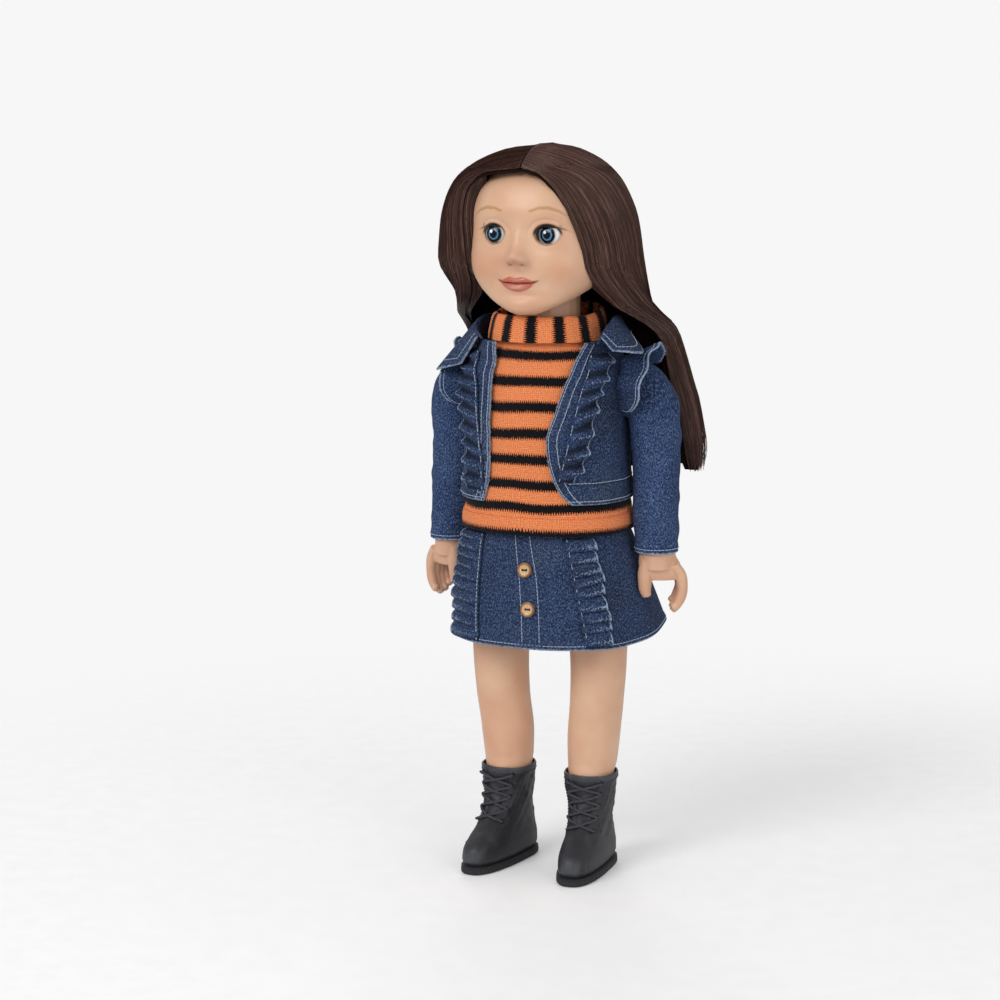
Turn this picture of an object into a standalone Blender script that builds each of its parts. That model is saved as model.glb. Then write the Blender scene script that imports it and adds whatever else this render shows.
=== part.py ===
"""Dressed fashion doll of the 18 inch class, standing with its arms down.

The doll faces -Y, its left hand is on +X and its soles stand on z = 0. A
hollow vinyl head with sleep eyes turns on the neck, and the arms and legs
turn on flanged studs in the torso. Over them come a knitted sweater, an open
denim jacket with gathered ruffles, a denim skirt and laced ankle boots.
"""

import math

import bmesh
import bpy
import numpy as np
from mathutils import Matrix, Vector

MM = 0.001
TAU = 2.0 * math.pi

# Fits and cloth
SEAT_GAP = 0.3 * MM
RUN_GAP = 0.4 * MM
CLOTH_GAP = 0.6 * MM
CUT_OVERRUN = 4.0 * MM
KNIT_WALL = 1.8 * MM
DENIM_WALL = 1.3 * MM

# Torso, from the hip axis to the root of the neck
HIP_HEIGHT = 190.0 * MM
TORSO_LENGTH = 151.0 * MM
TORSO_HALF_WIDTH = 45.0 * MM
TORSO_HALF_DEPTH = 33.0 * MM
NECK_RADIUS = 20.0 * MM
NECK_LENGTH = 36.5 * MM
NECK_FLANGE_REACH = 2.6 * MM
NECK_FLANGE_THICKNESS = 3.2 * MM
SHOULDER_HEIGHT_SHARE = 0.768
SHOULDER_SETBACK = 8.0 * MM
HIP_WEB_HALF = 9.7 * MM
HIP_WEB_REACH = 15.0 * MM

# Flanged studs of the arms and legs
STUD_RADIUS = 5.0 * MM
STUD_FLANGE_RADIUS = 7.4 * MM
STUD_FLANGE_THICKNESS = 3.2 * MM
STUD_NECK_LENGTH = 5.0 * MM

# Head
HEAD_HEIGHT = 93.0 * MM
HEAD_HALF_WIDTH = 46.0 * MM
HEAD_FRONT = 48.0 * MM
HEAD_BACK = 44.0 * MM
HEAD_WALL = 3.5 * MM
CHIN_DROP = 23.5 * MM
EYE_LINE_SHARE = 0.527

# Eyes
EYE_SPREAD = 17.7 * MM
EYE_RADIUS = 10.0 * MM
EYE_SETBACK = 32.0 * MM
EYE_OPENING_HALF_WIDTH = 8.3 * MM
EYE_OPENING_HALF_HEIGHT = 6.8 * MM
EYE_FLAT_SHARE = 0.86
IRIS_RISE = 0.3 * MM
EYE_AXLE_RADIUS = 1.0 * MM
EYE_AXLE_CLEARANCE = 0.25 * MM
EYE_CASE_WALL = 1.8 * MM
EYE_CASE_CLEARANCE = 0.9 * MM
EYE_CASE_TAIL = 2.5 * MM
EYE_WEIGHT_SIZE = 4.4 * MM
LASH_LENGTH = 2.2 * MM
LASH_THICKNESS = 0.45 * MM

# Hair
HAIR_ROOT_GAP = 1.7 * MM
HAIR_CROWN_RISE = 10.0 * MM
HAIR_HALF_WIDTH = 64.0 * MM
HAIR_DEPTH = 56.0 * MM
HAIR_CAP_DROP = 89.0 * MM
HAIR_FALL_LENGTH = 108.0 * MM
HAIR_FALL_HALF_WIDTH = 50.0 * MM
HAIR_FALL_THICKNESS = 11.0 * MM
HAIR_LOCK_SPREAD = 88.0 * MM

# Arms, sleeves and hands
ARM_LENGTH = 103.0 * MM
ARM_RADIUS = 13.3 * MM
SHOULDER_RADIUS = 15.6 * MM
SLEEVE_EASE = 1.1 * MM
HAND_LENGTH = 37.0 * MM
HAND_WIDTH = 32.0 * MM
HAND_HALF_THICKNESS = 7.6 * MM
HAND_TURN_DEG = 30.0
FINGER_RADIUS = 3.3 * MM

# Legs and boots
THIGH_DISC_RADIUS = 25.0 * MM
THIGH_WIDTH = 39.4 * MM
KNEE_HALF_WIDTH = 16.8 * MM
BOOT_HEIGHT = 62.0 * MM
BOOT_LENGTH = 73.0 * MM
BOOT_HALF_WIDTH = 16.8 * MM
BOOT_HEEL = 22.0 * MM
BOOT_SPREAD = 28.5 * MM
BOOT_WALL = 1.5 * MM
BOOT_FIT = 0.8 * MM
SOLE_THICKNESS = 4.5 * MM
SOLE_WELT = 1.0 * MM
INSOLE_THICKNESS = 2.0 * MM
TOE_OUT_DEG = 6.0
LACE_RADIUS = 0.9 * MM
LACE_ROWS = 4

# Sweater
SWEATER_EASE = 9.5 * MM
SWEATER_LENGTH_SHARE = 0.82
HEM_BAND_HEIGHT = 10.5 * MM
COLLAR_RADIUS = 34.5 * MM
COLLAR_HEIGHT = 16.0 * MM
COLLAR_BACK_RISE = 5.0 * MM
COLLAR_WALL = 3.6 * MM

# Jacket
JACKET_OVER_SWEATER = 1.0 * MM
JACKET_LENGTH_SHARE = 0.649
ARMHOLE_CLEARANCE = 0.5 * MM
JACKET_COLLAR_REACH = 41.0 * MM
RUFFLE_WALL = 1.0 * MM
RUFFLE_STAND = 3.6 * MM
SHOULDER_RUFFLE_WIDTH = 19.0 * MM

# Skirt
SKIRT_LENGTH = 70.0 * MM
SKIRT_FLARE = 10.5 * MM
SKIRT_FOLD = 1.8 * MM
SKIRT_SIDE_SWING = 14.0 * MM
WAISTBAND_HEIGHT = 6.5 * MM
BUTTON_RADIUS = 4.85 * MM
BUTTON_THICKNESS = 2.0 * MM
BUTTON_HOLE_RADIUS = 0.75 * MM

# Facets round each form
BODY_SIDES = 20
HEAD_SIDES = 34
LIMB_SIDES = 12
CLOTH_SIDES = 24
ROUND_SIDES = 14
FINGER_SIDES = 5
SMALL_SIDES = 8

# Places that follow from the sizes above
NECK_ROOT = HIP_HEIGHT + TORSO_LENGTH
TORSO_BOTTOM = HIP_HEIGHT + THIGH_DISC_RADIUS + RUN_GAP
SHOULDER_HEIGHT = HIP_HEIGHT + SHOULDER_HEIGHT_SHARE * TORSO_LENGTH
HEAD_FLOOR = NECK_ROOT + NECK_LENGTH
HEAD_BASE = HEAD_FLOOR - CHIN_DROP
EYE_HEIGHT = HEAD_BASE + EYE_LINE_SHARE * HEAD_HEIGHT
CROWN_HEIGHT = HEAD_BASE + HEAD_HEIGHT + HAIR_CROWN_RISE
HIP_SEAT = HIP_WEB_HALF + RUN_GAP
HIP_OUTER = HIP_SEAT + THIGH_WIDTH
SWEATER_HALF_WIDTH = TORSO_HALF_WIDTH + SWEATER_EASE
SWEATER_HALF_DEPTH = TORSO_HALF_DEPTH + SWEATER_EASE
SWEATER_HEM = HIP_HEIGHT + 0.19 * TORSO_LENGTH
SHOULDER_SEAT = 0.955 * TORSO_HALF_WIDTH
ARMHOLE_PLANE = 0.94 * SWEATER_HALF_WIDTH + JACKET_OVER_SWEATER
SLEEVE_RADIUS = SHOULDER_RADIUS + SLEEVE_EASE + DENIM_WALL
JACKET_LENGTH = JACKET_LENGTH_SHARE * TORSO_LENGTH
JACKET_HEM = NECK_ROOT - 0.03 * TORSO_LENGTH - JACKET_LENGTH
WAIST_HALF_WIDTH = max(HIP_OUTER, TORSO_HALF_WIDTH) + CLOTH_GAP + DENIM_WALL
WAIST_HALF_DEPTH = 1.08 * TORSO_HALF_DEPTH + CLOTH_GAP + DENIM_WALL
SKIRT_TOP = SWEATER_HEM - SEAT_GAP
SKIRT_HEM = SKIRT_TOP - SKIRT_LENGTH

# Height from the torso's bottom, half width, half depth, middle and squareness
torso_section_shares = [
    (0.00, 0.97, 0.95, -0.03, 2.3),
    (0.23, 0.87, 0.90, -0.06, 2.3),
    (0.37, 0.87, 0.94, -0.08, 2.3),
    (0.55, 0.93, 1.00, -0.09, 2.3),
    (0.68, 0.95, 0.99, -0.06, 2.3),
    (0.78, 0.93, 0.95, -0.03, 2.2),
    (0.86, 0.86, 0.87, 0.00, 2.1),
    (0.92, 0.72, 0.78, 0.00, 2.0),
    (0.97, 0.57, 0.70, 0.00, 2.0),
    (1.00, 0.46, 0.63, 0.00, 2.0),
]

# Height from the chin, half width, front, back and middle of each ring
head_section_shares = [
    (0.000, 0.12, 0.80, -0.70, 0.74),
    (0.020, 0.24, 0.86, -0.58, 0.70),
    (0.048, 0.38, 0.885, -0.44, 0.64),
    (0.080, 0.51, 0.895, -0.28, 0.57),
    (0.129, 0.66, 0.895, -0.02, 0.45),
    (0.172, 0.77, 0.895, 0.20, 0.35),
    (0.226, 0.87, 0.915, 0.46, 0.23),
    (0.280, 0.94, 0.94, 0.68, 0.14),
    (0.344, 0.985, 0.97, 0.84, 0.08),
    (0.409, 1.00, 0.99, 0.93, 0.04),
    (0.538, 1.00, 0.99, 0.99, 0.04),
    (0.624, 0.985, 1.005, 0.985, 0.04),
    (0.688, 0.96, 1.01, 0.965, 0.04),
    (0.774, 0.905, 0.975, 0.91, 0.04),
    (0.839, 0.83, 0.92, 0.84, 0.04),
    (0.903, 0.71, 0.81, 0.72, 0.04),
    (0.957, 0.53, 0.63, 0.53, 0.05),
    (0.989, 0.31, 0.39, 0.30, 0.06),
    (1.000, 0.13, 0.20, 0.11, 0.06),
]

# Heights of the head's rings, closer together over the mouth and nose
head_rows_shares = [0.0, 0.025, 0.06, 0.1, 0.14, 0.175, 0.205, 0.235, 0.265, 0.30, 0.34, 0.375, 0.41]
head_rows_shares += [0.455, 0.51, 0.58, 0.66, 0.74, 0.82, 0.89, 0.945, 0.985, 1.0]

# Relief of the face: side place, height from the eye line, rise, breadth and height
face_relief_shares = [
    (0.000, -0.285, 0.150, 0.085, 0.085),
    (0.000, -0.150, 0.070, 0.078, 0.160),
    (0.105, -0.345, 0.055, 0.055, 0.055),
    (-0.105, -0.345, 0.055, 0.055, 0.055),
    (0.000, -0.593, 0.048, 0.165, 0.042),
    (0.000, -0.700, 0.060, 0.135, 0.050),
    (0.000, -0.642, -0.035, 0.200, 0.020),
    (0.290, -0.632, -0.022, 0.045, 0.045),
    (-0.290, -0.632, -0.022, 0.045, 0.045),
    (0.000, -0.940, 0.055, 0.180, 0.110),
    (0.560, -0.460, 0.050, 0.220, 0.200),
    (-0.560, -0.460, 0.050, 0.220, 0.200),
    (0.385, 0.020, -0.058, 0.185, 0.150),
    (-0.385, 0.020, -0.058, 0.185, 0.150),
    (0.370, 0.270, 0.018, 0.220, 0.075),
    (-0.370, 0.270, 0.018, 0.220, 0.075),
]

# Height from the cap's edge, half widths on -X and +X, front and back
hair_section_shares = [
    (0.000, 1.03, 0.98, 0.48, 0.94),
    (0.120, 1.09, 0.94, 0.60, 0.97),
    (0.280, 1.12, 0.905, 0.74, 0.99),
    (0.410, 1.10, 0.885, 0.80, 1.00),
    (0.540, 1.07, 0.85, 0.86, 0.99),
    (0.650, 1.02, 0.79, 0.87, 0.95),
    (0.760, 0.93, 0.705, 0.86, 0.86),
    (0.840, 0.80, 0.60, 0.81, 0.75),
    (0.910, 0.62, 0.46, 0.69, 0.61),
    (0.975, 0.34, 0.25, 0.44, 0.36),
    (1.000, 0.12, 0.09, 0.24, 0.14),
]

# Height from the chin, then the face opening's half widths on -X and +X
hairline_shares = [
    (-0.10, 0.80, 0.80),
    (0.10, 0.86, 0.80),
    (0.26, 0.93, 0.80),
    (0.40, 0.955, 0.79),
    (0.53, 0.955, 0.745),
    (0.67, 0.945, 0.645),
    (0.80, 0.90, 0.51),
    (0.88, 0.77, 0.385),
    (0.935, 0.54, 0.24),
    (0.962, 0.10, 0.05),
]

# Distance down from the armpit, outward place, backward place and radius
limb_shares = [
    (0.00, 0.000, 0.04, 1.00),
    (0.22, 0.000, 0.12, 0.97),
    (0.42, 0.045, 0.06, 0.935),
    (0.65, 0.100, -0.06, 0.895),
    (0.82, 0.145, -0.16, 0.845),
    (0.96, 0.180, -0.22, 0.80),
]

# Height share of the hip axis, outward place, half width, half depth, backward place
leg_section_shares = [
    (1.07, 1.00, 0.98, 1.14, 0.00),
    (1.00, 1.01, 1.13, 1.22, 0.00),
    (0.90, 1.05, 1.12, 1.18, 0.00),
    (0.79, 1.08, 1.09, 1.12, 0.00),
    (0.70, 1.08, 1.05, 1.06, 0.00),
    (0.57, 1.04, 1.00, 1.03, 0.02),
    (0.45, 0.96, 0.98, 1.03, 0.09),
    (0.345, 0.925, 0.91, 0.92, 0.08),
]

# Height, half width, front, back and squareness of the boot
boot_section_shares = [
    (0.075, 0.74, 0.94, 0.93, 2.7),
    (0.14, 0.83, 1.00, 1.00, 2.6),
    (0.23, 0.84, 0.975, 1.00, 2.5),
    (0.33, 0.80, 0.86, 0.98, 2.3),
    (0.43, 0.77, 0.67, 0.96, 2.1),
    (0.54, 0.78, 0.49, 0.93, 2.0),
    (0.68, 0.84, 0.38, 0.91, 2.0),
    (0.84, 0.93, 0.345, 0.88, 2.0),
    (1.00, 1.00, 0.345, 0.86, 2.0),
]

boot_rows_shares = [0.075, 0.14, 0.23, 0.33, 0.43, 0.54, 0.75, 1.00]

# Height between hem and neck, half width, half depth and middle
sweater_section_shares = [
    (0.00, 0.985, 1.000, -0.04),
    (0.09, 0.980, 0.995, -0.05),
    (0.22, 0.920, 0.985, -0.06),
    (0.38, 0.880, 0.990, -0.07),
    (0.54, 0.865, 0.985, -0.07),
    (0.72, 0.830, 0.930, -0.05),
    (0.84, 0.805, 0.880, -0.03),
    (0.93, 0.735, 0.830, 0.00),
    (1.00, 0.620, 0.760, 0.00),
]

jacket_section_shares = [
    (0.00, 0.985, 1.045, -0.05),
    (0.12, 0.968, 1.045, -0.06),
    (0.30, 0.936, 1.045, -0.07),
    (0.48, 0.926, 1.040, -0.07),
    (0.66, 0.926, 1.010, -0.05),
    (0.80, 0.915, 0.970, -0.03),
    (0.89, 0.860, 0.930, 0.00),
    (1.00, 0.775, 0.940, 0.00),
]

# Height between hem and neck, then where the front edges lie across the jacket
jacket_edge_shares = [
    (0.00, -0.490, 0.59),
    (0.06, -0.455, 0.495),
    (0.16, -0.420, 0.41),
    (0.30, -0.410, 0.36),
    (0.40, -0.410, 0.347),
    (0.55, -0.410, 0.43),
    (0.73, -0.415, 0.53),
    (0.86, -0.435, 0.635),
    (1.00, -0.520, 0.83),
]

# Height on the jacket, then the ruffle's seam and free edge as angles from the front
left_ruffle_shares = [
    (0.15, 0.066, 0.100),
    (0.28, 0.079, 0.130),
    (0.50, 0.097, 0.147),
    (0.74, 0.116, 0.172),
    (0.93, 0.146, 0.205),
]
right_ruffle_shares = [
    (0.07, -0.068, -0.122),
    (0.28, -0.074, -0.137),
    (0.50, -0.085, -0.170),
    (0.74, -0.099, -0.195),
    (0.93, -0.125, -0.195),
]

# Place round the neck, then the fold line and the free edge of the jacket collar
jacket_collar_shares = [
    (0.00, -0.83, -0.72, 0.08, -1.12, -0.76, -0.36),
    (0.10, -1.02, -0.38, 0.22, -1.66, -0.46, -0.50),
    (0.24, -1.06, 0.02, 0.32, -1.38, 0.02, -0.14),
    (0.37, -0.86, 0.60, 0.34, -1.02, 0.70, 0.02),
    (0.50, 0.00, 1.00, 0.34, 0.00, 1.07, 0.02),
    (0.63, 0.86, 0.60, 0.34, 1.02, 0.70, 0.02),
    (0.76, 1.06, 0.00, 0.36, 1.38, 0.04, 0.02),
    (0.90, 1.12, -0.44, 0.28, 1.78, -0.68, -0.10),
    (1.00, 1.14, -0.76, 0.10, 1.40, -0.90, -0.06),
]

# Height down the skirt, then each ruffle's seam and free edge as angles from the front
skirt_left_ruffle_shares = [
    (0.03, 0.072, 0.130),
    (0.40, 0.086, 0.143),
    (0.75, 0.099, 0.152),
    (0.97, 0.107, 0.158),
]
skirt_right_ruffle_shares = [
    (0.03, -0.086, -0.165),
    (0.35, -0.083, -0.188),
    (0.75, -0.076, -0.168),
    (0.97, -0.070, -0.142),
]

# Hand seen along its thickness: across and down from the wrist
thumb_path_shares = [(-0.18, 0.10), (-0.24, 0.36), (-0.24, 0.55), (-0.20, 0.70)]
finger_path_shares = [(0.32, 0.16), (0.46, 0.36), (0.49, 0.60), (0.41, 0.84), (0.29, 0.96)]
palm_section_shares = [
    (-0.10, 0.02, 0.34, 1.18),
    (0.02, 0.02, 0.36, 1.15),
    (0.16, 0.06, 0.41, 1.08),
    (0.31, 0.10, 0.42, 1.00),
    (0.42, 0.13, 0.34, 0.80),
]


def read_shares(table, place):
    """Read a table of shares at a place, along a smooth curve without overshoot."""
    rows = np.asarray(table, dtype=float)
    if rows[0, 0] > rows[-1, 0]:
        rows = rows[::-1]
    knots, values = rows[:, 0], rows[:, 1:]
    steps = np.diff(knots)[:, None]
    slopes = np.diff(values, axis=0) / steps
    tangents = np.zeros_like(values)
    tangents[0], tangents[-1] = slopes[0], slopes[-1]
    before, after = slopes[:-1], slopes[1:]
    same = before * after > 0
    tangents[1:-1][same] = (2.0 * before * after)[same] / (before + after)[same]
    place = min(max(place, knots[0]), knots[-1])
    i = int(np.clip(np.searchsorted(knots, place) - 1, 0, len(knots) - 2))
    step = knots[i + 1] - knots[i]
    t = (place - knots[i]) / step
    return (
        (2 * t**3 - 3 * t**2 + 1) * values[i]
        + (t**3 - 2 * t**2 + t) * step * tangents[i]
        + (3 * t**2 - 2 * t**3) * values[i + 1]
        + (t**3 - t**2) * step * tangents[i + 1]
    )


def even_angles(count):
    """Angles round a ring, from the front toward +X."""
    return [TAU * i / count for i in range(count)]


def face_angles(count):
    """Angles round the head that lie closer together on the face."""
    return [a - 0.6 * math.sin(a) for a in even_angles(count)]


def oval_point(angle, left, right, front, back, power):
    """Point of an oval whose four reaches differ, seen from above."""
    s, c = math.sin(angle), math.cos(angle)
    x = (right if s > 0 else left) * math.copysign(abs(s) ** (2.0 / power), s)
    y = -(front if c > 0 else back) * math.copysign(abs(c) ** (2.0 / power), c)
    return Vector((x, y, 0.0))


def loft(rings):
    """Close a stack of rings with a cap at each end."""
    count = len(rings[0])
    points = [p for ring in rings for p in ring]
    faces = []
    for i in range(len(rings) - 1):
        for j in range(count):
            k = (j + 1) % count
            faces.append((i * count + j, i * count + k, (i + 1) * count + k, (i + 1) * count + j))
    faces.append(tuple(reversed(range(count))))
    faces.append(tuple((len(rings) - 1) * count + j for j in range(count)))
    return points, faces


def wall(outer, inner):
    """Join two stacks of rings into a tube with a wall."""
    rings = list(outer) + list(reversed(inner))
    count = len(rings[0])
    points = [p for ring in rings for p in ring]
    faces = []
    for i in range(len(rings)):
        n = (i + 1) % len(rings)
        for j in range(count):
            k = (j + 1) % count
            faces.append((i * count + j, i * count + k, n * count + k, n * count + j))
    return points, faces


def cup(outer, inner):
    """Join two stacks of rings into a cup, closed below by two caps."""
    points, faces = wall(outer, inner)
    count = len(outer[0])
    last = len(outer) * 2 - 1
    faces = [f for f in faces if not (min(f) < count and max(f) >= last * count)]
    faces.append(tuple(range(count)))
    faces.append(tuple(last * count + j for j in range(count)))
    return points, faces


def sheet(outer, inner):
    """Join two open grids of points into a panel with a thickness."""
    rows, cols = len(outer), len(outer[0])
    points = [p for row in outer for p in row] + [p for row in inner for p in row]
    shift = rows * cols
    faces = []

    def at(i, j):
        return i * cols + j

    for i in range(rows - 1):
        for j in range(cols - 1):
            quad = (at(i, j), at(i, j + 1), at(i + 1, j + 1), at(i + 1, j))
            faces.append(quad)
            faces.append(tuple(shift + v for v in reversed(quad)))
    rim = [at(0, j) for j in range(cols)]
    rim += [at(i, cols - 1) for i in range(1, rows)]
    rim += [at(rows - 1, j) for j in range(cols - 2, -1, -1)]
    rim += [at(i, 0) for i in range(rows - 2, 0, -1)]
    for a, b in zip(rim, rim[1:] + rim[:1]):
        faces.append((b, a, shift + a, shift + b))
    return points, faces


def thicken(grid, thickness):
    """Offset an open grid to both sides along its normals."""
    rows, cols = len(grid), len(grid[0])
    outer, inner = [], []
    for i in range(rows):
        outer.append([])
        inner.append([])
        for j in range(cols):
            along = grid[min(i + 1, rows - 1)][j] - grid[max(i - 1, 0)][j]
            across = grid[i][min(j + 1, cols - 1)] - grid[i][max(j - 1, 0)]
            normal = along.cross(across).normalized()
            outer[-1].append(grid[i][j] + normal * thickness / 2)
            inner[-1].append(grid[i][j] - normal * thickness / 2)
    return outer, inner


def sweep(path, radii, sides, flat=1.0, width=Vector((0, 0, 1))):
    """Carry a round or flattened section along a path."""
    rings = []
    for i, point in enumerate(path):
        ahead = path[min(i + 1, len(path) - 1)] - path[max(i - 1, 0)]
        ahead.normalize()
        side = (width - ahead * width.dot(ahead)).normalized()
        other = ahead.cross(side)
        ring = []
        for a in even_angles(sides):
            ring.append(point + (side * math.cos(a) * flat + other * math.sin(a)) * radii[i])
        rings.append(ring)
    return loft(rings)


def turned(profile, axis_point, direction, sides):
    """Turn a profile of (along, radius) pairs about a line."""
    direction = Vector(direction).normalized()
    side = direction.orthogonal().normalized()
    other = direction.cross(side)
    rings = []
    for along, radius in profile:
        centre = Vector(axis_point) + direction * along
        rings.append(
            [centre + (side * math.cos(a) + other * math.sin(a)) * radius for a in even_angles(sides)]
        )
    return loft(rings)


def finish(name, color, roughness, metallic=0.0):
    """Material with one plain surface."""
    material = bpy.data.materials.new(name)
    material.use_nodes = True
    shader = material.node_tree.nodes["Principled BSDF"]
    shader.inputs["Base Color"].default_value = (*color, 1.0)
    shader.inputs["Roughness"].default_value = roughness
    shader.inputs["Metallic"].default_value = metallic
    material.diffuse_color = (*color, 1.0)
    return material


def add(name, shape, material, pivot=None):
    """Add one solid, with its origin on its pivot if it has one."""
    points, faces = shape
    mesh = bpy.data.meshes.new(name)
    mesh.from_pydata([tuple(p) for p in points], [], faces)
    shell = bmesh.new()
    shell.from_mesh(mesh)
    bmesh.ops.recalc_face_normals(shell, faces=shell.faces)
    shell.to_mesh(mesh)
    shell.free()
    mesh.shade_smooth()
    mesh.set_sharp_from_angle(angle=math.radians(38))
    mesh.materials.append(material)
    solid = bpy.data.objects.new(name, mesh)
    bpy.context.collection.objects.link(solid)
    if pivot is not None:
        mesh.transform(Matrix.Translation(-pivot.location))
        solid.parent = pivot
    return solid


def combine(solid, shape, operation, name):
    """Cut a shape from a solid, join it on or keep only what they share."""
    tool = add(solid.name + "_" + name, shape, solid.data.materials[0])
    tool.hide_render = True
    tool.display_type = "WIRE"
    step = solid.modifiers.new(name, "BOOLEAN")
    step.operation = operation
    step.solver = "EXACT"
    step.object = tool


def add_pivot(name, place):
    """Empty that stands on a joint's axis."""
    pivot = bpy.data.objects.new(name, None)
    pivot.location = place
    pivot.empty_display_size = EYE_RADIUS
    bpy.context.collection.objects.link(pivot)
    return pivot


def flip(shape, side):
    """Mirror a shape made for +X to the other side."""
    points, faces = shape
    return [Vector((p.x * side, p.y, p.z)) for p in points], faces


def shoulder(side):
    """Middle of the shoulder's seat on its axis."""
    return Vector((side * SHOULDER_SEAT, SHOULDER_SETBACK, SHOULDER_HEIGHT))


def hip(side):
    """Middle of the hip's seat on its axis."""
    return Vector((side * HIP_SEAT, 0.0, HIP_HEIGHT))


def eye_centre(side):
    """Middle of an eyeball."""
    return Vector((side * EYE_SPREAD, -EYE_SETBACK, EYE_HEIGHT))


def torso_ring(share, angles):
    """Ring of the bare torso at a share of its height."""
    width, depth, middle, power = read_shares(torso_section_shares, share)
    height = TORSO_BOTTOM + share * (NECK_ROOT - TORSO_BOTTOM)
    centre = Vector((0.0, middle * TORSO_HALF_DEPTH, height))
    width *= TORSO_HALF_WIDTH
    depth *= TORSO_HALF_DEPTH
    return [centre + oval_point(a, width, width, depth, depth, power) for a in angles]


def stud_profile(seat_to_web):
    """Stud with its flange, measured inward from its seat."""
    return [
        (-seat_to_web, STUD_RADIUS),
        (STUD_NECK_LENGTH, STUD_RADIUS),
        (STUD_NECK_LENGTH, STUD_FLANGE_RADIUS),
        (STUD_NECK_LENGTH + STUD_FLANGE_THICKNESS, STUD_FLANGE_RADIUS),
    ]


def socket_profile():
    """Bore for a stud and its flange, measured inward from the seat."""
    return [
        (-CUT_OVERRUN, STUD_RADIUS + RUN_GAP),
        (STUD_NECK_LENGTH - RUN_GAP, STUD_RADIUS + RUN_GAP),
        (STUD_NECK_LENGTH - RUN_GAP, STUD_FLANGE_RADIUS + RUN_GAP),
        (STUD_NECK_LENGTH + STUD_FLANGE_THICKNESS + RUN_GAP, STUD_FLANGE_RADIUS + RUN_GAP),
    ]


def build_torso(skin):
    """Torso with its neck flange, shoulder seats and the web between the legs."""
    angles = even_angles(BODY_SIDES)
    rows = [row[0] for row in torso_section_shares]
    torso = add("torso", loft([torso_ring(s, angles) for s in rows]), skin)
    flange = NECK_RADIUS + NECK_FLANGE_REACH
    top = HEAD_FLOOR + RUN_GAP
    neck = [
        (NECK_ROOT - CUT_OVERRUN, NECK_RADIUS),
        (top, NECK_RADIUS),
        (top, flange),
        (top + 0.7 * NECK_FLANGE_THICKNESS, flange),
        (top + NECK_FLANGE_THICKNESS, NECK_RADIUS),
    ]
    combine(torso, turned(neck, (0, 0, 0), (0, 0, 1), BODY_SIDES), "UNION", "neck")
    web = []
    reach = HIP_WEB_REACH
    for height, depth in (
        (HIP_HEIGHT - reach, 0.45 * reach),
        (HIP_HEIGHT - 0.8 * reach, 0.8 * reach),
        (HIP_HEIGHT, reach),
        (TORSO_BOTTOM + CUT_OVERRUN, 1.2 * reach),
    ):
        web.append(
            [
                Vector((0, 0, height)) + oval_point(a, HIP_WEB_HALF, HIP_WEB_HALF, depth, depth, 6.0)
                for a in even_angles(SMALL_SIDES * 2)
            ]
        )
    combine(torso, loft(web), "UNION", "web")
    for side, word in ((1, "left"), (-1, "right")):
        seat = shoulder(side)
        boss = [(0.0, SHOULDER_RADIUS), (0.45 * SHOULDER_SEAT, SHOULDER_RADIUS)]
        combine(torso, turned(boss, seat, (-side, 0, 0), ROUND_SIDES), "UNION", word + "_seat")
        combine(
            torso, turned(socket_profile(), seat, (-side, 0, 0), ROUND_SIDES), "DIFFERENCE", word + "_socket"
        )
        web_face = Vector((side * HIP_WEB_HALF, 0, HIP_HEIGHT))
        bore = [(a * min(1.0, (HIP_WEB_HALF - RUN_GAP) / socket_profile()[-1][0]), r) for a, r in socket_profile()]
        combine(torso, turned(bore, web_face, (-side, 0, 0), ROUND_SIDES), "DIFFERENCE", word + "_hip_socket")
    return torso


def head_point(share, angle, grow=0.0, relief=True):
    """Point on the head, without the hair."""
    width, front, back, middle = read_shares(head_section_shares, share)
    centre = -middle * HEAD_FRONT
    front_reach = front * HEAD_FRONT + centre + grow
    back_reach = back * HEAD_BACK - centre + grow
    rise = grow * max(0.0, (share - 0.85) / 0.15)
    power = 2.25 if math.cos(angle) > 0 else 2.0
    width = width * HEAD_HALF_WIDTH + grow
    point = oval_point(angle, width, width, front_reach, back_reach, power)
    outward = Vector((point.x, point.y, 0.0)).normalized()
    point += Vector((0.0, centre, HEAD_BASE + share * HEAD_HEIGHT + rise))
    if relief and math.cos(angle) > 0:
        point += outward * face_relief(point) * min(1.0, 3.0 * math.cos(angle))
    return point


def face_relief(point):
    """Rise of the face's features above the plain head."""
    across = point.x / HEAD_HALF_WIDTH
    up = (point.z - EYE_HEIGHT) / HEAD_HALF_WIDTH
    rise = 0.0
    for x, z, height, breadth, tall in face_relief_shares:
        rise += height * math.exp(-0.5 * ((across - x) / breadth) ** 2 - 0.5 * ((up - z) / tall) ** 2)
    for side in (1, -1):
        ring = math.hypot(
            (point.x - side * EYE_SPREAD) / EYE_OPENING_HALF_WIDTH,
            (point.z - EYE_HEIGHT) / EYE_OPENING_HALF_HEIGHT,
        )
        rise += 0.022 * math.exp(-(((ring - 1.12) / 0.17) ** 2))
    return rise * HEAD_HALF_WIDTH


def cavity_rings(shrink, angles):
    """Hollow of the head above its floor."""
    floor = (HEAD_FLOOR - HEAD_BASE) / HEAD_HEIGHT
    rings = []
    for t in (0.0, 0.15, 0.35, 0.6, 0.8, 0.93, 1.0):
        share = floor + shrink / HEAD_HEIGHT + t * (0.93 - 2 * shrink / HEAD_HEIGHT - floor)
        grow = -HEAD_WALL - shrink
        if t == 0.0:
            share, lift = floor + 0.04, (floor + shrink / HEAD_HEIGHT) * HEAD_HEIGHT + HEAD_BASE
            ring = [head_point(share, a, grow, relief=False) for a in angles]
            rings.append([Vector((p.x, p.y, lift)) for p in ring])
        else:
            rings.append([head_point(max(share, floor + 0.05), a, grow, relief=False) for a in angles])
    return rings


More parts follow.
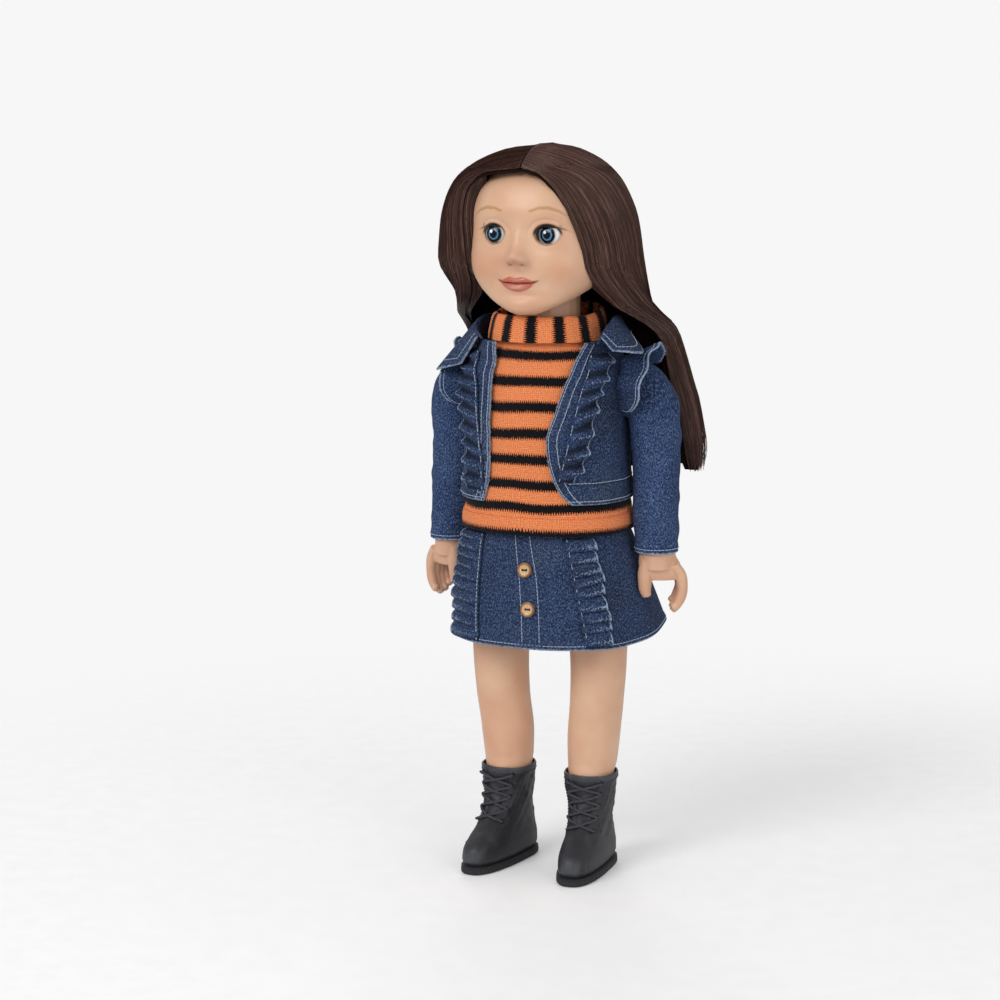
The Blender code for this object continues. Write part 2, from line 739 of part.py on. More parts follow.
def build_head(skin, pivot):
    """Hollow head with a sculpted face, eye openings and the neck hole."""
    angles = face_angles(HEAD_SIDES)
    rings = [[head_point(s, a) for a in angles] for s in head_rows_shares]
    head = add("head_shell", loft(rings), skin, pivot)
    combine(head, loft(cavity_rings(0.0, even_angles(BODY_SIDES))), "DIFFERENCE", "hollow")
    hole = [(HEAD_BASE - CUT_OVERRUN, NECK_RADIUS + RUN_GAP), (HEAD_FLOOR + CUT_OVERRUN, NECK_RADIUS + RUN_GAP)]
    combine(head, turned(hole, (0, 0, 0), (0, 0, 1), BODY_SIDES), "DIFFERENCE", "neck_hole")
    for side, word in ((1, "left"), (-1, "right")):
        combine(head, eye_seat(side), "DIFFERENCE", word + "_eye_seat")
        combine(head, eye_opening(side), "DIFFERENCE", word + "_eye_opening")
    return head


def eye_seat(side):
    """Hollow behind an eye opening that the eyeball turns in."""
    radius = EYE_RADIUS + IRIS_RISE + RUN_GAP
    turns = ROUND_SIDES // 2
    profile = [
        (-radius * math.cos(math.pi * i / turns), max(radius * math.sin(math.pi * i / turns), 0.01 * radius))
        for i in range(turns + 1)
    ]
    return turned(profile, eye_centre(side), (0, -1, 0), ROUND_SIDES)


def eye_opening(side):
    """Almond opening in the face for one eye."""
    near, far = [], []
    for a in even_angles(ROUND_SIDES + 4):
        x = EYE_OPENING_HALF_WIDTH * math.cos(a)
        z = EYE_OPENING_HALF_HEIGHT * math.sin(a) * (1.0 - 0.10 * math.cos(a) ** 2)
        centre = eye_centre(side)
        near.append(centre + Vector((x, -0.3 * EYE_RADIUS, z)))
        far.append(centre + Vector((1.06 * x, -2.6 * EYE_RADIUS, 1.06 * z)))
    return loft([near, far])


def build_eye(side, word, looks, head_pivot, eye_pivot):
    """Sleep eye: case and axle in the head, and the turning eyeball with its weight."""
    centre = eye_centre(side)
    case_radius = EYE_RADIUS + EYE_CASE_CLEARANCE
    tail = EYE_CASE_TAIL
    front = 1.6 * EYE_RADIUS
    rings = []
    for along, radius in (
        (-tail, case_radius + EYE_CASE_WALL),
        (front, case_radius + EYE_CASE_WALL),
        (front, case_radius),
        (-tail, case_radius),
    ):
        place = centre + Vector((0, -along, 0))
        rings.append(
            [place + Vector((math.cos(a), 0, math.sin(a))) * radius for a in even_angles(ROUND_SIDES)]
        )
    case = add(word + "_eye_case", wall(rings[:2], rings[2:][::-1]), looks["white"], head_pivot)
    combine(case, loft(cavity_rings(SEAT_GAP, even_angles(BODY_SIDES))), "INTERSECT", "face_wall")
    reach = case_radius + EYE_CASE_WALL
    axle_line = [(-reach - CUT_OVERRUN, 1.0), (reach + CUT_OVERRUN, 1.0)]
    hole = [(along, EYE_AXLE_RADIUS + EYE_AXLE_CLEARANCE) for along, _ in axle_line]
    combine(case, turned(hole, centre, (1, 0, 0), SMALL_SIDES), "DIFFERENCE", "axle_holes")
    axle = [(-reach, EYE_AXLE_RADIUS), (reach, EYE_AXLE_RADIUS)]
    add(word + "_eye_axle", turned(axle, centre, (1, 0, 0), SMALL_SIDES), looks["steel"], head_pivot)

    turns = 9
    limit = math.acos(EYE_FLAT_SHARE)
    profile = []
    for i in range(turns + 1):
        a = math.pi - (math.pi - limit) * i / turns
        profile.append((EYE_RADIUS * math.cos(a), max(EYE_RADIUS * math.sin(a), 0.02 * EYE_RADIUS)))
    ball = add(word + "_eyeball", turned(profile, centre, (0, -1, 0), ROUND_SIDES), looks["white"], eye_pivot)
    combine(ball, turned(hole, centre, (1, 0, 0), SMALL_SIDES), "DIFFERENCE", "bore")

    flat = EYE_FLAT_SHARE * EYE_RADIUS + SEAT_GAP
    rim = 0.94 * math.sin(limit) * EYE_RADIUS
    dome = [(flat, rim)]
    for share in (1.0, 0.8, 0.5, 0.2):
        dome.append((math.sqrt((EYE_RADIUS + IRIS_RISE) ** 2 - (share * rim) ** 2), share * rim))
    add(word + "_iris", turned(dome, centre, (0, -1, 0), ROUND_SIDES), looks["blue"], eye_pivot)

    lift = math.radians(32.0)
    root, outer = [], []
    for i in range(9):
        across = -1.0 + i / 4.0
        x = across * 0.5 * EYE_OPENING_HALF_WIDTH
        base = math.sqrt((EYE_RADIUS + SEAT_GAP) ** 2 - x**2)
        tip = base + LASH_LENGTH * (1.0 - 0.6 * across**2)
        edge = Vector((0, -math.cos(lift), math.sin(lift)))
        root.append(centre + Vector((x, 0, 0)) + edge * base)
        outer.append(centre + Vector((x, 0, 0)) + edge * tip)
    drop = Vector((0, -math.sin(lift), -math.cos(lift))) * LASH_THICKNESS
    upper = [root, outer]
    lower = [[p + drop for p in root], [p + drop for p in outer]]
    add(word + "_lashes", sheet(upper, lower), looks["lash"], eye_pivot)

    size = EYE_WEIGHT_SIZE
    down = Vector((0, 0.5, -0.866)).normalized()
    start = EYE_RADIUS + SEAT_GAP
    block = [(start, 0.32 * size), (start + 0.25 * size, 0.55 * size), (start + size, 0.55 * size)]
    add(word + "_eye_weight", turned(block, centre, down, SMALL_SIDES), looks["steel"], eye_pivot)


def hair_ring(share, angles):
    """Ring of the hair's outer form over the skull."""
    left, right, front, back = read_shares(hair_section_shares, share)
    height = CROWN_HEIGHT - HAIR_CAP_DROP - HAIR_CROWN_RISE + share * (HAIR_CAP_DROP + HAIR_CROWN_RISE)
    centre = Vector((0.0, 0.0, height))
    return [
        centre
        + oval_point(
            a, left * HAIR_HALF_WIDTH, right * HAIR_HALF_WIDTH, front * HAIR_DEPTH, back * HAIR_DEPTH, 2.15
        )
        for a in angles
    ]


def face_window():
    """Outline of the face opening, carried through the front of the hair."""
    right, left = [], []
    count = 16
    first, last = hairline_shares[0][0], hairline_shares[-1][0]
    for i in range(count + 1):
        share = first + (last - first) * i / count
        minus, plus = read_shares(hairline_shares, share)
        height = HEAD_BASE + share * HEAD_HEIGHT
        right.append(Vector((plus * HEAD_HALF_WIDTH, 0.0, height)))
        left.append(Vector((-minus * HEAD_HALF_WIDTH, 0.0, height)))
    outline = right + left[::-1]
    near = [p + Vector((0, 0.02 * HAIR_DEPTH, 0)) for p in outline]
    far = [p + Vector((0, -1.4 * HAIR_DEPTH, 0)) for p in outline]
    return loft([near, far])


def build_hair(hair, pivot):
    """Rooted hair: the cap over the skull and the lengths behind the shoulders."""
    angles = even_angles(CLOTH_SIDES)
    rows = [row[0] for row in hair_section_shares]
    cap = add("hair_cap", loft([hair_ring(s, angles) for s in rows]), hair, pivot)
    rows = [s for i, s in enumerate(head_rows_shares) if i % 2 == 0 or s > 0.5]
    skull = [[head_point(s, a, HAIR_ROOT_GAP) for a in even_angles(BODY_SIDES)] for s in rows]
    combine(cap, loft(skull), "DIFFERENCE", "skull")
    combine(cap, face_window(), "DIFFERENCE", "face")
    edge = CROWN_HEIGHT - HAIR_CAP_DROP - HAIR_CROWN_RISE
    column = [(edge - CUT_OVERRUN, 0.9 * HEAD_HALF_WIDTH), (HEAD_FLOOR + 1.5 * HEAD_WALL, 0.9 * HEAD_HALF_WIDTH)]
    combine(cap, turned(column, (0, 0, 0), (0, 0, 1), CLOTH_SIDES), "DIFFERENCE", "neck_space")

    top = edge - SEAT_GAP
    fall_shares = [
        (0.00, 0.90, 0.835, 0.95),
        (0.07, 0.96, 0.898, 0.95),
        (0.22, 1.04, 0.905, 1.06),
        (0.50, 1.12, 0.900, 1.00),
        (0.80, 1.18, 0.890, 0.85),
        (1.00, 1.00, 0.870, 0.45),
    ]
    rings = []
    for i in range(10):
        share = i / 9.0
        width, middle, thick = read_shares(fall_shares, share)
        centre = Vector((0.0, middle * HAIR_DEPTH, top - share * HAIR_FALL_LENGTH))
        half = 0.5 * thick * HAIR_FALL_THICKNESS
        width *= HAIR_FALL_HALF_WIDTH
        rings.append([centre + oval_point(a, width, width, half, half, 3.0) for a in even_angles(ROUND_SIDES)])
    add("hair_back_fall", loft(rings), hair, pivot)

    lock_shares = [
        (0.00, 0.650, 0.24, 0.100, 0.42),
        (0.07, 0.700, 0.40, 0.090, 0.36),
        (0.15, 0.715, 0.60, 0.092, 0.26),
        (0.26, 0.725, 0.77, 0.100, 0.15),
        (0.42, 0.745, 0.83, 0.130, 0.13),
        (0.60, 0.795, 0.85, 0.150, 0.12),
        (0.82, 0.850, 0.85, 0.145, 0.11),
        (1.00, 0.890, 0.84, 0.080, 0.06),
    ]
    for side, word in ((1, "left"), (-1, "right")):
        rings = []
        for i in range(11):
            share = i / 10.0
            across, middle, width, depth = read_shares(lock_shares, share)
            centre = Vector(
                (side * across * HAIR_LOCK_SPREAD, middle * HAIR_DEPTH, top - share * HAIR_FALL_LENGTH)
            )
            width *= HAIR_LOCK_SPREAD
            depth *= HAIR_DEPTH
            rings.append(
                [centre + oval_point(a, width, width, depth, depth, 2.2) for a in even_angles(LIMB_SIDES)]
            )
        add("hair_" + word + "_fall", loft(rings), hair, pivot)


def arm_rings(grow, sides, last=1.2):
    """Rings of the arm from its seat round the armpit to the wrist, grown by a cloth's ease."""
    armpit = Vector((ARMHOLE_PLANE, 0.0, SHOULDER_HEIGHT - SLEEVE_RADIUS))
    rings = []
    inset = SLEEVE_EASE + DENIM_WALL - grow
    for i in range(5):
        turn = math.radians(22.5 * i)
        reach = Vector((math.sin(turn), 0.0, math.cos(turn)))
        full = SLEEVE_RADIUS + (ARM_RADIUS + SLEEVE_EASE + DENIM_WALL - SLEEVE_RADIUS) * i / 4.0
        centre = armpit + reach * full
        centre.y = SHOULDER_SETBACK
        radius = full - inset
        rings.append(
            [
                centre + (reach * math.cos(a) + Vector((0, 1, 0)) * math.sin(a)) * radius
                for a in even_angles(sides)
            ]
        )
    drop = ARM_LENGTH - SLEEVE_RADIUS
    base_x = ARMHOLE_PLANE + ARM_RADIUS + SLEEVE_EASE + DENIM_WALL
    for share in (0.30, 0.65, 0.96, 1.1):
        if share > last:
            break
        out, back, radius = read_shares(limb_shares, share)
        centre = Vector(
            (base_x + out * ARM_RADIUS, SHOULDER_SETBACK + back * ARM_RADIUS, armpit.z - share * drop)
        )
        radius = radius * ARM_RADIUS + grow
        rings.append(
            [centre + Vector((math.cos(a), math.sin(a), 0.0)) * radius for a in even_angles(sides)]
        )
    return rings


def wrist():
    """Middle of the wrist at the end of the arm, for +X."""
    out, back, _ = read_shares(limb_shares, 1.0)
    return Vector(
        (
            ARMHOLE_PLANE + ARM_RADIUS + SLEEVE_EASE + DENIM_WALL + out * ARM_RADIUS,
            SHOULDER_SETBACK + back * ARM_RADIUS,
            SHOULDER_HEIGHT - ARM_LENGTH,
        )
    )


def hand_shapes():
    """Palm, curled fingers and thumb of the hand on +X."""
    turn = math.radians(HAND_TURN_DEG)
    across = Vector((math.cos(turn), math.sin(turn), 0.0))
    thick = Vector((math.sin(turn), -math.cos(turn), 0.0))
    start = wrist()

    def place(h, d, n=0.0):
        return start + across * h * HAND_WIDTH + thick * n + Vector((0, 0, -d * HAND_LENGTH))

    palm = []
    for d, middle, half, depth in palm_section_shares:
        ring = []
        for a in even_angles(LIMB_SIDES):
            ring.append(
                place(middle, d)
                + across * math.cos(a) * half * HAND_WIDTH
                + thick * math.sin(a) * depth * HAND_HALF_THICKNESS
            )
        palm.append(ring)
    shapes = [("palm", loft(palm))]
    spread = HAND_HALF_THICKNESS - FINGER_RADIUS
    for i, word in enumerate(("index", "middle", "ring", "little")):
        lane = spread * (1.0 - 2.0 * i / 3.0) * 1.25
        length = (0.94, 1.0, 0.96, 0.86)[i]
        path = [place(h, 0.1 + (d - 0.1) * length, lane) for h, d in finger_path_shares]
        radii = [FINGER_RADIUS * s for s in (1.0, 1.05, 1.0, 0.92, 0.72)]
        shapes.append((word, sweep(path, radii, FINGER_SIDES, width=thick)))
    path = [place(h, d, 0.35 * HAND_HALF_THICKNESS) for h, d in thumb_path_shares]
    radii = [FINGER_RADIUS * s for s in (1.5, 1.4, 1.25, 0.85)]
    shapes.append(("thumb", sweep(path, radii, FINGER_SIDES + 1, width=thick)))
    return shapes


def build_arm(side, word, looks, pivot):
    """Arm with its stud and hand, and the jacket sleeve round it."""
    seat = [
        [
            Vector((SHOULDER_SEAT + RUN_GAP, p.y, p.z))
            for p in arm_rings(0.0, LIMB_SIDES, last=0.0)[0]
        ]
    ]
    arm = add(word + "_arm", flip(loft(seat + arm_rings(0.0, LIMB_SIDES)), side), looks["skin"], pivot)
    profile = [(along, radius) for along, radius in stud_profile(2.0 * RUN_GAP + STUD_RADIUS)]
    combine(arm, turned(profile, shoulder(side), (-side, 0, 0), ROUND_SIDES), "UNION", "stud")
    for name, shape in hand_shapes():
        combine(arm, flip(shape, side), "UNION", name)

    cloth = SLEEVE_EASE
    outer = arm_rings(cloth + DENIM_WALL, ROUND_SIDES, last=0.97)
    inner = arm_rings(cloth, ROUND_SIDES, last=0.97)
    mouth = 0.875 * SWEATER_HALF_WIDTH
    outer.insert(0, [Vector((mouth, p.y, p.z)) for p in outer[0]])
    inner.insert(0, [Vector((mouth, p.y, p.z)) for p in inner[0]])
    add(word + "_sleeve", flip(wall(outer, inner), side), looks["denim"], pivot)


def boot_surface(share, grow, angle):
    """Point over the boot's facets, between two of its rings."""
    rows = boot_rows_shares
    i = max(j for j in range(len(rows) - 1) if rows[j] <= share)
    t = (share - rows[i]) / (rows[i + 1] - rows[i])
    return boot_ring(rows[i], grow, [angle])[0].lerp(boot_ring(rows[i + 1], grow, [angle])[0], t)


def boot_ring(share, grow, angles, height=None):
    """Ring of one boot on +X at a share of its height."""
    width, front, back, power = read_shares(boot_section_shares, share)
    turn = math.radians(TOE_OUT_DEG)
    level = share * BOOT_HEIGHT if height is None else height
    ring = []
    for a in angles:
        p = oval_point(
            a,
            width * BOOT_HALF_WIDTH + grow,
            width * BOOT_HALF_WIDTH + grow,
            front * (BOOT_LENGTH - BOOT_HEEL) + grow,
            back * BOOT_HEEL + grow,
            power,
        )
        ring.append(
            Vector(
                (
                    BOOT_SPREAD + p.x * math.cos(turn) - p.y * math.sin(turn),
                    p.x * math.sin(turn) + p.y * math.cos(turn),
                    level,
                )
            )
        )
    return ring


def leg_ring(share, angles):
    """Ring of the bare leg on +X at a share of the hip's height."""
    out, width, depth, back = read_shares(leg_section_shares, share)
    centre = Vector(
        (out * (HIP_SEAT + 0.53 * THIGH_WIDTH), back * KNEE_HALF_WIDTH, share * HIP_HEIGHT)
    )
    width *= KNEE_HALF_WIDTH
    depth *= KNEE_HALF_WIDTH
    return [centre + oval_point(a, width, width, depth, depth, 2.1) for a in angles]


def build_leg(side, word, looks, pivot):
    """Leg with its hip disc and stud."""
    angles = even_angles(ROUND_SIDES)
    inset = -BOOT_WALL - BOOT_FIT
    rings = []
    for share in (0.14, 0.33, 0.43, 0.54, 0.75, 1.00):
        level = None
        if share == boot_rows_shares[1]:
            level = SOLE_THICKNESS + 2 * SEAT_GAP + INSOLE_THICKNESS
        rings.append(boot_ring(share, inset, angles, level))
    for share in (0.36, 0.45, 0.57, 0.68, 0.79, 0.90, 1.0, 1.07):
        rings.append(leg_ring(share, angles))
    leg = add(word + "_leg", flip(loft(rings), side), looks["skin"], pivot)
    edge = 0.12 * THIGH_WIDTH
    disc = [
        (0.0, THIGH_DISC_RADIUS),
        (THIGH_WIDTH - 2 * edge, THIGH_DISC_RADIUS),
        (THIGH_WIDTH - 0.6 * edge, THIGH_DISC_RADIUS - 0.8 * edge),
        (THIGH_WIDTH, THIGH_DISC_RADIUS - 2.4 * edge),
    ]
    combine(leg, turned(disc, hip(side), (side, 0, 0), CLOTH_SIDES), "UNION", "hip_disc")
    fit = (HIP_WEB_HALF - 2.5 * RUN_GAP) / socket_profile()[-1][0]
    stud = [(min(1.0, fit) * along if along > 0 else along, radius) for along, radius in stud_profile(STUD_RADIUS)]
    web_face = Vector((side * HIP_WEB_HALF, 0, HIP_HEIGHT))
    combine(leg, turned(stud, web_face, (-side, 0, 0), ROUND_SIDES), "UNION", "stud")


def build_boot(side, word, looks, pivot):
    """Laced ankle boot: upper, sole and laces."""
    angles = even_angles(ROUND_SIDES)
    rows = boot_rows_shares
    bottom = SOLE_THICKNESS + SEAT_GAP
    outer = [boot_ring(s, 0.0, angles, bottom if s == rows[0] else None) for s in rows]
    floor = bottom + INSOLE_THICKNESS
    inner = [boot_ring(s, -BOOT_WALL, angles, floor if s == rows[1] else None) for s in rows[1:]]
    inner.insert(0, [p.copy() for p in inner[0]])
    for p in inner[0]:
        p.z = floor - 0.15 * INSOLE_THICKNESS
    add(word + "_boot_upper", flip(cup(outer, inner), side), looks["boot"], pivot)
    sole = [
        boot_ring(rows[1], SOLE_WELT - 0.5 * SOLE_WELT, angles, 0.0),
        boot_ring(rows[1], SOLE_WELT, angles, 0.2 * SOLE_THICKNESS),
        boot_ring(rows[1], SOLE_WELT, angles, SOLE_THICKNESS),
    ]
    add(word + "_boot_sole", flip(loft(sole), side), looks["sole"], pivot)

    spread = math.radians(38.0)
    stand = LACE_RADIUS + 3 * SEAT_GAP
    first, last = 0.47, 0.93
    runs = []
    for start in (1, -1):
        path = []
        steps = 4 * LACE_ROWS
        for i in range(steps + 1):
            share = first + (last - first) * i / steps
            phase = (i / 4.0) % 2.0
            swing = (1.0 - 2.0 * phase) if phase <= 1.0 else (2.0 * phase - 3.0)
            angle = start * spread * swing
            lift = stand + 0.35 * LACE_RADIUS * start * math.cos(math.pi * 2.0 * phase)
            path.append(boot_surface(share, lift, angle))
        runs.append(sweep(path, [LACE_RADIUS] * len(path), 4, width=Vector((0, -1, 0))))
    laces = add(word + "_boot_laces", flip(runs[0], side), looks["lace"], pivot)
    combine(laces, flip(runs[1], side), "UNION", "crossing")


def sweater_point(share, angle, grow=0.0):
    """Point on the sweater's outer face between its hem and its neck."""
    width, depth, middle = read_shares(sweater_section_shares, share)
    width = width * SWEATER_HALF_WIDTH + grow
    depth = depth * SWEATER_HALF_DEPTH + grow
    top = NECK_ROOT - 0.03 * TORSO_LENGTH
    height = SWEATER_HEM + share * (top - SWEATER_HEM)
    power = 2.3 if share < 0.8 else 2.3 - 1.2 * (share - 0.8)
    return Vector((0, middle * SWEATER_HALF_DEPTH, height)) + oval_point(
        angle, width, width, depth, depth, power
    )


def build_sweater(looks):
    """Knitted sweater: body, folded neck and folded hem band."""
    angles = even_angles(CLOTH_SIDES)
    top = NECK_ROOT - 0.03 * TORSO_LENGTH
    band = HEM_BAND_HEIGHT / (top - SWEATER_HEM)
    rows = [band + SEAT_GAP / (top - SWEATER_HEM), 0.22, 0.42, 0.62, 0.78, 0.90, 1.0]
    outer = [[sweater_point(s, a) for a in angles] for s in rows]
    inner = [[sweater_point(s, a, -KNIT_WALL) for a in angles] for s in rows]
    body = add("sweater_body", wall(outer, inner), looks["knit"])
    for side, word in ((1, "left"), (-1, "right")):
        hole = [(-0.3 * SHOULDER_SEAT, SHOULDER_RADIUS + RUN_GAP), (0.4 * SHOULDER_SEAT, SHOULDER_RADIUS + RUN_GAP)]
        combine(body, turned(hole, shoulder(side), (side, 0, 0), ROUND_SIDES), "DIFFERENCE", word + "_armhole")

    puff = 0.016 * SWEATER_HALF_WIDTH
    rows = (0.0, 0.5 * band, band)
    outer = [[sweater_point(s, a, puff * (1.1 if s == rows[1] else 0.8)) for a in angles] for s in rows]
    inner = [[sweater_point(s, a, -KNIT_WALL) for a in angles] for s in rows]
    add("sweater_hem", wall(outer, inner), looks["knit"])

    base = top + SEAT_GAP
    rings = []
    for share, radius in (
        (0.0, 1.10),
        (0.35, 1.06),
        (0.75, 1.01),
        (1.0, 0.96),
        (0.97, 0.895),
        (0.5, 0.92),
        (0.0, 0.99),
    ):
        ring = []
        for a in angles:
            rise = COLLAR_BACK_RISE * share * min(1.0, max(0.0, (0.35 - math.cos(a)) / 1.1))
            reach = radius * COLLAR_RADIUS
            ring.append(Vector((reach * math.sin(a), -reach * math.cos(a), base + share * COLLAR_HEIGHT + rise)))
        rings.append(ring)
    add("sweater_collar", wall(rings[:3], rings[3:][::-1]), looks["knit"])


def jacket_point(share, angle, grow=0.0):
    """Point on the jacket's outer face between its hem and its neck."""
    width, depth, middle = read_shares(jacket_section_shares, share)
    width = width * SWEATER_HALF_WIDTH + JACKET_OVER_SWEATER - CLOTH_GAP + grow
    depth = depth * SWEATER_HALF_DEPTH + JACKET_OVER_SWEATER - CLOTH_GAP + grow
    power = 2.3 if share < 0.8 else 2.3 - 1.2 * (share - 0.8)
    return Vector((0, middle * SWEATER_HALF_DEPTH, JACKET_HEM + share * JACKET_LENGTH)) + oval_point(
        angle, width, width, depth, depth, power
    )


def jacket_side(y, z):
    """How far out the jacket's side lies at a place on it."""
    share = (z - JACKET_HEM) / JACKET_LENGTH
    width, depth, middle = read_shares(jacket_section_shares, share)
    width = width * SWEATER_HALF_WIDTH + JACKET_OVER_SWEATER - CLOTH_GAP
    depth = depth * SWEATER_HALF_DEPTH + JACKET_OVER_SWEATER - CLOTH_GAP
    power = 2.3 if share < 0.8 else 2.3 - 1.2 * (share - 0.8)
    along = min(1.0, abs(y - middle * SWEATER_HALF_DEPTH) / depth)
    return width * (1.0 - along**power) ** (1.0 / power)


def edge_angle(across, power=2.3):
    """Angle from the front at which an oval lies at a share of its half width."""
    return math.copysign(math.asin(abs(across) ** (power / 2.0)), across)


def build_jacket(looks):
    """Open denim jacket with its collar and front ruffles."""
    rows = [i / 7.0 for i in range(8)]
    outer, inner = [], []
    count = CLOTH_SIDES
    for share in rows:
        minus, plus = read_shares(jacket_edge_shares, share)
        first = edge_angle(plus)
        last = TAU + edge_angle(minus)
        angles = [first + (last - first) * j / count for j in range(count + 1)]
        outer.append([jacket_point(share, a) for a in angles])
        inner.append([jacket_point(share, a, -DENIM_WALL) for a in angles])
    body = add("jacket_body", sheet(outer, inner), looks["denim"])
    armhole = SLEEVE_RADIUS + ARMHOLE_CLEARANCE
    for side, word in ((1, "left"), (-1, "right")):
        hole = [(-0.3 * SHOULDER_SEAT, armhole), (0.5 * SHOULDER_SEAT, armhole)]
        combine(body, turned(hole, shoulder(side), (side, 0, 0), BODY_SIDES), "DIFFERENCE", word + "_armhole")

    top = JACKET_HEM + JACKET_LENGTH
    reach = JACKET_COLLAR_REACH
    grid = []
    count = 16
    for i in range(count + 1):
        nx, ny, nz, ex, ey, ez = read_shares(jacket_collar_shares, i / count)
        fold = Vector((nx * reach, ny * reach, top + nz * reach))
        edge = Vector((ex * reach, ey * reach, top + ez * reach))
        foot = Vector((0.985 * nx * reach, 0.985 * ny * reach, top + 1.5 * SEAT_GAP + 0.5 * DENIM_WALL))
        if fold.z < foot.z + 0.1 * reach:
            foot.z = min(foot.z, fold.z)
            foot.xy = fold.xy * 0.97
        grid.append(
            [
                foot,
                foot.lerp(fold, 0.7),
                fold.lerp(edge, 0.12) + Vector((0, 0, 0.03 * reach)),
                fold.lerp(edge, 0.5) + Vector((0, 0, 0.02 * reach)),
                edge,
            ]
        )
    outer, inner = thicken(grid, DENIM_WALL)
    add("jacket_collar", sheet(outer, inner), looks["denim"])

    for word, table in (("left", left_ruffle_shares), ("right", right_ruffle_shares)):
        shape = ruffle(jacket_point, table, 9, 4)
        add("jacket_" + word + "_ruffle", shape, looks["denim"])


def ruffle(surface, table, waves, samples):
    """Gathered strip that lies on a garment from its seam to its free edge."""
    outer, inner = [], []
    steps = waves * samples
    first, last = table[0][0], table[-1][0]
    for i in range(steps + 1):
        share = first + (last - first) * i / steps
        seam, edge = read_shares(table, share)
        swing = 0.5 - 0.5 * math.cos(TAU * i / samples)
        far, near = [], []
        for across in (0.0, 0.5, 1.0):
            angle = TAU * (seam + (edge - seam) * across)
            shift = 0.3 * across * math.sin(TAU * i / samples) * (last - first) / waves
            stand = CLOTH_GAP + RUFFLE_STAND * across**0.8 * (0.25 + 0.75 * swing)
            near.append(surface(share + shift, angle, stand))
            far.append(surface(share + shift, angle, stand + RUFFLE_WALL))
        outer.append(far)
        inner.append(near)
    return sheet(outer, inner)


def build_shoulder_ruffles(looks):
    """Gathered wings round the front and top of each armhole."""
    waves, samples = 6, 4
    steps = waves * samples
    for side, word in ((1, "left"), (-1, "right")):
        outer, inner = [], []
        for i in range(steps + 1):
            t = i / steps
            angle = math.radians(-55.0 + 180.0 * t)
            swell = math.sin(math.pi * min(1.0, 0.08 + 0.92 * t)) ** 0.5
            if side < 0:
                swell *= 1.0 - 0.68 * math.exp(-(((math.degrees(angle) - 35.0) / 38.0) ** 2))
            swing = math.cos(TAU * i / samples)
            radial = Vector((0.0, -math.sin(angle), math.cos(angle)))
            far, near = [], []
            for across in (0.0, 0.5, 1.0):
                radius = SLEEVE_RADIUS + 2.2 * ARMHOLE_CLEARANCE
                radius += SHOULDER_RUFFLE_WIDTH * across * swell * (0.50 + 0.05 * swing)
                base = Vector((0.0, SHOULDER_SETBACK, SHOULDER_HEIGHT)) + radial * radius
                free = ARMHOLE_PLANE + SHOULDER_RUFFLE_WIDTH * across * swell * (1.02 - 0.08 * swing)
                sewn = jacket_side(base.y, base.z) + SEAT_GAP
                base.x = free if across > 0 else sewn
                near.append(base)
                far.append(base + radial * RUFFLE_WALL)
            outer.append(far)
            inner.append(near)
        add(word + "_shoulder_ruffle", flip(sheet(outer, inner), side), looks["denim"])


def skirt_point(share, angle, grow=0.0):
    """Point on the skirt's outer face, from its top down to its hem."""
    ease = share**0.85
    swing = max(0.0, math.cos(angle - math.radians(126.0))) ** 6
    side_swing = SKIRT_SIDE_SWING * ease * swing
    flare = SKIRT_FLARE * ease
    fold = 0.5 * (1.0 - math.cos(angle)) * SKIRT_FOLD * ease * math.sin(9.0 * angle)
    width = WAIST_HALF_WIDTH + flare + fold + grow
    depth = WAIST_HALF_DEPTH + flare + fold + grow
    lift = 0.11 * SKIRT_LENGTH * ease * swing
    height = SKIRT_TOP - share * SKIRT_LENGTH + lift
    point = oval_point(angle, width, width + side_swing, depth, depth + side_swing, 2.25)
    return Vector((0.0, 0.0, height)) + point


def build_skirt(looks):
    """Flared denim skirt with its waistband, ruffles and buttons."""
    angles = even_angles(CLOTH_SIDES + 12)
    rows = (0.0, 0.25, 0.5, 0.75, 1.0)
    outer = [[skirt_point(s, a) for a in angles] for s in rows]
    inner = [[skirt_point(s, a, -DENIM_WALL) for a in angles] for s in rows]
    add("skirt_body", wall(outer, inner), looks["denim"])

    rings = {"outer": [], "inner": []}
    for height in (SKIRT_TOP + SEAT_GAP, SKIRT_TOP + SEAT_GAP + WAISTBAND_HEIGHT):
        for word, grow in (("outer", 0.0), ("inner", -DENIM_WALL)):
            rings[word].append(
                [
                    Vector((0, 0, height))
                    + oval_point(
                        a,
                        WAIST_HALF_WIDTH + grow,
                        WAIST_HALF_WIDTH + grow,
                        WAIST_HALF_DEPTH + grow,
                        WAIST_HALF_DEPTH + grow,
                        2.25,
                    )
                    for a in even_angles(CLOTH_SIDES)
                ]
            )
    add("skirt_waistband", wall(rings["outer"], rings["inner"]), looks["denim"])

    for word, table in (("left", skirt_left_ruffle_shares), ("right", skirt_right_ruffle_shares)):
        add("skirt_" + word + "_ruffle", ruffle(skirt_point, table, 8, 4), looks["denim"])

    for word, share, turn in (("upper", 0.316, 1.0), ("lower", 0.656, 3.5)):
        angle = math.radians(turn)
        seat = skirt_point(share, angle)
        along = skirt_point(share + 0.05, angle) - skirt_point(share - 0.05, angle)
        beside = skirt_point(share, angle + 0.05) - skirt_point(share, angle - 0.05)
        outward = beside.cross(-along).normalized()
        if outward.y > 0:
            outward.negate()
        build_button("skirt_button_" + word, seat, outward, looks["button"])


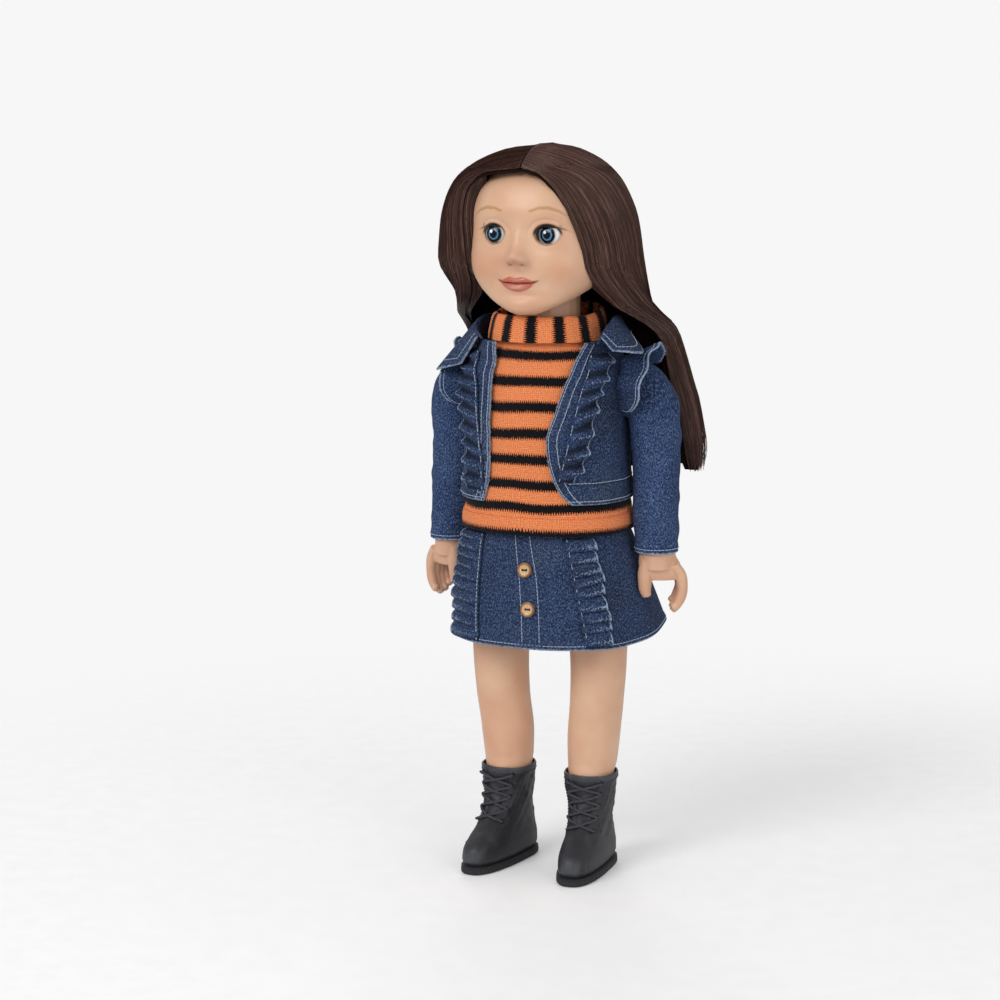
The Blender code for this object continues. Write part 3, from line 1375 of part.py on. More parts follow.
def build_button(name, seat, outward, material):
    """Two hole button with a raised rim."""
    low = CLOTH_GAP
    profile = [
        (low, 0.9 * BUTTON_RADIUS),
        (low + 0.55 * BUTTON_THICKNESS, BUTTON_RADIUS),
        (low + BUTTON_THICKNESS, 0.86 * BUTTON_RADIUS),
        (low + 0.72 * BUTTON_THICKNESS, 0.68 * BUTTON_RADIUS),
        (low + 0.62 * BUTTON_THICKNESS, 0.2 * BUTTON_RADIUS),
    ]
    button = add(name, turned(profile, seat, outward, ROUND_SIDES), material)
    across = outward.cross(Vector((0, 0, 1))).normalized()
    for word, shift in (("left", 1), ("right", -1)):
        centre = seat + across * shift * 0.26 * BUTTON_RADIUS
        hole = [(-BUTTON_THICKNESS, BUTTON_HOLE_RADIUS), (2 * BUTTON_THICKNESS, BUTTON_HOLE_RADIUS)]
        combine(button, turned(hole, centre, outward, 6), "DIFFERENCE", word + "_hole")


def main():
    """Build the doll from its body outward."""
    for old in list(bpy.data.objects):
        bpy.data.objects.remove(old, do_unlink=True)
    looks = {
        "skin": finish("vinyl_skin", (0.69, 0.42, 0.28), 0.42),
        "hair": finish("dark_brown_hair", (0.035, 0.014, 0.010), 0.45),
        "white": finish("eye_white", (0.86, 0.86, 0.86), 0.12),
        "blue": finish("iris_blue", (0.05, 0.19, 0.40), 0.08),
        "lash": finish("lash_brown", (0.03, 0.015, 0.01), 0.6),
        "steel": finish("steel", (0.55, 0.55, 0.56), 0.35, 1.0),
        "knit": finish("orange_black_knit", (0.80, 0.17, 0.035), 0.95),
        "denim": finish("blue_denim", (0.035, 0.075, 0.165), 0.9),
        "boot": finish("black_boot", (0.028, 0.028, 0.032), 0.5),
        "sole": finish("boot_sole", (0.02, 0.02, 0.022), 0.7),
        "lace": finish("boot_lace", (0.05, 0.05, 0.055), 0.85),
        "button": finish("pale_wood_button", (0.66, 0.42, 0.20), 0.4),
    }
    head_pivot = add_pivot("head_pivot", Vector((0.0, 0.0, HEAD_FLOOR)))
    build_torso(looks["skin"])
    build_head(looks["skin"], head_pivot)
    build_hair(looks["hair"], head_pivot)
    for side, word in ((1, "left"), (-1, "right")):
        eye_pivot = add_pivot(word + "_eye_pivot", eye_centre(side))
        build_eye(side, word, looks, head_pivot, eye_pivot)
        arm_pivot = add_pivot(word + "_arm_pivot", shoulder(side))
        build_arm(side, word, looks, arm_pivot)
        leg_pivot = add_pivot(word + "_leg_pivot", hip(side))
        build_leg(side, word, looks, leg_pivot)
        build_boot(side, word, looks, leg_pivot)
    build_sweater(looks)
    build_jacket(looks)
    build_shoulder_ruffles(looks)
    build_skirt(looks)


if __name__ == "__main__":
    main()
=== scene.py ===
"""Dressed 18 inch fashion doll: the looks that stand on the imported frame.

Every piece is built in metres in the frame's own place: the doll faces -Y,
its left hand is on +X and its soles stand on z = 0. Share tables repeat the
forms of the CAD solids, so each finer piece fills the place of the solid that
it stands for.
"""

from __future__ import annotations

import logging
import math
from dataclasses import dataclass, field
from enum import Enum
from functools import partial
from typing import Any, Callable, Sequence

import bmesh
import bpy
import numpy as np
from mathutils import Matrix, Vector

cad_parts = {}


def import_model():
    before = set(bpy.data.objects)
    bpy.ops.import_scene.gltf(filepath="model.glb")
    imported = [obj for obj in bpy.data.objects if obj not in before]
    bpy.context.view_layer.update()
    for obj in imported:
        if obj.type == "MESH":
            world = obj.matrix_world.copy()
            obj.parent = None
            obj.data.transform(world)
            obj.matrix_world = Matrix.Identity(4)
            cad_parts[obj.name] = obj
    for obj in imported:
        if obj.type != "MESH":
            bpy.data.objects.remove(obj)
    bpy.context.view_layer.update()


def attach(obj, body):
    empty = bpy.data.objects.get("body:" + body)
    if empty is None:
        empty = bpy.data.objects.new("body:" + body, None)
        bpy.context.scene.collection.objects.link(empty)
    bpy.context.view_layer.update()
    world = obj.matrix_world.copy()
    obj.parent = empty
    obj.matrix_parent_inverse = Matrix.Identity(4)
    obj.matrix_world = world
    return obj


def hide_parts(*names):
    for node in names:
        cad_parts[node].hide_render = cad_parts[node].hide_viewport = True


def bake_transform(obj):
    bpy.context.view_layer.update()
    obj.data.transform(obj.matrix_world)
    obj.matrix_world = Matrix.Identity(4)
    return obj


LOG = logging.getLogger("doll")
MM = 0.001
TAU = 2.0 * math.pi
Array = np.ndarray
Shares = Sequence[Sequence[float]]


class Side(Enum):
    """The doll's two sides, by the sign of x."""

    LEFT = 1
    RIGHT = -1

    @property
    def word(self) -> str:
        """Word that the frame's names use for this side."""
        return self.name.lower()


class Hold(Enum):
    GATHERED = "gathered"
    HUNG = "hung"
    STRETCHED = "stretched"
    FOLDED = "folded"
    DRAPED = "draped"


def to_linear(code: str) -> tuple[float, float, float, float]:
    """Turn an sRGB hex colour into a linear one.

    Args:
        code: Six hex digits after a hash.

    Returns:
        Linear red, green, blue and a full alpha.
    """
    parts = [int(code[i : i + 2], 16) / 255.0 for i in (1, 3, 5)]
    lin = [c / 12.92 if c <= 0.04045 else ((c + 0.055) / 1.055) ** 2.4 for c in parts]
    return (lin[0], lin[1], lin[2], 1.0)


def add_node(
    tree: bpy.types.NodeTree,
    kind: str,
    inputs: dict[int | str, Any] | None = None,
    out: int | str = 0,
    stops: Sequence[tuple[float, str]] = (),
    **settings: Any,
) -> Any:
    """Add a shader node with its settings and links.

    Args:
        tree: Node tree that the node joins.
        kind: Blender's name for the kind of node, without its first word.
        inputs: By name or number, a constant for an input or the socket that feeds it.
        out: Name or number of the output socket to hand back.
        stops: Places and sRGB hex colours of a colour ramp.
        **settings: The node's own properties.

    Returns:
        The chosen output socket, or None where the node has no outputs.
    """
    node = tree.nodes.new("ShaderNode" + kind)
    for name, value in settings.items():
        setattr(node, name, value)
    for socket, value in (inputs or {}).items():
        if isinstance(value, bpy.types.NodeSocket):
            tree.links.new(value, node.inputs[socket])
        else:
            node.inputs[socket].default_value = value
    if stops:
        ramp = node.color_ramp.elements
        while len(ramp) < len(stops):
            ramp.new(0.5)
        for element, (place, code) in zip(ramp, stops):
            element.position = place
            element.color = to_linear(code)
    return node.outputs[out] if node.outputs else None


def unit(way: Any) -> Array:
    """Directions of length 1, last axis x, y, z."""
    return way / np.maximum(np.linalg.norm(way, axis=-1, keepdims=True), 1e-12)


def full_turn(count: int) -> Array:
    """Even angles round a full turn."""
    return TAU * np.arange(count) / count


def joined(*columns: Any) -> Array:
    """Points whose coordinates are given one by one, as numbers or arrays."""
    return np.stack(np.broadcast_arrays(*columns), -1)


def bell(value: Array, middle: float, width: float) -> Array:
    """Smooth bump of height 1 round a middle value."""
    return np.exp(-(((value - middle) / width) ** 2))


def run_along(line: Array) -> Array:
    """Length along a line of points, at each of them."""
    return np.concatenate([[0.0], np.cumsum(np.linalg.norm(np.diff(line, axis=0), axis=-1))])


def one_shape(*values: Any) -> Sequence[Array]:
    """Numbers or arrays of numbers, spread to one shape."""
    return np.broadcast_arrays(*(np.asarray(value, float) for value in values))


def read_shares(table: Shares, place: Any) -> Array:
    """Read a table of shares along a smooth curve without overshoot.

    Args:
        table: Rows of a place and the values there.
        place: One place or an array of places.

    Returns:
        One column of values for each place, first axis over the values.
    """
    rows = np.asarray(table, float)
    if rows[0, 0] > rows[-1, 0]:
        rows = rows[::-1]
    knots, values = rows[:, 0], rows[:, 1:]
    slopes = np.diff(values, axis=0) / np.diff(knots)[:, None]
    tangents = np.zeros_like(values)
    tangents[0], tangents[-1] = slopes[0], slopes[-1]
    before, after = slopes[:-1], slopes[1:]
    same = before * after > 0
    inner = np.zeros_like(before)
    inner[same] = (2.0 * before * after)[same] / (before + after)[same]
    tangents[1:-1] = inner
    at = np.clip(np.asarray(place, float), knots[0], knots[-1])
    i = np.clip(np.searchsorted(knots, at) - 1, 0, len(knots) - 2)
    step = (knots[i + 1] - knots[i])[..., None]
    t = (at - knots[i])[..., None] / step
    read = (2 * t**3 - 3 * t**2 + 1) * values[i] + (t**3 - 2 * t**2 + t) * step * tangents[i]
    read += (3 * t**2 - 2 * t**3) * values[i + 1] + (t**3 - t**2) * step * tangents[i + 1]
    return np.moveaxis(read, -1, 0)


def oval(angle: Any, left: Any, right: Any, front: Any, back: Any, power: Any) -> tuple[Array, Array]:
    """Points of an oval whose four reaches differ, seen from above.

    Args:
        angle: Angles from the front toward +X.
        left: Reach toward -X.
        right: Reach toward +X.
        front: Reach toward -Y.
        back: Reach toward +Y.
        power: Squareness, 2 for an ellipse.

    Returns:
        The x and y of each point.
    """
    s, c = np.sin(angle), np.cos(angle)
    x = np.where(s > 0, right, left) * np.sign(s) * np.abs(s) ** (2.0 / power)
    y = -np.where(c > 0, front, back) * np.sign(c) * np.abs(c) ** (2.0 / power)
    return x, y


def smooth_step(low: float, high: float, value: Any) -> Array:
    """Rise from 0 at low to 1 at high without a corner."""
    t = np.clip((np.asarray(value, float) - low) / (high - low), 0.0, 1.0)
    return t * t * (3.0 - 2.0 * t)


def ripple(seed: int, point: Array, size: float, octaves: int = 2) -> Array:
    """Smooth seeded unevenness made of a few plane waves.

    Args:
        seed: Seed of the waves' directions and phases.
        point: Points, last axis x, y, z.
        size: Length of the coarsest wave in metres.
        octaves: How many finer sets of waves follow.

    Returns:
        A value near -1 to 1 for each point.
    """
    rng = np.random.default_rng(seed)
    total = np.zeros(point.shape[:-1])
    for octave in range(octaves):
        for _ in range(5):
            way = rng.normal(size=3)
            way *= TAU / (size * 0.5**octave) / np.linalg.norm(way)
            total += 0.5**octave * np.sin(point @ way + rng.uniform(0, TAU)) / 2.2
    return total


def grid_normals(grid: Array, wrap: bool) -> Array:
    """Unit normals of a grid of points, rows by columns."""
    along = np.gradient(grid, axis=0)
    if wrap:
        across = (np.roll(grid, -1, axis=1) - np.roll(grid, 1, axis=1)) / 2.0
    else:
        across = np.gradient(grid, axis=1)
    normal = np.cross(across, along)
    return unit(normal)


def grid_faces(rows: int, cols: int, wrap: bool, close: bool = False) -> Array:
    """Four-sided faces of a grid, wrapped round its columns or rows."""
    i = np.arange(rows if close else rows - 1)[:, None]
    j = np.arange(cols if wrap else cols - 1)[None, :]
    n, k = (i + 1) % rows, (j + 1) % cols
    return np.stack([i * cols + j, i * cols + k, n * cols + k, n * cols + j], -1).reshape(-1, 4)


def run_lengths(grid: Array) -> Array:
    """Cloth coordinates of a grid: metres across and along the weave."""
    across = np.linalg.norm(np.diff(grid, axis=1), axis=-1).mean(axis=0)
    along = np.linalg.norm(np.diff(grid, axis=0), axis=-1).mean(axis=1)
    u = np.concatenate([[0.0], np.cumsum(across)])
    v = np.concatenate([[0.0], np.cumsum(along)])
    return joined(u[None, :], v[:, None], 0.0)


@dataclass
class Shell:
    """A mesh under construction: points, faces and values at its points."""

    points: list[Array] = field(default_factory=list)
    faces: list[Sequence[int]] = field(default_factory=list)
    values: dict[str, list[Array]] = field(default_factory=dict)
    count: int = 0

    def add(self, points: Array, faces: Any, **values: Array) -> Shell:
        """Add points and faces, with one value a point for each name.

        Args:
            points: Points, last axis x, y, z.
            faces: Rows of point numbers, counted from these points' first.
            **values: Numbers or vectors at the points.

        Returns:
            The shell itself, so that calls can follow each other.
        """
        flat = np.asarray(points, float).reshape(-1, 3)
        for face in faces:
            self.faces.append([int(v) + self.count for v in face])
        for name in set(values) | set(self.values):
            rows = self.values.setdefault(name, [])
            known = values.get(name)
            width = np.shape(known)[-1] if known is not None and np.size(known) == flat.size else 1
            if known is None:
                width = rows[0].shape[-1] if rows else 1
                known = np.zeros((len(flat), width))
            if not rows and self.count:
                rows.append(np.zeros((self.count, width)))
            rows.append(np.asarray(known, float).reshape(len(flat), width))
        self.points.append(flat)
        self.count += len(flat)
        return self

    def add_rings(self, rings: Array, **values: Array) -> Shell:
        """Add a stack of rings closed by a cap at each end."""
        rows, cols = rings.shape[:2]
        faces = grid_faces(rows, cols, True).tolist()
        faces.append(list(range(cols))[::-1])
        faces.append([(rows - 1) * cols + j for j in range(cols)])
        return self.add(rings, faces, **values)

    def add_cloth(self, grid: Array, thickness: float, wrap: bool, **values: Array) -> Shell:
        """Add a panel of cloth with rounded rims round a grid of points.

        Args:
            grid: Points in the middle of the cloth, rows by columns.
            thickness: The cloth's thickness in metres.
            wrap: Whether the last column joins the first.
            **values: Values at the grid's points, beside the cloth place.

        Returns:
            The shell itself.
        """
        rows, cols = grid.shape[:2]
        normal = grid_normals(grid, wrap) * thickness / 2.0
        tip = grid[-1] + self._outward(grid[-1], grid[-2], thickness)
        tail = grid[0] + self._outward(grid[0], grid[1], thickness)
        loop = np.concatenate([grid + normal, tip[None], (grid - normal)[::-1], tail[None]])
        spread = {"cloth": run_lengths(grid), **values}
        looped = {}
        for name, value in spread.items():
            whole = np.asarray(value, float).reshape(rows, cols, -1)
            looped[name] = np.concatenate([whole, whole[-1:], whole[::-1], whole[:1]])
        faces = grid_faces(len(loop), cols, wrap, close=True).tolist()
        if not wrap:
            faces += self._side_caps(rows, cols)
        return self.add(loop, faces, **looped)

    @staticmethod
    def _outward(rim: Array, beside: Array, thickness: float) -> Array:
        """Step from a rim away from the cloth, for a rounded edge."""
        return unit(rim - beside) * thickness * 0.4

    @staticmethod
    def _side_caps(rows: int, cols: int) -> list[list[int]]:
        """Faces that close the two ends of an open panel."""
        total = 2 * rows + 2
        caps = []
        for j, turn in ((0, 1), (cols - 1, -1)):
            for i in range(rows - 1):
                far = 2 * rows - i
                caps.append([v * cols + j for v in (i, i + 1, far - 1, far)][::turn])
            caps.append([v * cols + j for v in (rows - 1, rows, rows + 1)][::turn])
            caps.append([v * cols + j for v in (0, 2 * rows, total - 1)][::turn])
        return caps

    def add_tubes(self, paths: Array, radii: Any, sides: int, up: Any = (0.31, 0.52, 0.79), **values: Array) -> None:
        """Add round tubes along many paths at once.

        Args:
            paths: Points, first axis over the tubes and second along them.
            radii: Radius at each point, or a shape that spreads to that.
            sides: Facets round each tube.
            up: A direction that none of the tubes runs along.
            **values: One number for each point of the paths.
        """
        number, steps = paths.shape[:2]
        way = unit(np.gradient(paths, axis=1))
        side = unit(np.cross(way, np.asarray(up, float)))
        other = np.cross(side, way)
        turn = full_turn(sides)
        reach = np.broadcast_to(np.asarray(radii, float), (number, steps))[..., None, None]
        ring = side[:, :, None] * np.cos(turn)[:, None] + other[:, :, None] * np.sin(turn)[:, None]
        points = paths[:, :, None] + ring * reach
        one = grid_faces(steps, sides, True)
        hops = np.arange(number)[:, None, None] * steps * sides
        faces = (one[None] + hops).reshape(-1, 4).tolist()
        for n in range(number):
            start = n * steps * sides
            faces.append([start + k for k in range(sides)][::-1])
            faces.append([start + (steps - 1) * sides + k for k in range(sides)])
        spread = {}
        for name, value in values.items():
            whole = np.asarray(value, float)
            whole = np.broadcast_to(whole, (number, steps) + whole.shape[2:])
            spread[name] = np.repeat(whole[:, :, None], sides, axis=2)
        self.add(points, faces, **spread)

    def build(self, name: str, finish: bpy.types.Material | None, sharp: float = 38.0) -> bpy.types.Object:
        """Make the object of this shell.

        Args:
            name: Name of the piece.
            finish: Its material.
            sharp: Angle in degrees from which an edge stays crisp.

        Returns:
            The new object, linked to the scene.
        """
        mesh = bpy.data.meshes.new(name)
        mesh.from_pydata(np.concatenate(self.points).tolist(), [], self.faces)
        for word, rows in self.values.items():
            whole = np.concatenate(rows)
            vector = whole.shape[-1] == 3
            layer = mesh.attributes.new(word, "FLOAT_VECTOR" if vector else "FLOAT", "POINT")
            layer.data.foreach_set("vector" if vector else "value", whole.astype(np.float32).ravel())
        tidy = bmesh.new()
        tidy.from_mesh(mesh)
        bmesh.ops.recalc_face_normals(tidy, faces=tidy.faces)
        tidy.to_mesh(mesh)
        tidy.free()
        return place_mesh(name, mesh, finish, sharp)


def place_mesh(
    name: str, mesh: bpy.types.Mesh, finish: bpy.types.Material | None, sharp: float = 38.0
) -> bpy.types.Object:
    """Link a mesh as an object with smooth shading and its material."""
    mesh.shade_smooth()
    mesh.set_sharp_from_angle(angle=math.radians(sharp))
    if finish is not None:
        mesh.materials.append(finish)
    piece = bpy.data.objects.new(name, mesh)
    bpy.context.scene.collection.objects.link(piece)
    return piece


def apply_step(piece: bpy.types.Object, kind: str, **settings: Any) -> None:
    """Add a modifier with its settings and keep its result in the mesh."""
    step = piece.modifiers.new(kind.lower(), kind)
    for name, value in settings.items():
        setattr(step, name, value)
    view = bpy.context.evaluated_depsgraph_get()
    mesh = bpy.data.meshes.new_from_object(piece.evaluated_get(view))
    piece.modifiers.clear()
    old, piece.data = piece.data, mesh
    bpy.data.meshes.remove(old)


def carve(piece: bpy.types.Object, cutters: Sequence[Shell], operation: str = "DIFFERENCE") -> None:
    """Cut shells from a piece, or join them on."""
    for shell in cutters:
        tool = shell.build("cutter", None)
        apply_step(piece, "BOOLEAN", operation=operation, solver="EXACT", object=tool)
        bpy.data.objects.remove(tool, do_unlink=True)


def mesh_points(piece: bpy.types.Object) -> Array:
    """Points of a piece's mesh."""
    read = np.empty(len(piece.data.vertices) * 3, np.float32)
    piece.data.vertices.foreach_get("co", read)
    return read.reshape(-1, 3).astype(float)


def write_mask(piece: bpy.types.Object, name: str, value: Array) -> None:
    """Write one number for each point of a piece, for its material."""
    layer = piece.data.attributes.get(name) or piece.data.attributes.new(name, "FLOAT", "POINT")
    layer.data.foreach_set("value", np.asarray(value, np.float32).ravel())


def turned(profile: Sequence[tuple[float, float]], seat: Array, way: Array, sides: int) -> Array:
    """Rings of a profile of (along, radius) pairs turned about a line.

    Args:
        profile: Places along the line and the radius at each, in metres.
        seat: Point that the profile starts from.
        way: Direction of the line.
        sides: Points round each ring.

    Returns:
        Rings of points, ready to be closed at both ends.
    """
    way = np.asarray(way, float) / np.linalg.norm(way)
    side = np.asarray(Vector(way).orthogonal().normalized())
    other = np.cross(way, side)
    turn = full_turn(sides)[:, None]
    rings = [
        np.asarray(seat, float) + way * along + (side * np.cos(turn) + other * np.sin(turn)) * radius
        for along, radius in profile
    ]
    return np.stack(rings)


def resample(path: Array, pitch: float) -> tuple[Array, Array]:
    """Read a line of points at even steps.

    Args:
        path: Points along the line, with any further columns.
        pitch: Step in metres.

    Returns:
        The length along the line at each step, and the rows there.
    """
    run = run_along(path[:, :3])
    places = np.arange(pitch / 2, run[-1], pitch)
    return places, np.stack([np.interp(places, run, path[:, k]) for k in range(path.shape[1])], -1)


@dataclass(frozen=True)
class Thread:
    """Topstitching: stitches of thick thread that dip into the cloth."""

    pitch: float = 2.4 * MM
    length: float = 2.1 * MM
    radius: float = 0.23 * MM

    def sew(self, shell: Shell, path: Array, normal: Array) -> None:
        """Add a row of stitches along a line on the cloth.

        Args:
            shell: Mesh that takes the stitches.
            path: Points of the line on the cloth's face.
            normal: The face's outward direction at each point.
        """
        whole = np.concatenate([path, normal], axis=1)
        run = run_along(path)
        centres = np.arange(self.pitch / 2, run[-1], self.pitch)
        if not len(centres):
            return
        t = np.linspace(-1.0, 1.0, 6)
        places = np.clip(centres[:, None] + t * self.length / 2, 0.0, run[-1])
        read = np.stack([np.interp(places, run, whole[:, k]) for k in range(6)], -1)
        lift = self.radius * (0.75 - 1.6 * np.abs(t) ** 4)
        shell.add_tubes(
            read[..., :3] + read[..., 3:] * lift[:, None], self.radius * (1.0 - 0.35 * t**4), 6, up=(0.2, 0.9, 0.37)
        )


@dataclass(frozen=True)
class Finish:
    """What all finishes share: a named material with one main shader."""

    name: str

    def start(self, roughness: float, ior: float = 1.5, **constants: Any) -> tuple[Any, Callable[..., Any], Any]:
        """Open the material.

        Args:
            roughness: Roughness of the surface.
            ior: Index of refraction.
            **constants: Other constants of the shader, spaces written as _.

        Returns:
            The material, add_node for its node tree, and its shader.
        """
        material = bpy.data.materials.new(self.name)
        material.use_nodes = True
        shader = material.node_tree.nodes["Principled BSDF"]
        for word, value in {"Roughness": roughness, "IOR": ior, **constants}.items():
            shader.inputs[word.replace("_", " ")].default_value = value
        return material, partial(add_node, material.node_tree), shader

    @staticmethod
    def join(shader: bpy.types.Node, **sources: bpy.types.NodeSocket) -> None:
        """Feed inputs of the shader, their spaces written as _."""
        for word, source in sources.items():
            shader.id_data.links.new(source, shader.inputs[word.replace("_", " ")])


@dataclass(frozen=True)
class MouldedVinyl(Finish):
    """Rotocast soft PVC with a spark-eroded mould face: satin, with light in it."""

    colour: str = "#E3B897"
    flushed: str = "#D9A283"
    lips: str = "#BF5F4E"
    # Pale colour of the painted highlight across the lower lip
    painted_lip_highlight: str = "#E8AC98"
    blush: str = "#E08F6E"
    brow: str = "#B4864A"
    # Dark of the eye and mouth lines, also used as painted shade in the nostrils
    liner_and_nostril_shade: str = "#2C1814"

    def build(self) -> bpy.types.Material:
        """Skin with the face paint, a painted lip highlight and painted nostril shade, where a piece carries its masks.
        """
        glow = {"Subsurface_Weight": 0.12, "Subsurface_Radius": (1.0, 0.45, 0.25), "Subsurface_Scale": 3.0 * MM}
        material, node, shader = self.start(0.42, 1.53, **glow)
        place = node("TexCoord", out="Object")
        # Cast skin is evenly tinted, a shade warmer in 25 mm clouds
        cloud = node("TexNoise", {"Scale": 40.0, "Detail": 2.0, "Vector": place})
        tint = node("ValToRGB", {0: cloud}, stops=((0.35, self.colour), (0.8, self.flushed)))
        masks = {word: node("Attribute", out="Fac", attribute_name=word) for word in self.paints()}
        for word, paint in self.paints().items():
            tint = node("Mix", {0: masks[word], 6: tint, 7: to_linear(paint)}, 2, data_type="RGBA")
        # Lip paint is glossier than the bare vinyl
        gloss = node("MapRange", {"To Min": 0.42, "To Max": 0.24, "Value": masks["lips"]})
        # Mould grain of 0.5 mm, drawn coarser than the real 0.1 mm
        grain = node("TexNoise", {"Scale": 2000.0, "Detail": 2.0, "Vector": place})
        relief = node("Bump", {"Strength": 0.12, "Distance": 0.08 * MM, "Height": grain})
        self.join(shader, Base_Color=tint, Roughness=gloss, Normal=relief)
        return material

    def paints(self) -> dict[str, str]:
        """Colour of each mask, in the order laid on: face paint, with a painted highlight on the lip and painted shade
        in the nostrils.
        """
        return {"blush": self.blush, "brow": self.brow, "lips": self.lips, "painted_lip_highlight": self.painted_lip_highlight, "liner_and_nostril_shade": self.liner_and_nostril_shade}


@dataclass(frozen=True)
class RootedFibre(Finish):
    """Rooted nylon doll hair: fine glossy fibres in slightly different browns."""

    dark: str = "#150D0C"
    middle: str = "#3B2622"
    light: str = "#75564E"
    fibre: float = 0.35 * MM
    roughness: float = 0.38
    specular: float = 0.32

    def build(self) -> bpy.types.Material:
        """Brown that changes from lock to lock and along the fibres."""
        gloss = {"Specular_IOR_Level": self.specular, "Specular_Tint": (1.0, 0.72, 0.60, 1.0)}
        material, node, shader = self.start(self.roughness, 1.53, **gloss)
        lock = node("Attribute", out="Fac", attribute_name="lock")
        cloth = node("Attribute", out="Vector", attribute_name="cloth")
        # Fibres are long streaks, so the noise is 40 times finer across than along
        stretch = node("Mapping", {"Scale": (1.0 / self.fibre, 0.025 / self.fibre, 1.0), "Vector": cloth})
        streak = node("TexNoise", {"Scale": 1.0, "Detail": 3.0, "Vector": stretch})
        both = node("Math", {0: lock, 1: 0.5, 2: streak}, operation="MULTIPLY_ADD")
        # The sum passes 1, which is as far as a ramp reads
        half = node("Math", {0: both, 1: 0.85}, operation="MULTIPLY")
        tint = node("ValToRGB", {0: half}, stops=((0.306, self.dark), (0.612, self.middle), (0.935, self.light)))
        relief = node("Bump", {"Strength": 0.5, "Distance": 0.25 * MM, "Height": streak})
        self.join(shader, Base_Color=tint, Normal=relief)
        return material


@dataclass(frozen=True)
class WovenDenim(Finish):
    """Stone-washed indigo twill cotton: fine diagonal ribs, pale where it rubs."""

    deep: str = "#101B36"
    blue: str = "#233A63"
    washed: str = "#3D4A66"
    worn: str = "#9DB0CA"
    weft: str = "#8093B4"
    # Colour of the painted shade in creases and folds
    crease: str = "#080D18"
    twill: float = 0.85 * MM

    def build(self) -> bpy.types.Material:
        """Indigo with slubs, twill ribs, clouds of wash, worn edges and painted shade in the folds."""
        material, node, shader = self.start(0.92, Specular_IOR_Level=0.2)
        cloth = node("Attribute", out="Vector", attribute_name="cloth")
        place = node("TexCoord", out="Object")
        wear, fold = (node("Attribute", out="Fac", attribute_name=word) for word in ("wear", "fold"))
        # Twill ribs of the real 0.4 mm, drawn at 0.85 mm so that they show
        wave = {"Scale": TAU / 10.0 / (self.twill * math.sqrt(2.0)), "Distortion": 1.2, "Detail": 2.0}
        ribs = node("TexWave", {**wave, "Detail Scale": 3.0, "Vector": cloth}, "Fac", bands_direction="DIAGONAL")
        # Warp yarns run up the cloth with slubs 1.3 mm long and 0.7 mm wide
        yarn = node("Mapping", {"Scale": (1500.0, 760.0, 1.0), "Vector": cloth})
        slub = node("TexNoise", {"Scale": 1.0, "Detail": 3.0, "Vector": yarn})
        fleck = node("TexNoise", {"Scale": 900.0, "Detail": 2.0, "Vector": place})
        wash = node("TexNoise", {"Scale": 24.0, "Detail": 3.0, "Vector": place})
        base = node("ValToRGB", {0: wash}, stops=((0.32, self.deep), (0.5, self.blue), (0.68, self.washed)))
        # Rubbed places follow the wear mask, broken up by the flecks
        rub = node("Math", {0: fleck, 1: 1.7, 2: wear}, operation="MULTIPLY_ADD")
        for value, low, high, least, most, colour in (
            (slub, 0.44, 0.70, 0.0, 0.72, self.weft),
            (fleck, 0.38, 0.60, 0.75, 0.0, self.deep),
            (ribs, 0.2, 0.95, 0.32, 0.0, self.deep),
            (rub, 1.18, 1.75, 0.0, 0.85, self.worn),
            # The fold mask paints shade into creases in the crease colour
            (fold, 0.0, 1.0, 0.0, 0.88, self.crease),
        ):
            span = {"From Min": low, "From Max": high, "To Min": least, "To Max": most}
            mask = node("MapRange", {**span, "Value": value})
            base = node("Mix", {0: mask, 6: base, 7: to_linear(colour)}, 2, data_type="RGBA")
        height = node("Math", {0: ribs, 1: 0.6, 2: slub}, operation="MULTIPLY_ADD")
        relief = node("Bump", {"Strength": 0.55, "Distance": 0.22 * MM, "Height": height})
        self.join(shader, Base_Color=base, Normal=relief)
        return material


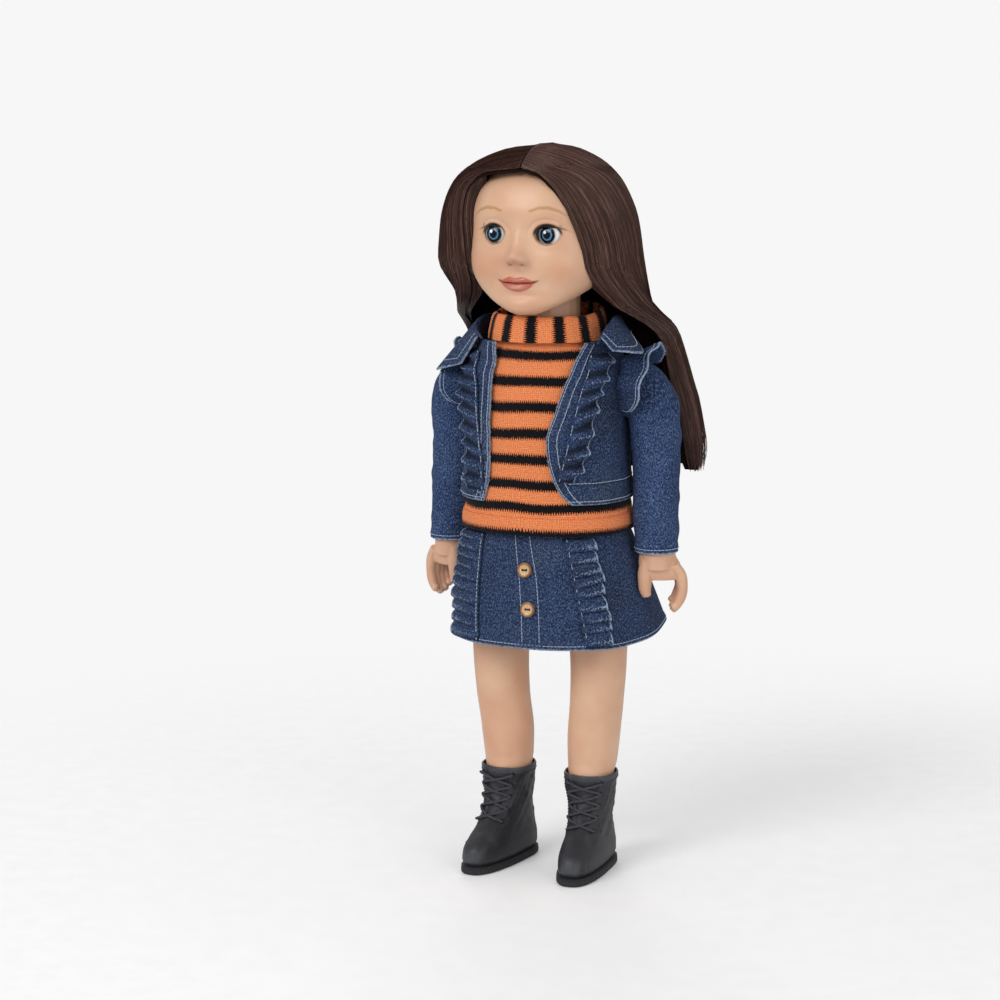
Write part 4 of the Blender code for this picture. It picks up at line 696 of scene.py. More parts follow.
@dataclass(frozen=True)
class KnittedAcrylic(Finish):
    """Brushed acrylic jersey in two colours: matt, fluffy, toothed at each stripe."""

    orange: str = "#FC894C"
    amber: str = "#FFB988"
    loop_gap_shade: str = "#B34A1C"
    black: str = "#0B0A10"
    wale: float = 1.35 * MM
    course: float = 1.1 * MM

    def build(self) -> bpy.types.Material:
        """Stripes of the stripe value, below half orange and above it black."""
        material, node, shader = self.start(0.95, Specular_IOR_Level=0.1, Sheen_Weight=0.06, Sheen_Roughness=0.6)
        cloth = node("Attribute", out="Vector", attribute_name="cloth")
        stripe = node("Attribute", out="Fac", attribute_name="stripe")
        # Each wale is one column of loops; its tips make the stripes' teeth
        teeth = node("Math", {0: node("SeparateXYZ", {0: cloth}), 1: self.wale / 2.0}, operation="PINGPONG")
        tooth = node("Math", {0: teeth, 1: 0.55 / self.wale, 2: stripe}, operation="MULTIPLY_ADD")
        fuzz = node("TexNoise", {"Scale": 1000.0, "Detail": 5.0, "Vector": cloth})
        ragged = node("Math", {0: fuzz, 1: 0.5, 2: tooth}, operation="MULTIPLY_ADD")
        mask = node("MapRange", {"From Min": 0.965, "From Max": 0.995, "Value": ragged})
        loops, rows = (
            node(
                "TexWave",
                {"Scale": TAU / 20.0 / pitch, "Distortion": wander, "Detail Scale": 2.0, "Vector": cloth},
                "Fac",
                bands_direction=way,
            )
            for pitch, wander, way in ((self.wale, 2.0, "X"), (self.course, 1.5, "Y"))
        )
        knit = node("Math", {0: loops, 1: rows}, operation="MULTIPLY")
        lit = node("MapRange", {"From Min": 0.42, "From Max": 0.68, "Value": fuzz})
        # Painted shade: the gaps between the loops are darkened toward a deeper orange
        gaps = node("MapRange", {"From Max": 0.3, "To Min": 0.45, "To Max": 0.0, "Value": knit})
        yarn: Any = to_linear(self.orange)
        for share, colour in ((lit, self.amber), (gaps, self.loop_gap_shade), (mask, self.black)):
            yarn = node("Mix", {0: share, 6: yarn, 7: to_linear(colour)}, 2, data_type="RGBA")
        height = node("Math", {0: knit, 1: 0.8, 2: fuzz}, operation="MULTIPLY_ADD")
        relief = node("Bump", {"Strength": 0.8, "Distance": 0.45 * MM, "Height": height})
        self.join(shader, Base_Color=yarn, Normal=relief)
        return material


@dataclass(frozen=True)
class CoatedFabric(Finish):
    """PU-coated fabric of doll boots: charcoal, satin, with a fine pebbled grain."""

    colour: str = "#26272C"
    scuff: str = "#4C4E55"
    grain: float = 1.1 * MM

    def build(self) -> bpy.types.Material:
        """Dark coating with pebbles, soft scuffs and paler worn edges."""
        material, node, shader = self.start(0.46)
        place = node("TexCoord", out="Object")
        wear = node("Attribute", out="Fac", attribute_name="wear")
        # Pebbles of 1.1 mm, drawn twice the real size
        pebble = node("TexVoronoi", {"Scale": 1.0 / self.grain, "Vector": place}, "Distance")
        cloud = node("TexNoise", {"Scale": 90.0, "Detail": 4.0, "Vector": place})
        rub = node("Math", {0: wear, 1: 0.9, 2: cloud}, operation="MULTIPLY_ADD")
        worn = node("MapRange", {"From Min": 0.5, "From Max": 1.2, "To Max": 0.8, "Value": rub})
        tint = {6: to_linear(self.colour), 7: to_linear(self.scuff)}
        tint = node("Mix", {0: worn, **tint}, 2, data_type="RGBA")
        sheen = node("MapRange", {"To Min": 0.40, "To Max": 0.60, "Value": cloud})
        relief = node("Bump", {"Strength": 0.35, "Distance": 0.15 * MM, "Height": pebble})
        self.join(shader, Base_Color=tint, Roughness=sheen, Normal=relief)
        return material


@dataclass(frozen=True)
class PlainStock(Finish):
    """A moulded, drawn or spun stock whose surface is fine noise of one size.

    Used for rubber soles, steel wire, sewing thread, braided laces and
    fibres: what differs is colour, gloss, metal and the size of the grain.
    """

    colour: str
    other: str
    roughness: float
    ior: float = 1.5
    metallic: float = 0.0
    grain: float = 0.4 * MM
    relief: float = 0.06 * MM
    streak: float = 1.0

    def build(self) -> bpy.types.Material:
        """Two close tones in the pattern of the grain, with its relief."""
        material, node, shader = self.start(self.roughness, self.ior, Metallic=self.metallic)
        scale = 1.0 / self.grain
        place = node("TexCoord", out="Object")
        spread = node("Mapping", {"Scale": (scale, scale, scale / self.streak), "Vector": place})
        noise = node("TexNoise", {"Scale": 1.0, "Detail": 3.0, "Vector": spread})
        tint = node("ValToRGB", {0: noise}, stops=((0.35, self.colour), (0.65, self.other)))
        relief = node("Bump", {"Strength": 0.4, "Distance": self.relief, "Height": noise})
        self.join(shader, Base_Color=tint, Normal=relief)
        return material


@dataclass(frozen=True)
class TurnedWood(Finish):
    """Varnished pale beech: rings of grain under a thin clear coat."""

    pale: str = "#E9C795"
    grain: str = "#B98652"
    burnt: str = "#8A5A34"
    pitch: float = 0.9 * MM

    def build(self) -> bpy.types.Material:
        """Grain lines 0.9 mm apart that wander, and the burnt edge of the turned rim."""
        material, node, shader = self.start(0.38, Coat_Weight=0.35, Coat_Roughness=0.15)
        wave = {"Scale": TAU / 20.0 / self.pitch, "Distortion": 5.0, "Detail": 3.0, "Detail Scale": 0.6}
        lines = node("TexWave", {**wave, "Vector": node("TexCoord", out="Object")}, "Fac")
        tint = node("ValToRGB", {0: lines}, stops=((0.25, self.pale), (0.95, self.grain)))
        wear = node("Attribute", out="Fac", attribute_name="wear")
        tint = node("Mix", {0: wear, 6: tint, 7: to_linear(self.burnt)}, 2, data_type="RGBA")
        relief = node("Bump", {"Strength": 0.2, "Distance": 0.05 * MM, "Height": lines})
        self.join(shader, Base_Color=tint, Normal=relief)
        return material


@dataclass(frozen=True)
class PrintedIris(Finish):
    """Printed paper iris under a clear acrylic dome: radial blue with a dark rim."""

    pupil: str = "#020304"
    deep: str = "#16324F"
    blue: str = "#2F648F"
    pale: str = "#6FA3C6"
    rim: str = "#05070B"
    # White of the painted highlight on the iris
    light: str = "#FFFFFF"

    def build(self) -> bpy.types.Material:
        """Colour by the distance from the pupil, with fine spokes and a painted highlight that stands in for a lamp's
        reflection.
        """
        clear = {"Specular_IOR_Level": 0.15, "Coat_Weight": 0.25, "Coat_Roughness": 0.02}
        material, node, shader = self.start(0.12, 1.49, **clear)
        across, light = (node("Attribute", out="Fac", attribute_name=word) for word in ("across", "light"))
        spoke = node("Attribute", out="Vector", attribute_name="spoke")
        rays = node("TexNoise", {"Scale": 1.0, "Detail": 3.0, "Vector": spoke})
        shift = node("MapRange", {"To Min": -0.10, "To Max": 0.10, "Value": rays})
        at = node("Math", {0: across, 1: shift}, operation="ADD")
        places = (0.38, 0.45, 0.55, 0.64, 0.71, 0.77, 1.00)
        inks = (self.pupil, self.deep, self.blue, self.pale, self.deep, self.rim, self.rim)
        tint = node("ValToRGB", {0: at}, stops=tuple(zip(places, inks)))
        tint = node("Mix", {0: light, 6: tint, 7: to_linear(self.light)}, 2, data_type="RGBA")
        self.join(shader, Base_Color=tint)
        return material


@dataclass(frozen=True)
class MouldedEye(Finish):
    """Injection-moulded acrylic eyeball, white below and skin-coloured lid above."""

    white: str = "#F1F0EE"
    vein: str = "#E4E4E6"
    lid: str = "#D9AC8E"
    edge: str = "#0B0809"

    def build(self) -> bpy.types.Material:
        """White with faint veins of grey, the sprayed lid and its dark edge."""
        material, node, shader = self.start(0.16, 1.49, Coat_Weight=0.6, Coat_Roughness=0.05)
        cloud = node("TexNoise", {"Scale": 300.0, "Detail": 3.0, "Vector": node("TexCoord", out="Object")})
        tint = node("ValToRGB", {0: cloud}, stops=((0.3, self.vein), (0.6, self.white)))
        for word, paint in (("lid", self.lid), ("edge", self.edge)):
            mask = node("Attribute", out="Fac", attribute_name=word)
            tint = node("Mix", {0: mask, 6: tint, 7: to_linear(paint)}, 2, data_type="RGBA")
        relief = node("Bump", {"Strength": 0.05, "Distance": 0.05 * MM, "Height": cloud})
        self.join(shader, Base_Color=tint, Normal=relief)
        return material


@dataclass(frozen=True)
class StudioPaper(Finish):
    """Matt white background paper: no gloss, a trace of fibre."""

    colour: str = "#F6F6F6"
    fibre: str = "#F1F1F2"
    glow: float = 0.16
    near: float = 0.22
    far: float = 0.75

    def build(self) -> bpy.types.Material:
        """Near-white paper that runs out into the white round the doll."""
        material, node, shader = self.start(0.95, 1.4, Specular_IOR_Level=0.1, Emission_Color=(1.0, 1.0, 1.0, 1.0))
        place = node("TexCoord", out="Object")
        fibre = node("TexNoise", {"Scale": 60.0, "Detail": 4.0, "Vector": place})
        tint = node("ValToRGB", {0: fibre}, stops=((0.3, self.fibre), (0.7, self.colour)))
        # The paper is lit a little from below
        seen = node("LightPath", out="Is Camera Ray")
        glow = node("MapRange", {"To Max": self.glow, "Value": seen})
        self.join(shader, Base_Color=tint, Emission_Strength=glow)
        span = {"From Min": self.near, "From Max": self.far}
        far = node("VectorMath", {0: place}, "Value", operation="LENGTH")
        clear = node("MapRange", {**span, "Value": far}, interpolation_type="SMOOTHSTEP")
        both = node("MixShader", {0: clear, 1: shader.outputs[0], 2: node("BsdfTransparent")})
        material.node_tree.links.new(both, material.node_tree.nodes["Material Output"].inputs[0])
        return material


@dataclass
class Palette:
    """All the doll's finished materials, each built once."""

    skin: Any = field(default_factory=MouldedVinyl("moulded_vinyl").build)
    hair: Any = field(default_factory=RootedFibre("rooted_nylon_fibre").build)
    # The layers under the lengths lie in their shade, so they show dark and dull
    hair_base: Any = field(
        default_factory=RootedFibre(
            "nylon_fibre_painted_in_shade", "#110A09", "#2A1A17", "#4A342D", roughness=0.85, specular=0.08
        ).build
    )
    denim: Any = field(default_factory=WovenDenim("stone_washed_denim").build)
    # The sleeves and wings are cut from a bluer roll
    blue_denim: Any = field(
        default_factory=WovenDenim(
            "blue_washed_denim", "#122043", "#294573", "#435981", "#A6B9D6", "#8CA2C8"
        ).build
    )
    knit: Any = field(default_factory=KnittedAcrylic("brushed_acrylic_knit").build)
    boot: Any = field(default_factory=CoatedFabric("pu_coated_fabric").build)
    # Injection-moulded TPR sole: dull black with a fine sandy face
    sole: Any = field(
        default_factory=PlainStock("moulded_rubber", "#1B1B1E", "#2A2A2E", 0.72, 1.52, grain=0.7 * MM).build
    )
    # Braided polyester lace: dull, with short darker patches that paint the shade in the gaps between its strands
    lace: Any = field(
        default_factory=PlainStock(
            "braided_polyester", "#2B2B30", "#4A4A52", 0.8, grain=0.5 * MM, relief=0.2 * MM
        ).build
    )
    # Spun polyester thread: pale, slightly shiny, with the shade of its twist
    thread: Any = field(default_factory=PlainStock("spun_polyester_thread", "#9AA9BE", "#CDD7E4", 0.8).build)
    # Loose cotton weft at a cut edge: matt, blue to nearly white
    fray: Any = field(
        default_factory=PlainStock("frayed_cotton", "#7F93AE", "#D3DDE8", 0.95, grain=1.2 * MM).build
    )
    # Drawn steel wire: grey metal with fine lengthwise lines
    steel: Any = field(
        default_factory=PlainStock(
            "drawn_steel", "#8C8D90", "#B5B6B8", 0.32, metallic=1.0, grain=0.3 * MM, streak=8.0
        ).build
    )
    # Black-oxide eyelets: dark metal with a soft gloss
    eyelet: Any = field(
        default_factory=PlainStock("blackened_steel", "#2B2C30", "#3B3C42", 0.42, metallic=1.0).build
    )
    # Nylon lash fibre: nearly black brown, a narrow gloss
    lash: Any = field(default_factory=PlainStock("nylon_lash_fibre", "#120C0A", "#2A1C16", 0.4, 1.53).build)
    wood: Any = field(default_factory=TurnedWood("varnished_beech").build)
    iris: Any = field(default_factory=PrintedIris("printed_iris").build)
    eye: Any = field(default_factory=MouldedEye("moulded_acrylic_eye").build)
    # Eye housing of white ABS: an even satin plastic
    case: Any = field(
        default_factory=PlainStock(
            "moulded_abs", "#E8E7E2", "#DAD9D4", 0.4, 1.54, grain=1.5 * MM, relief=0.02 * MM
        ).build
    )


@dataclass(frozen=True)
class DollSizes:
    """Sizes that several sub-assemblies share, all in metres."""

    hip_height: float = 190.0 * MM
    neck_radius: float = 20.0 * MM
    head_floor: float = 377.5 * MM
    shoulder_seat: float = 42.975 * MM
    shoulder_height: float = 305.968 * MM
    setback: float = 8.0 * MM
    stud_radius: float = 5.0 * MM
    stud_flange: float = 7.4 * MM
    run_gap: float = 0.4 * MM
    seat_gap: float = 0.3 * MM
    knit_wall: float = 1.8 * MM
    denim_wall: float = 1.3 * MM
    sweater_half_width: float = 54.5 * MM
    sweater_half_depth: float = 42.5 * MM
    sweater_hem: float = 218.69 * MM
    sweater_top: float = 336.47 * MM
    armhole_plane: float = 52.23 * MM
    arm_radius: float = 13.3 * MM
    sleeve_ease: float = 1.1 * MM
    sleeve_radius: float = 18.0 * MM
    arm_length: float = 103.0 * MM

    def stud(self, reach: float) -> list[tuple[float, float]]:
        """Profile of a limb's flanged stud, measured inward from its seat."""
        return [
            (-reach, self.stud_radius),
            (5.0 * MM, self.stud_radius),
            (5.0 * MM, self.stud_flange),
            (8.2 * MM, self.stud_flange),
        ]


@dataclass
class Assembly:
    """A sub-assembly: the shared sizes, the materials and the pieces made."""

    sizes: DollSizes
    palette: Palette
    made: list[str] = field(default_factory=list)

    def keep(self, piece: Any, body: str, slot: str, *nodes: str) -> Any:
        """Ride a piece on a body and hide the CAD nodes that it stands for.

        Args:
            piece: The finished object.
            body: CAD body that carries it.
            slot: The record's material slot; not used.
            *nodes: CAD nodes that it replaces.

        Returns:
            The same object.
        """
        self.attach(piece, body)
        if nodes:
            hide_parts(*nodes)
        self.made.append(piece.name)
        return piece

    def attach(self, piece: Any, body: str) -> None:
        """Move a finished piece with a CAD body."""
        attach(piece, body)


@dataclass
class Head(Assembly):
    """Hollow vinyl head with its sculpted and painted face."""

    base: float = 354.0 * MM
    height: float = 93.0 * MM
    half_width: float = 46.0 * MM
    front: float = 48.0 * MM
    back: float = 44.0 * MM
    wall: float = 3.5 * MM
    eye_seat: float = -32.0 * MM
    eye_height: float = 403.011 * MM
    eye_spread: float = 17.7 * MM
    opening: tuple[float, float] = (8.3 * MM, 6.8 * MM)
    mouth_middle: float = -1.7 * MM
    mouth_half: float = 13.6 * MM
    mouth_height: float = 373.9 * MM
    # Place across the half mouth, then the line, upper and lower lip in mm
    lip_table: Shares = (
        (0.00, -0.30, 3.6, 5.1),
        (0.14, -0.22, 3.75, 5.1),
        (0.30, 0.00, 3.9, 4.8),
        (0.48, 0.05, 3.1, 4.0),
        (0.66, 0.15, 2.0, 2.6),
        (0.82, 0.60, 1.0, 0.8),
        (1.00, 1.50, 0.15, 0.05),
    )
    # Height from the chin, half width, front, back and middle of each ring
    sections: Shares = (
        (0.000, 0.12, 0.80, -0.70, 0.74),
        (0.020, 0.24, 0.86, -0.58, 0.70),
        (0.048, 0.38, 0.885, -0.44, 0.64),
        (0.080, 0.51, 0.895, -0.28, 0.57),
        (0.129, 0.66, 0.895, -0.02, 0.45),
        (0.172, 0.77, 0.895, 0.20, 0.35),
        (0.226, 0.87, 0.915, 0.46, 0.23),
        (0.280, 0.94, 0.94, 0.68, 0.14),
        (0.344, 0.985, 0.97, 0.84, 0.08),
        (0.409, 1.00, 0.99, 0.93, 0.04),
        (0.538, 1.00, 0.99, 0.99, 0.04),
        (0.624, 0.985, 1.005, 0.985, 0.04),
        (0.688, 0.96, 1.01, 0.965, 0.04),
        (0.774, 0.905, 0.975, 0.91, 0.04),
        (0.839, 0.83, 0.92, 0.84, 0.04),
        (0.903, 0.71, 0.81, 0.72, 0.04),
        (0.957, 0.53, 0.63, 0.53, 0.05),
        (0.989, 0.31, 0.39, 0.30, 0.06),
        (1.000, 0.13, 0.20, 0.11, 0.06),
    )
    # Side place, height from the eye line, rise, breadth and height of each form
    forms: Shares = (
        (0.000, -0.285, 0.150, 0.084, 0.078),
        (0.000, -0.150, 0.070, 0.070, 0.160),
        (0.108, -0.345, 0.066, 0.044, 0.048),
        (-0.108, -0.345, 0.066, 0.044, 0.048),
        (0.070, -0.392, -0.046, 0.028, 0.020),
        (-0.070, -0.392, -0.046, 0.028, 0.020),
        (0.000, -0.480, -0.012, 0.024, 0.050),
        (0.000, -0.593, 0.036, 0.165, 0.060),
        (0.000, -0.700, 0.050, 0.145, 0.050),
        (0.310, -0.615, -0.024, 0.045, 0.045),
        (-0.310, -0.615, -0.024, 0.045, 0.045),
        (0.000, -0.800, -0.020, 0.160, 0.035),
        (0.000, -0.940, 0.055, 0.180, 0.110),
        (0.560, -0.460, 0.052, 0.220, 0.200),
        (-0.560, -0.460, 0.052, 0.220, 0.200),
        (0.385, 0.020, -0.058, 0.185, 0.150),
        (-0.385, 0.020, -0.058, 0.185, 0.150),
        (0.370, 0.270, 0.018, 0.220, 0.075),
        (-0.370, 0.270, 0.018, 0.220, 0.075),
    )
    # Brow lines as x and z in mm from the inner end outward
    brows: Shares = (
        (-10.8, 417.6, -16.0, 419.2, -22.0, 419.3, -28.0, 417.4, -32.5, 414.2),
        (8.2, 417.6, 13.4, 419.4, 19.0, 419.6, 25.0, 417.6, 29.2, 414.4),
    )

    def lips(self, x: Array, z: Array) -> tuple[Array, Array, Array]:
        """Place of points on the painted lips.

        Args:
            x: Side places in metres.
            z: Heights in metres.

        Returns:
            The lips' mask, the place across the upper lip and across the
            lower lip, 0 at the mouth line and 1 at the outer edge.
        """
        across = np.clip(np.abs(x - self.mouth_middle) / self.mouth_half, 0.0, 1.2)
        line, upper, lower = read_shares(self.lip_table, across) * MM
        line = line + self.mouth_height
        upper, lower = upper + 1e-6, lower + 1e-6
        up, down = (z - line) / upper, (line - z) / lower
        inside = np.where(z > line, up, down)
        mask = smooth_step(1.08, 0.92, inside) * smooth_step(1.00, 0.95, across)
        return mask, np.where(z >= line, up, -1.0), np.where(z < line, down, -1.0)

    def relief(self, point: Array) -> Array:
        """Rise of the face's features above the plain head, in metres."""
        x, z = point[..., 0] / self.half_width, (point[..., 2] - self.eye_height) / self.half_width
        rise = np.zeros(x.shape)
        for cx, cz, height, breadth, tall in self.forms:
            rise += height * np.exp(-0.5 * ((x - cx) / breadth) ** 2 - 0.5 * ((z - cz) / tall) ** 2)
        for side in (1, -1):
            ring = self.eye_ring(side, point)
            rise += 0.010 * bell(ring, 1.05, 0.22)
            above = smooth_step(-0.001, 0.004, point[..., 2] - self.eye_height)
            rise -= 0.009 * above * bell(ring, 1.40, 0.08)
        _, up, down = self.lips(point[..., 0], point[..., 2])
        side_fade = np.clip(1.0 - (np.abs(point[..., 0] - self.mouth_middle) / self.mouth_half) ** 2, 0.0, 1.0)
        for place, height in ((up, 0.020), (down, 0.026)):
            lip = np.clip(place, 0.0, 1.0)
            rise += height * side_fade**0.6 * np.where(place >= 0.0, np.sin(math.pi * lip**0.75), 0.0)
        groove = np.minimum(np.abs(up), np.abs(down))
        rise -= 0.016 * side_fade**0.4 * np.exp(-((groove / 0.12) ** 2))
        return rise * self.half_width

    def eye_ring(self, side: int, point: Array) -> Array:
        """Distance from an eye's middle, 1 on the opening's rim."""
        return np.hypot(
            (point[..., 0] - side * self.eye_spread) / self.opening[0],
            (point[..., 2] - self.eye_height) / self.opening[1],
        )

    def surface(self, share: Any, angle: Any, grow: float = 0.0, relief: bool = True) -> Array:
        """Points on the head, without the hair.

        Args:
            share: Heights as shares of the head's height.
            angle: Angles from the front toward +X.
            grow: Distance outside the face in metres.
            relief: Whether the features are raised.

        Returns:
            Points, last axis x, y, z.
        """
        share, angle = one_shape(share, angle)
        width, front, back, middle = read_shares(self.sections, share)
        centre = -middle * self.front
        power = np.where(np.cos(angle) > 0, 2.25, 2.0)
        width = width * self.half_width + grow
        x, y = oval(angle, width, width, front * self.front + centre + grow, back * self.back - centre + grow, power)
        out = joined(x, y, 0.0)
        way = unit(out)
        rise = grow * np.maximum(0.0, (share - 0.85) / 0.15)
        point = out + joined(0.0, centre, self.base + share * self.height + rise)
        if relief:
            face = np.clip(3.0 * np.cos(angle), 0.0, 1.0)
            point = point + way * (self.relief(point) * face)[..., None]
        return point

    def cavity(self) -> Array:
        """Rings of the hollow above the head's floor."""
        angles = full_turn(40)
        floor = (self.sizes.head_floor - self.base) / self.height
        rings = [self.surface(floor + 0.04, angles, -self.wall, False)]
        rings[0][:, 2] = self.sizes.head_floor
        for t in (0.15, 0.35, 0.6, 0.8, 0.93, 1.0):
            share = max(floor + t * (0.93 - floor), floor + 0.05)
            rings.append(self.surface(share, angles, -self.wall, False))
        return np.stack(rings)

    def eye_cutters(self, side: int) -> list[Shell]:
        """Seat and almond opening of one eye."""
        centre = np.array([side * self.eye_spread, self.eye_seat, self.eye_height])
        radius = 10.7 * MM
        arc = math.pi * np.arange(17) / 16
        seat = Shell()
        profile = [(-radius * math.cos(a), max(radius * math.sin(a), 0.1 * MM)) for a in arc]
        seat.add_rings(turned(profile, centre, (0, -1, 0), 32))
        turn = full_turn(56)
        x = self.opening[0] * np.cos(turn)
        z = self.opening[1] * np.sin(turn) * (0.95 + 0.04 * np.sin(turn) - 0.20 * np.cos(turn) ** 2)
        depths = ((0.86, -4.0 * MM), (0.86, -7.0 * MM), (0.99, -12.5 * MM), (1.05, -26.0 * MM))
        rings = [centre + joined(f * x, y, f * z) for f, y in depths]
        opening = Shell().add_rings(np.stack(rings))
        return [seat, opening]

    def paint(self, piece: Any) -> None:
        """Write the masks of the face paint, the painted lip highlight and the painted nostril shade."""
        p = mesh_points(piece)
        x, z = p[:, 0], p[:, 2]
        facing = smooth_step(-20.0 * MM, -28.0 * MM, p[:, 1])
        mask = self.lips(x, z)[0]
        write_mask(piece, "lips", mask * facing * 0.92)
        blush = sum(
            np.exp(-(((x - cx * MM) / (8.5 * MM)) ** 2) - (((z - 381.0 * MM) / (7.0 * MM)) ** 2)) for cx in (
                -28.0, 25.0
            )
        )
        write_mask(piece, "blush", 0.42 * blush * facing)
        brow = np.zeros(len(x))
        for line in self.brows:
            knots = np.array(line).reshape(-1, 2) * MM
            fine = np.stack([np.interp(np.linspace(0, 4, 80), range(5), knots[:, k]) for k in (0, 1)], -1)
            gap = np.sqrt(((p[:, None, [0, 2]] - fine[None]) ** 2).sum(-1))
            near = gap.argmin(1)
            half = 0.95 * MM * (1.0 - 0.55 * np.abs(near / 79.0 * 2.0 - 0.8) ** 2)
            brow = np.maximum(brow, smooth_step(1.6, 0.5, gap.min(1) / half))
        write_mask(piece, "brow", 0.72 * brow * facing)
        liner_and_nostril_shade = np.zeros(len(x))
        for side in (1, -1):
            ring = self.eye_ring(side, p)
            upper = smooth_step(-1.5 * MM, 2.0 * MM, z - self.eye_height)
            liner_and_nostril_shade = np.maximum(liner_and_nostril_shade, 0.95 * upper * smooth_step(1.11, 1.00, ring))
            liner_and_nostril_shade = np.maximum(liner_and_nostril_shade, 0.35 * bell(ring, 0.92, 0.05))
            # The upper line runs on past the outer corner as a painted lash
            away = (side * x - self.eye_spread - 6.2 * MM) / (7.6 * MM)
            flick = self.eye_height + (4.5 - 2.9 * np.clip(away, 0.0, 1.0) ** 1.3) * MM
            thin = np.abs(z - flick) / (1.0 * MM * np.clip(1.0 - away, 0.05, 1.0) + 0.12 * MM)
            tail = smooth_step(1.2, 0.4, thin) * (away > -0.05) * np.clip(1.15 - away, 0.0, 1.0)
            liner_and_nostril_shade = np.maximum(liner_and_nostril_shade, 0.80 * tail * (away < 1.0))
            # Painted shade: dark spots in the nostril hollows
            nostril = np.hypot((x - (side * 3.9 - 0.6) * MM) / (1.5 * MM), (z - 385.2 * MM) / (0.9 * MM))
            liner_and_nostril_shade = np.maximum(liner_and_nostril_shade, 0.55 * smooth_step(1.2, 0.3, nostril))
        # The mouth line is darkest and runs out past both lips
        across = np.abs(x - self.mouth_middle) / self.mouth_half
        height = read_shares(self.lip_table, across)[0] * MM + self.mouth_height
        line = bell(z, height, 0.42 * MM) * smooth_step(1.04, 0.96, across)
        write_mask(piece, "liner_and_nostril_shade", np.maximum(liner_and_nostril_shade, 0.75 * line) * facing)
        # Painted highlight: a pale band across the middle of the lower lip
        painted_lip_highlight = np.exp(-(((x - self.mouth_middle) / (5.5 * MM)) ** 2) - ((z - 371.3 * MM) / (1.2 * MM)) ** 2)
        write_mask(piece, "painted_lip_highlight", 0.75 * painted_lip_highlight * facing)

    def build(self) -> None:
        """Build the head, carve it and paint its face."""
        cols = np.arange(300) * TAU / 300
        angles = cols - 0.6 * np.sin(cols)
        rows = np.concatenate(
            [np.linspace(0.0, 0.06, 10)[:-1], np.linspace(0.06, 0.72, 125)[:-1], np.linspace(0.72, 1.0, 26)]
        )
        shell = Shell().add_rings(self.surface(rows[:, None], angles[None, :]))
        piece = shell.build("head_vinyl", self.palette.skin, 50.0)
        hollow = Shell().add_rings(self.cavity())
        neck = Shell()
        reach = self.sizes.neck_radius + self.sizes.run_gap
        neck.add_rings(turned([(0.35, reach), (0.3815, reach)], (0, 0, 0), (0, 0, 1), 48))
        carve(piece, [hollow, neck, *self.eye_cutters(1), *self.eye_cutters(-1)])
        piece.data.shade_smooth()
        piece.data.set_sharp_from_angle(angle=math.radians(42))
        self.paint(piece)
        self.keep(piece, "head", "vinyl_skin", "head_shell")


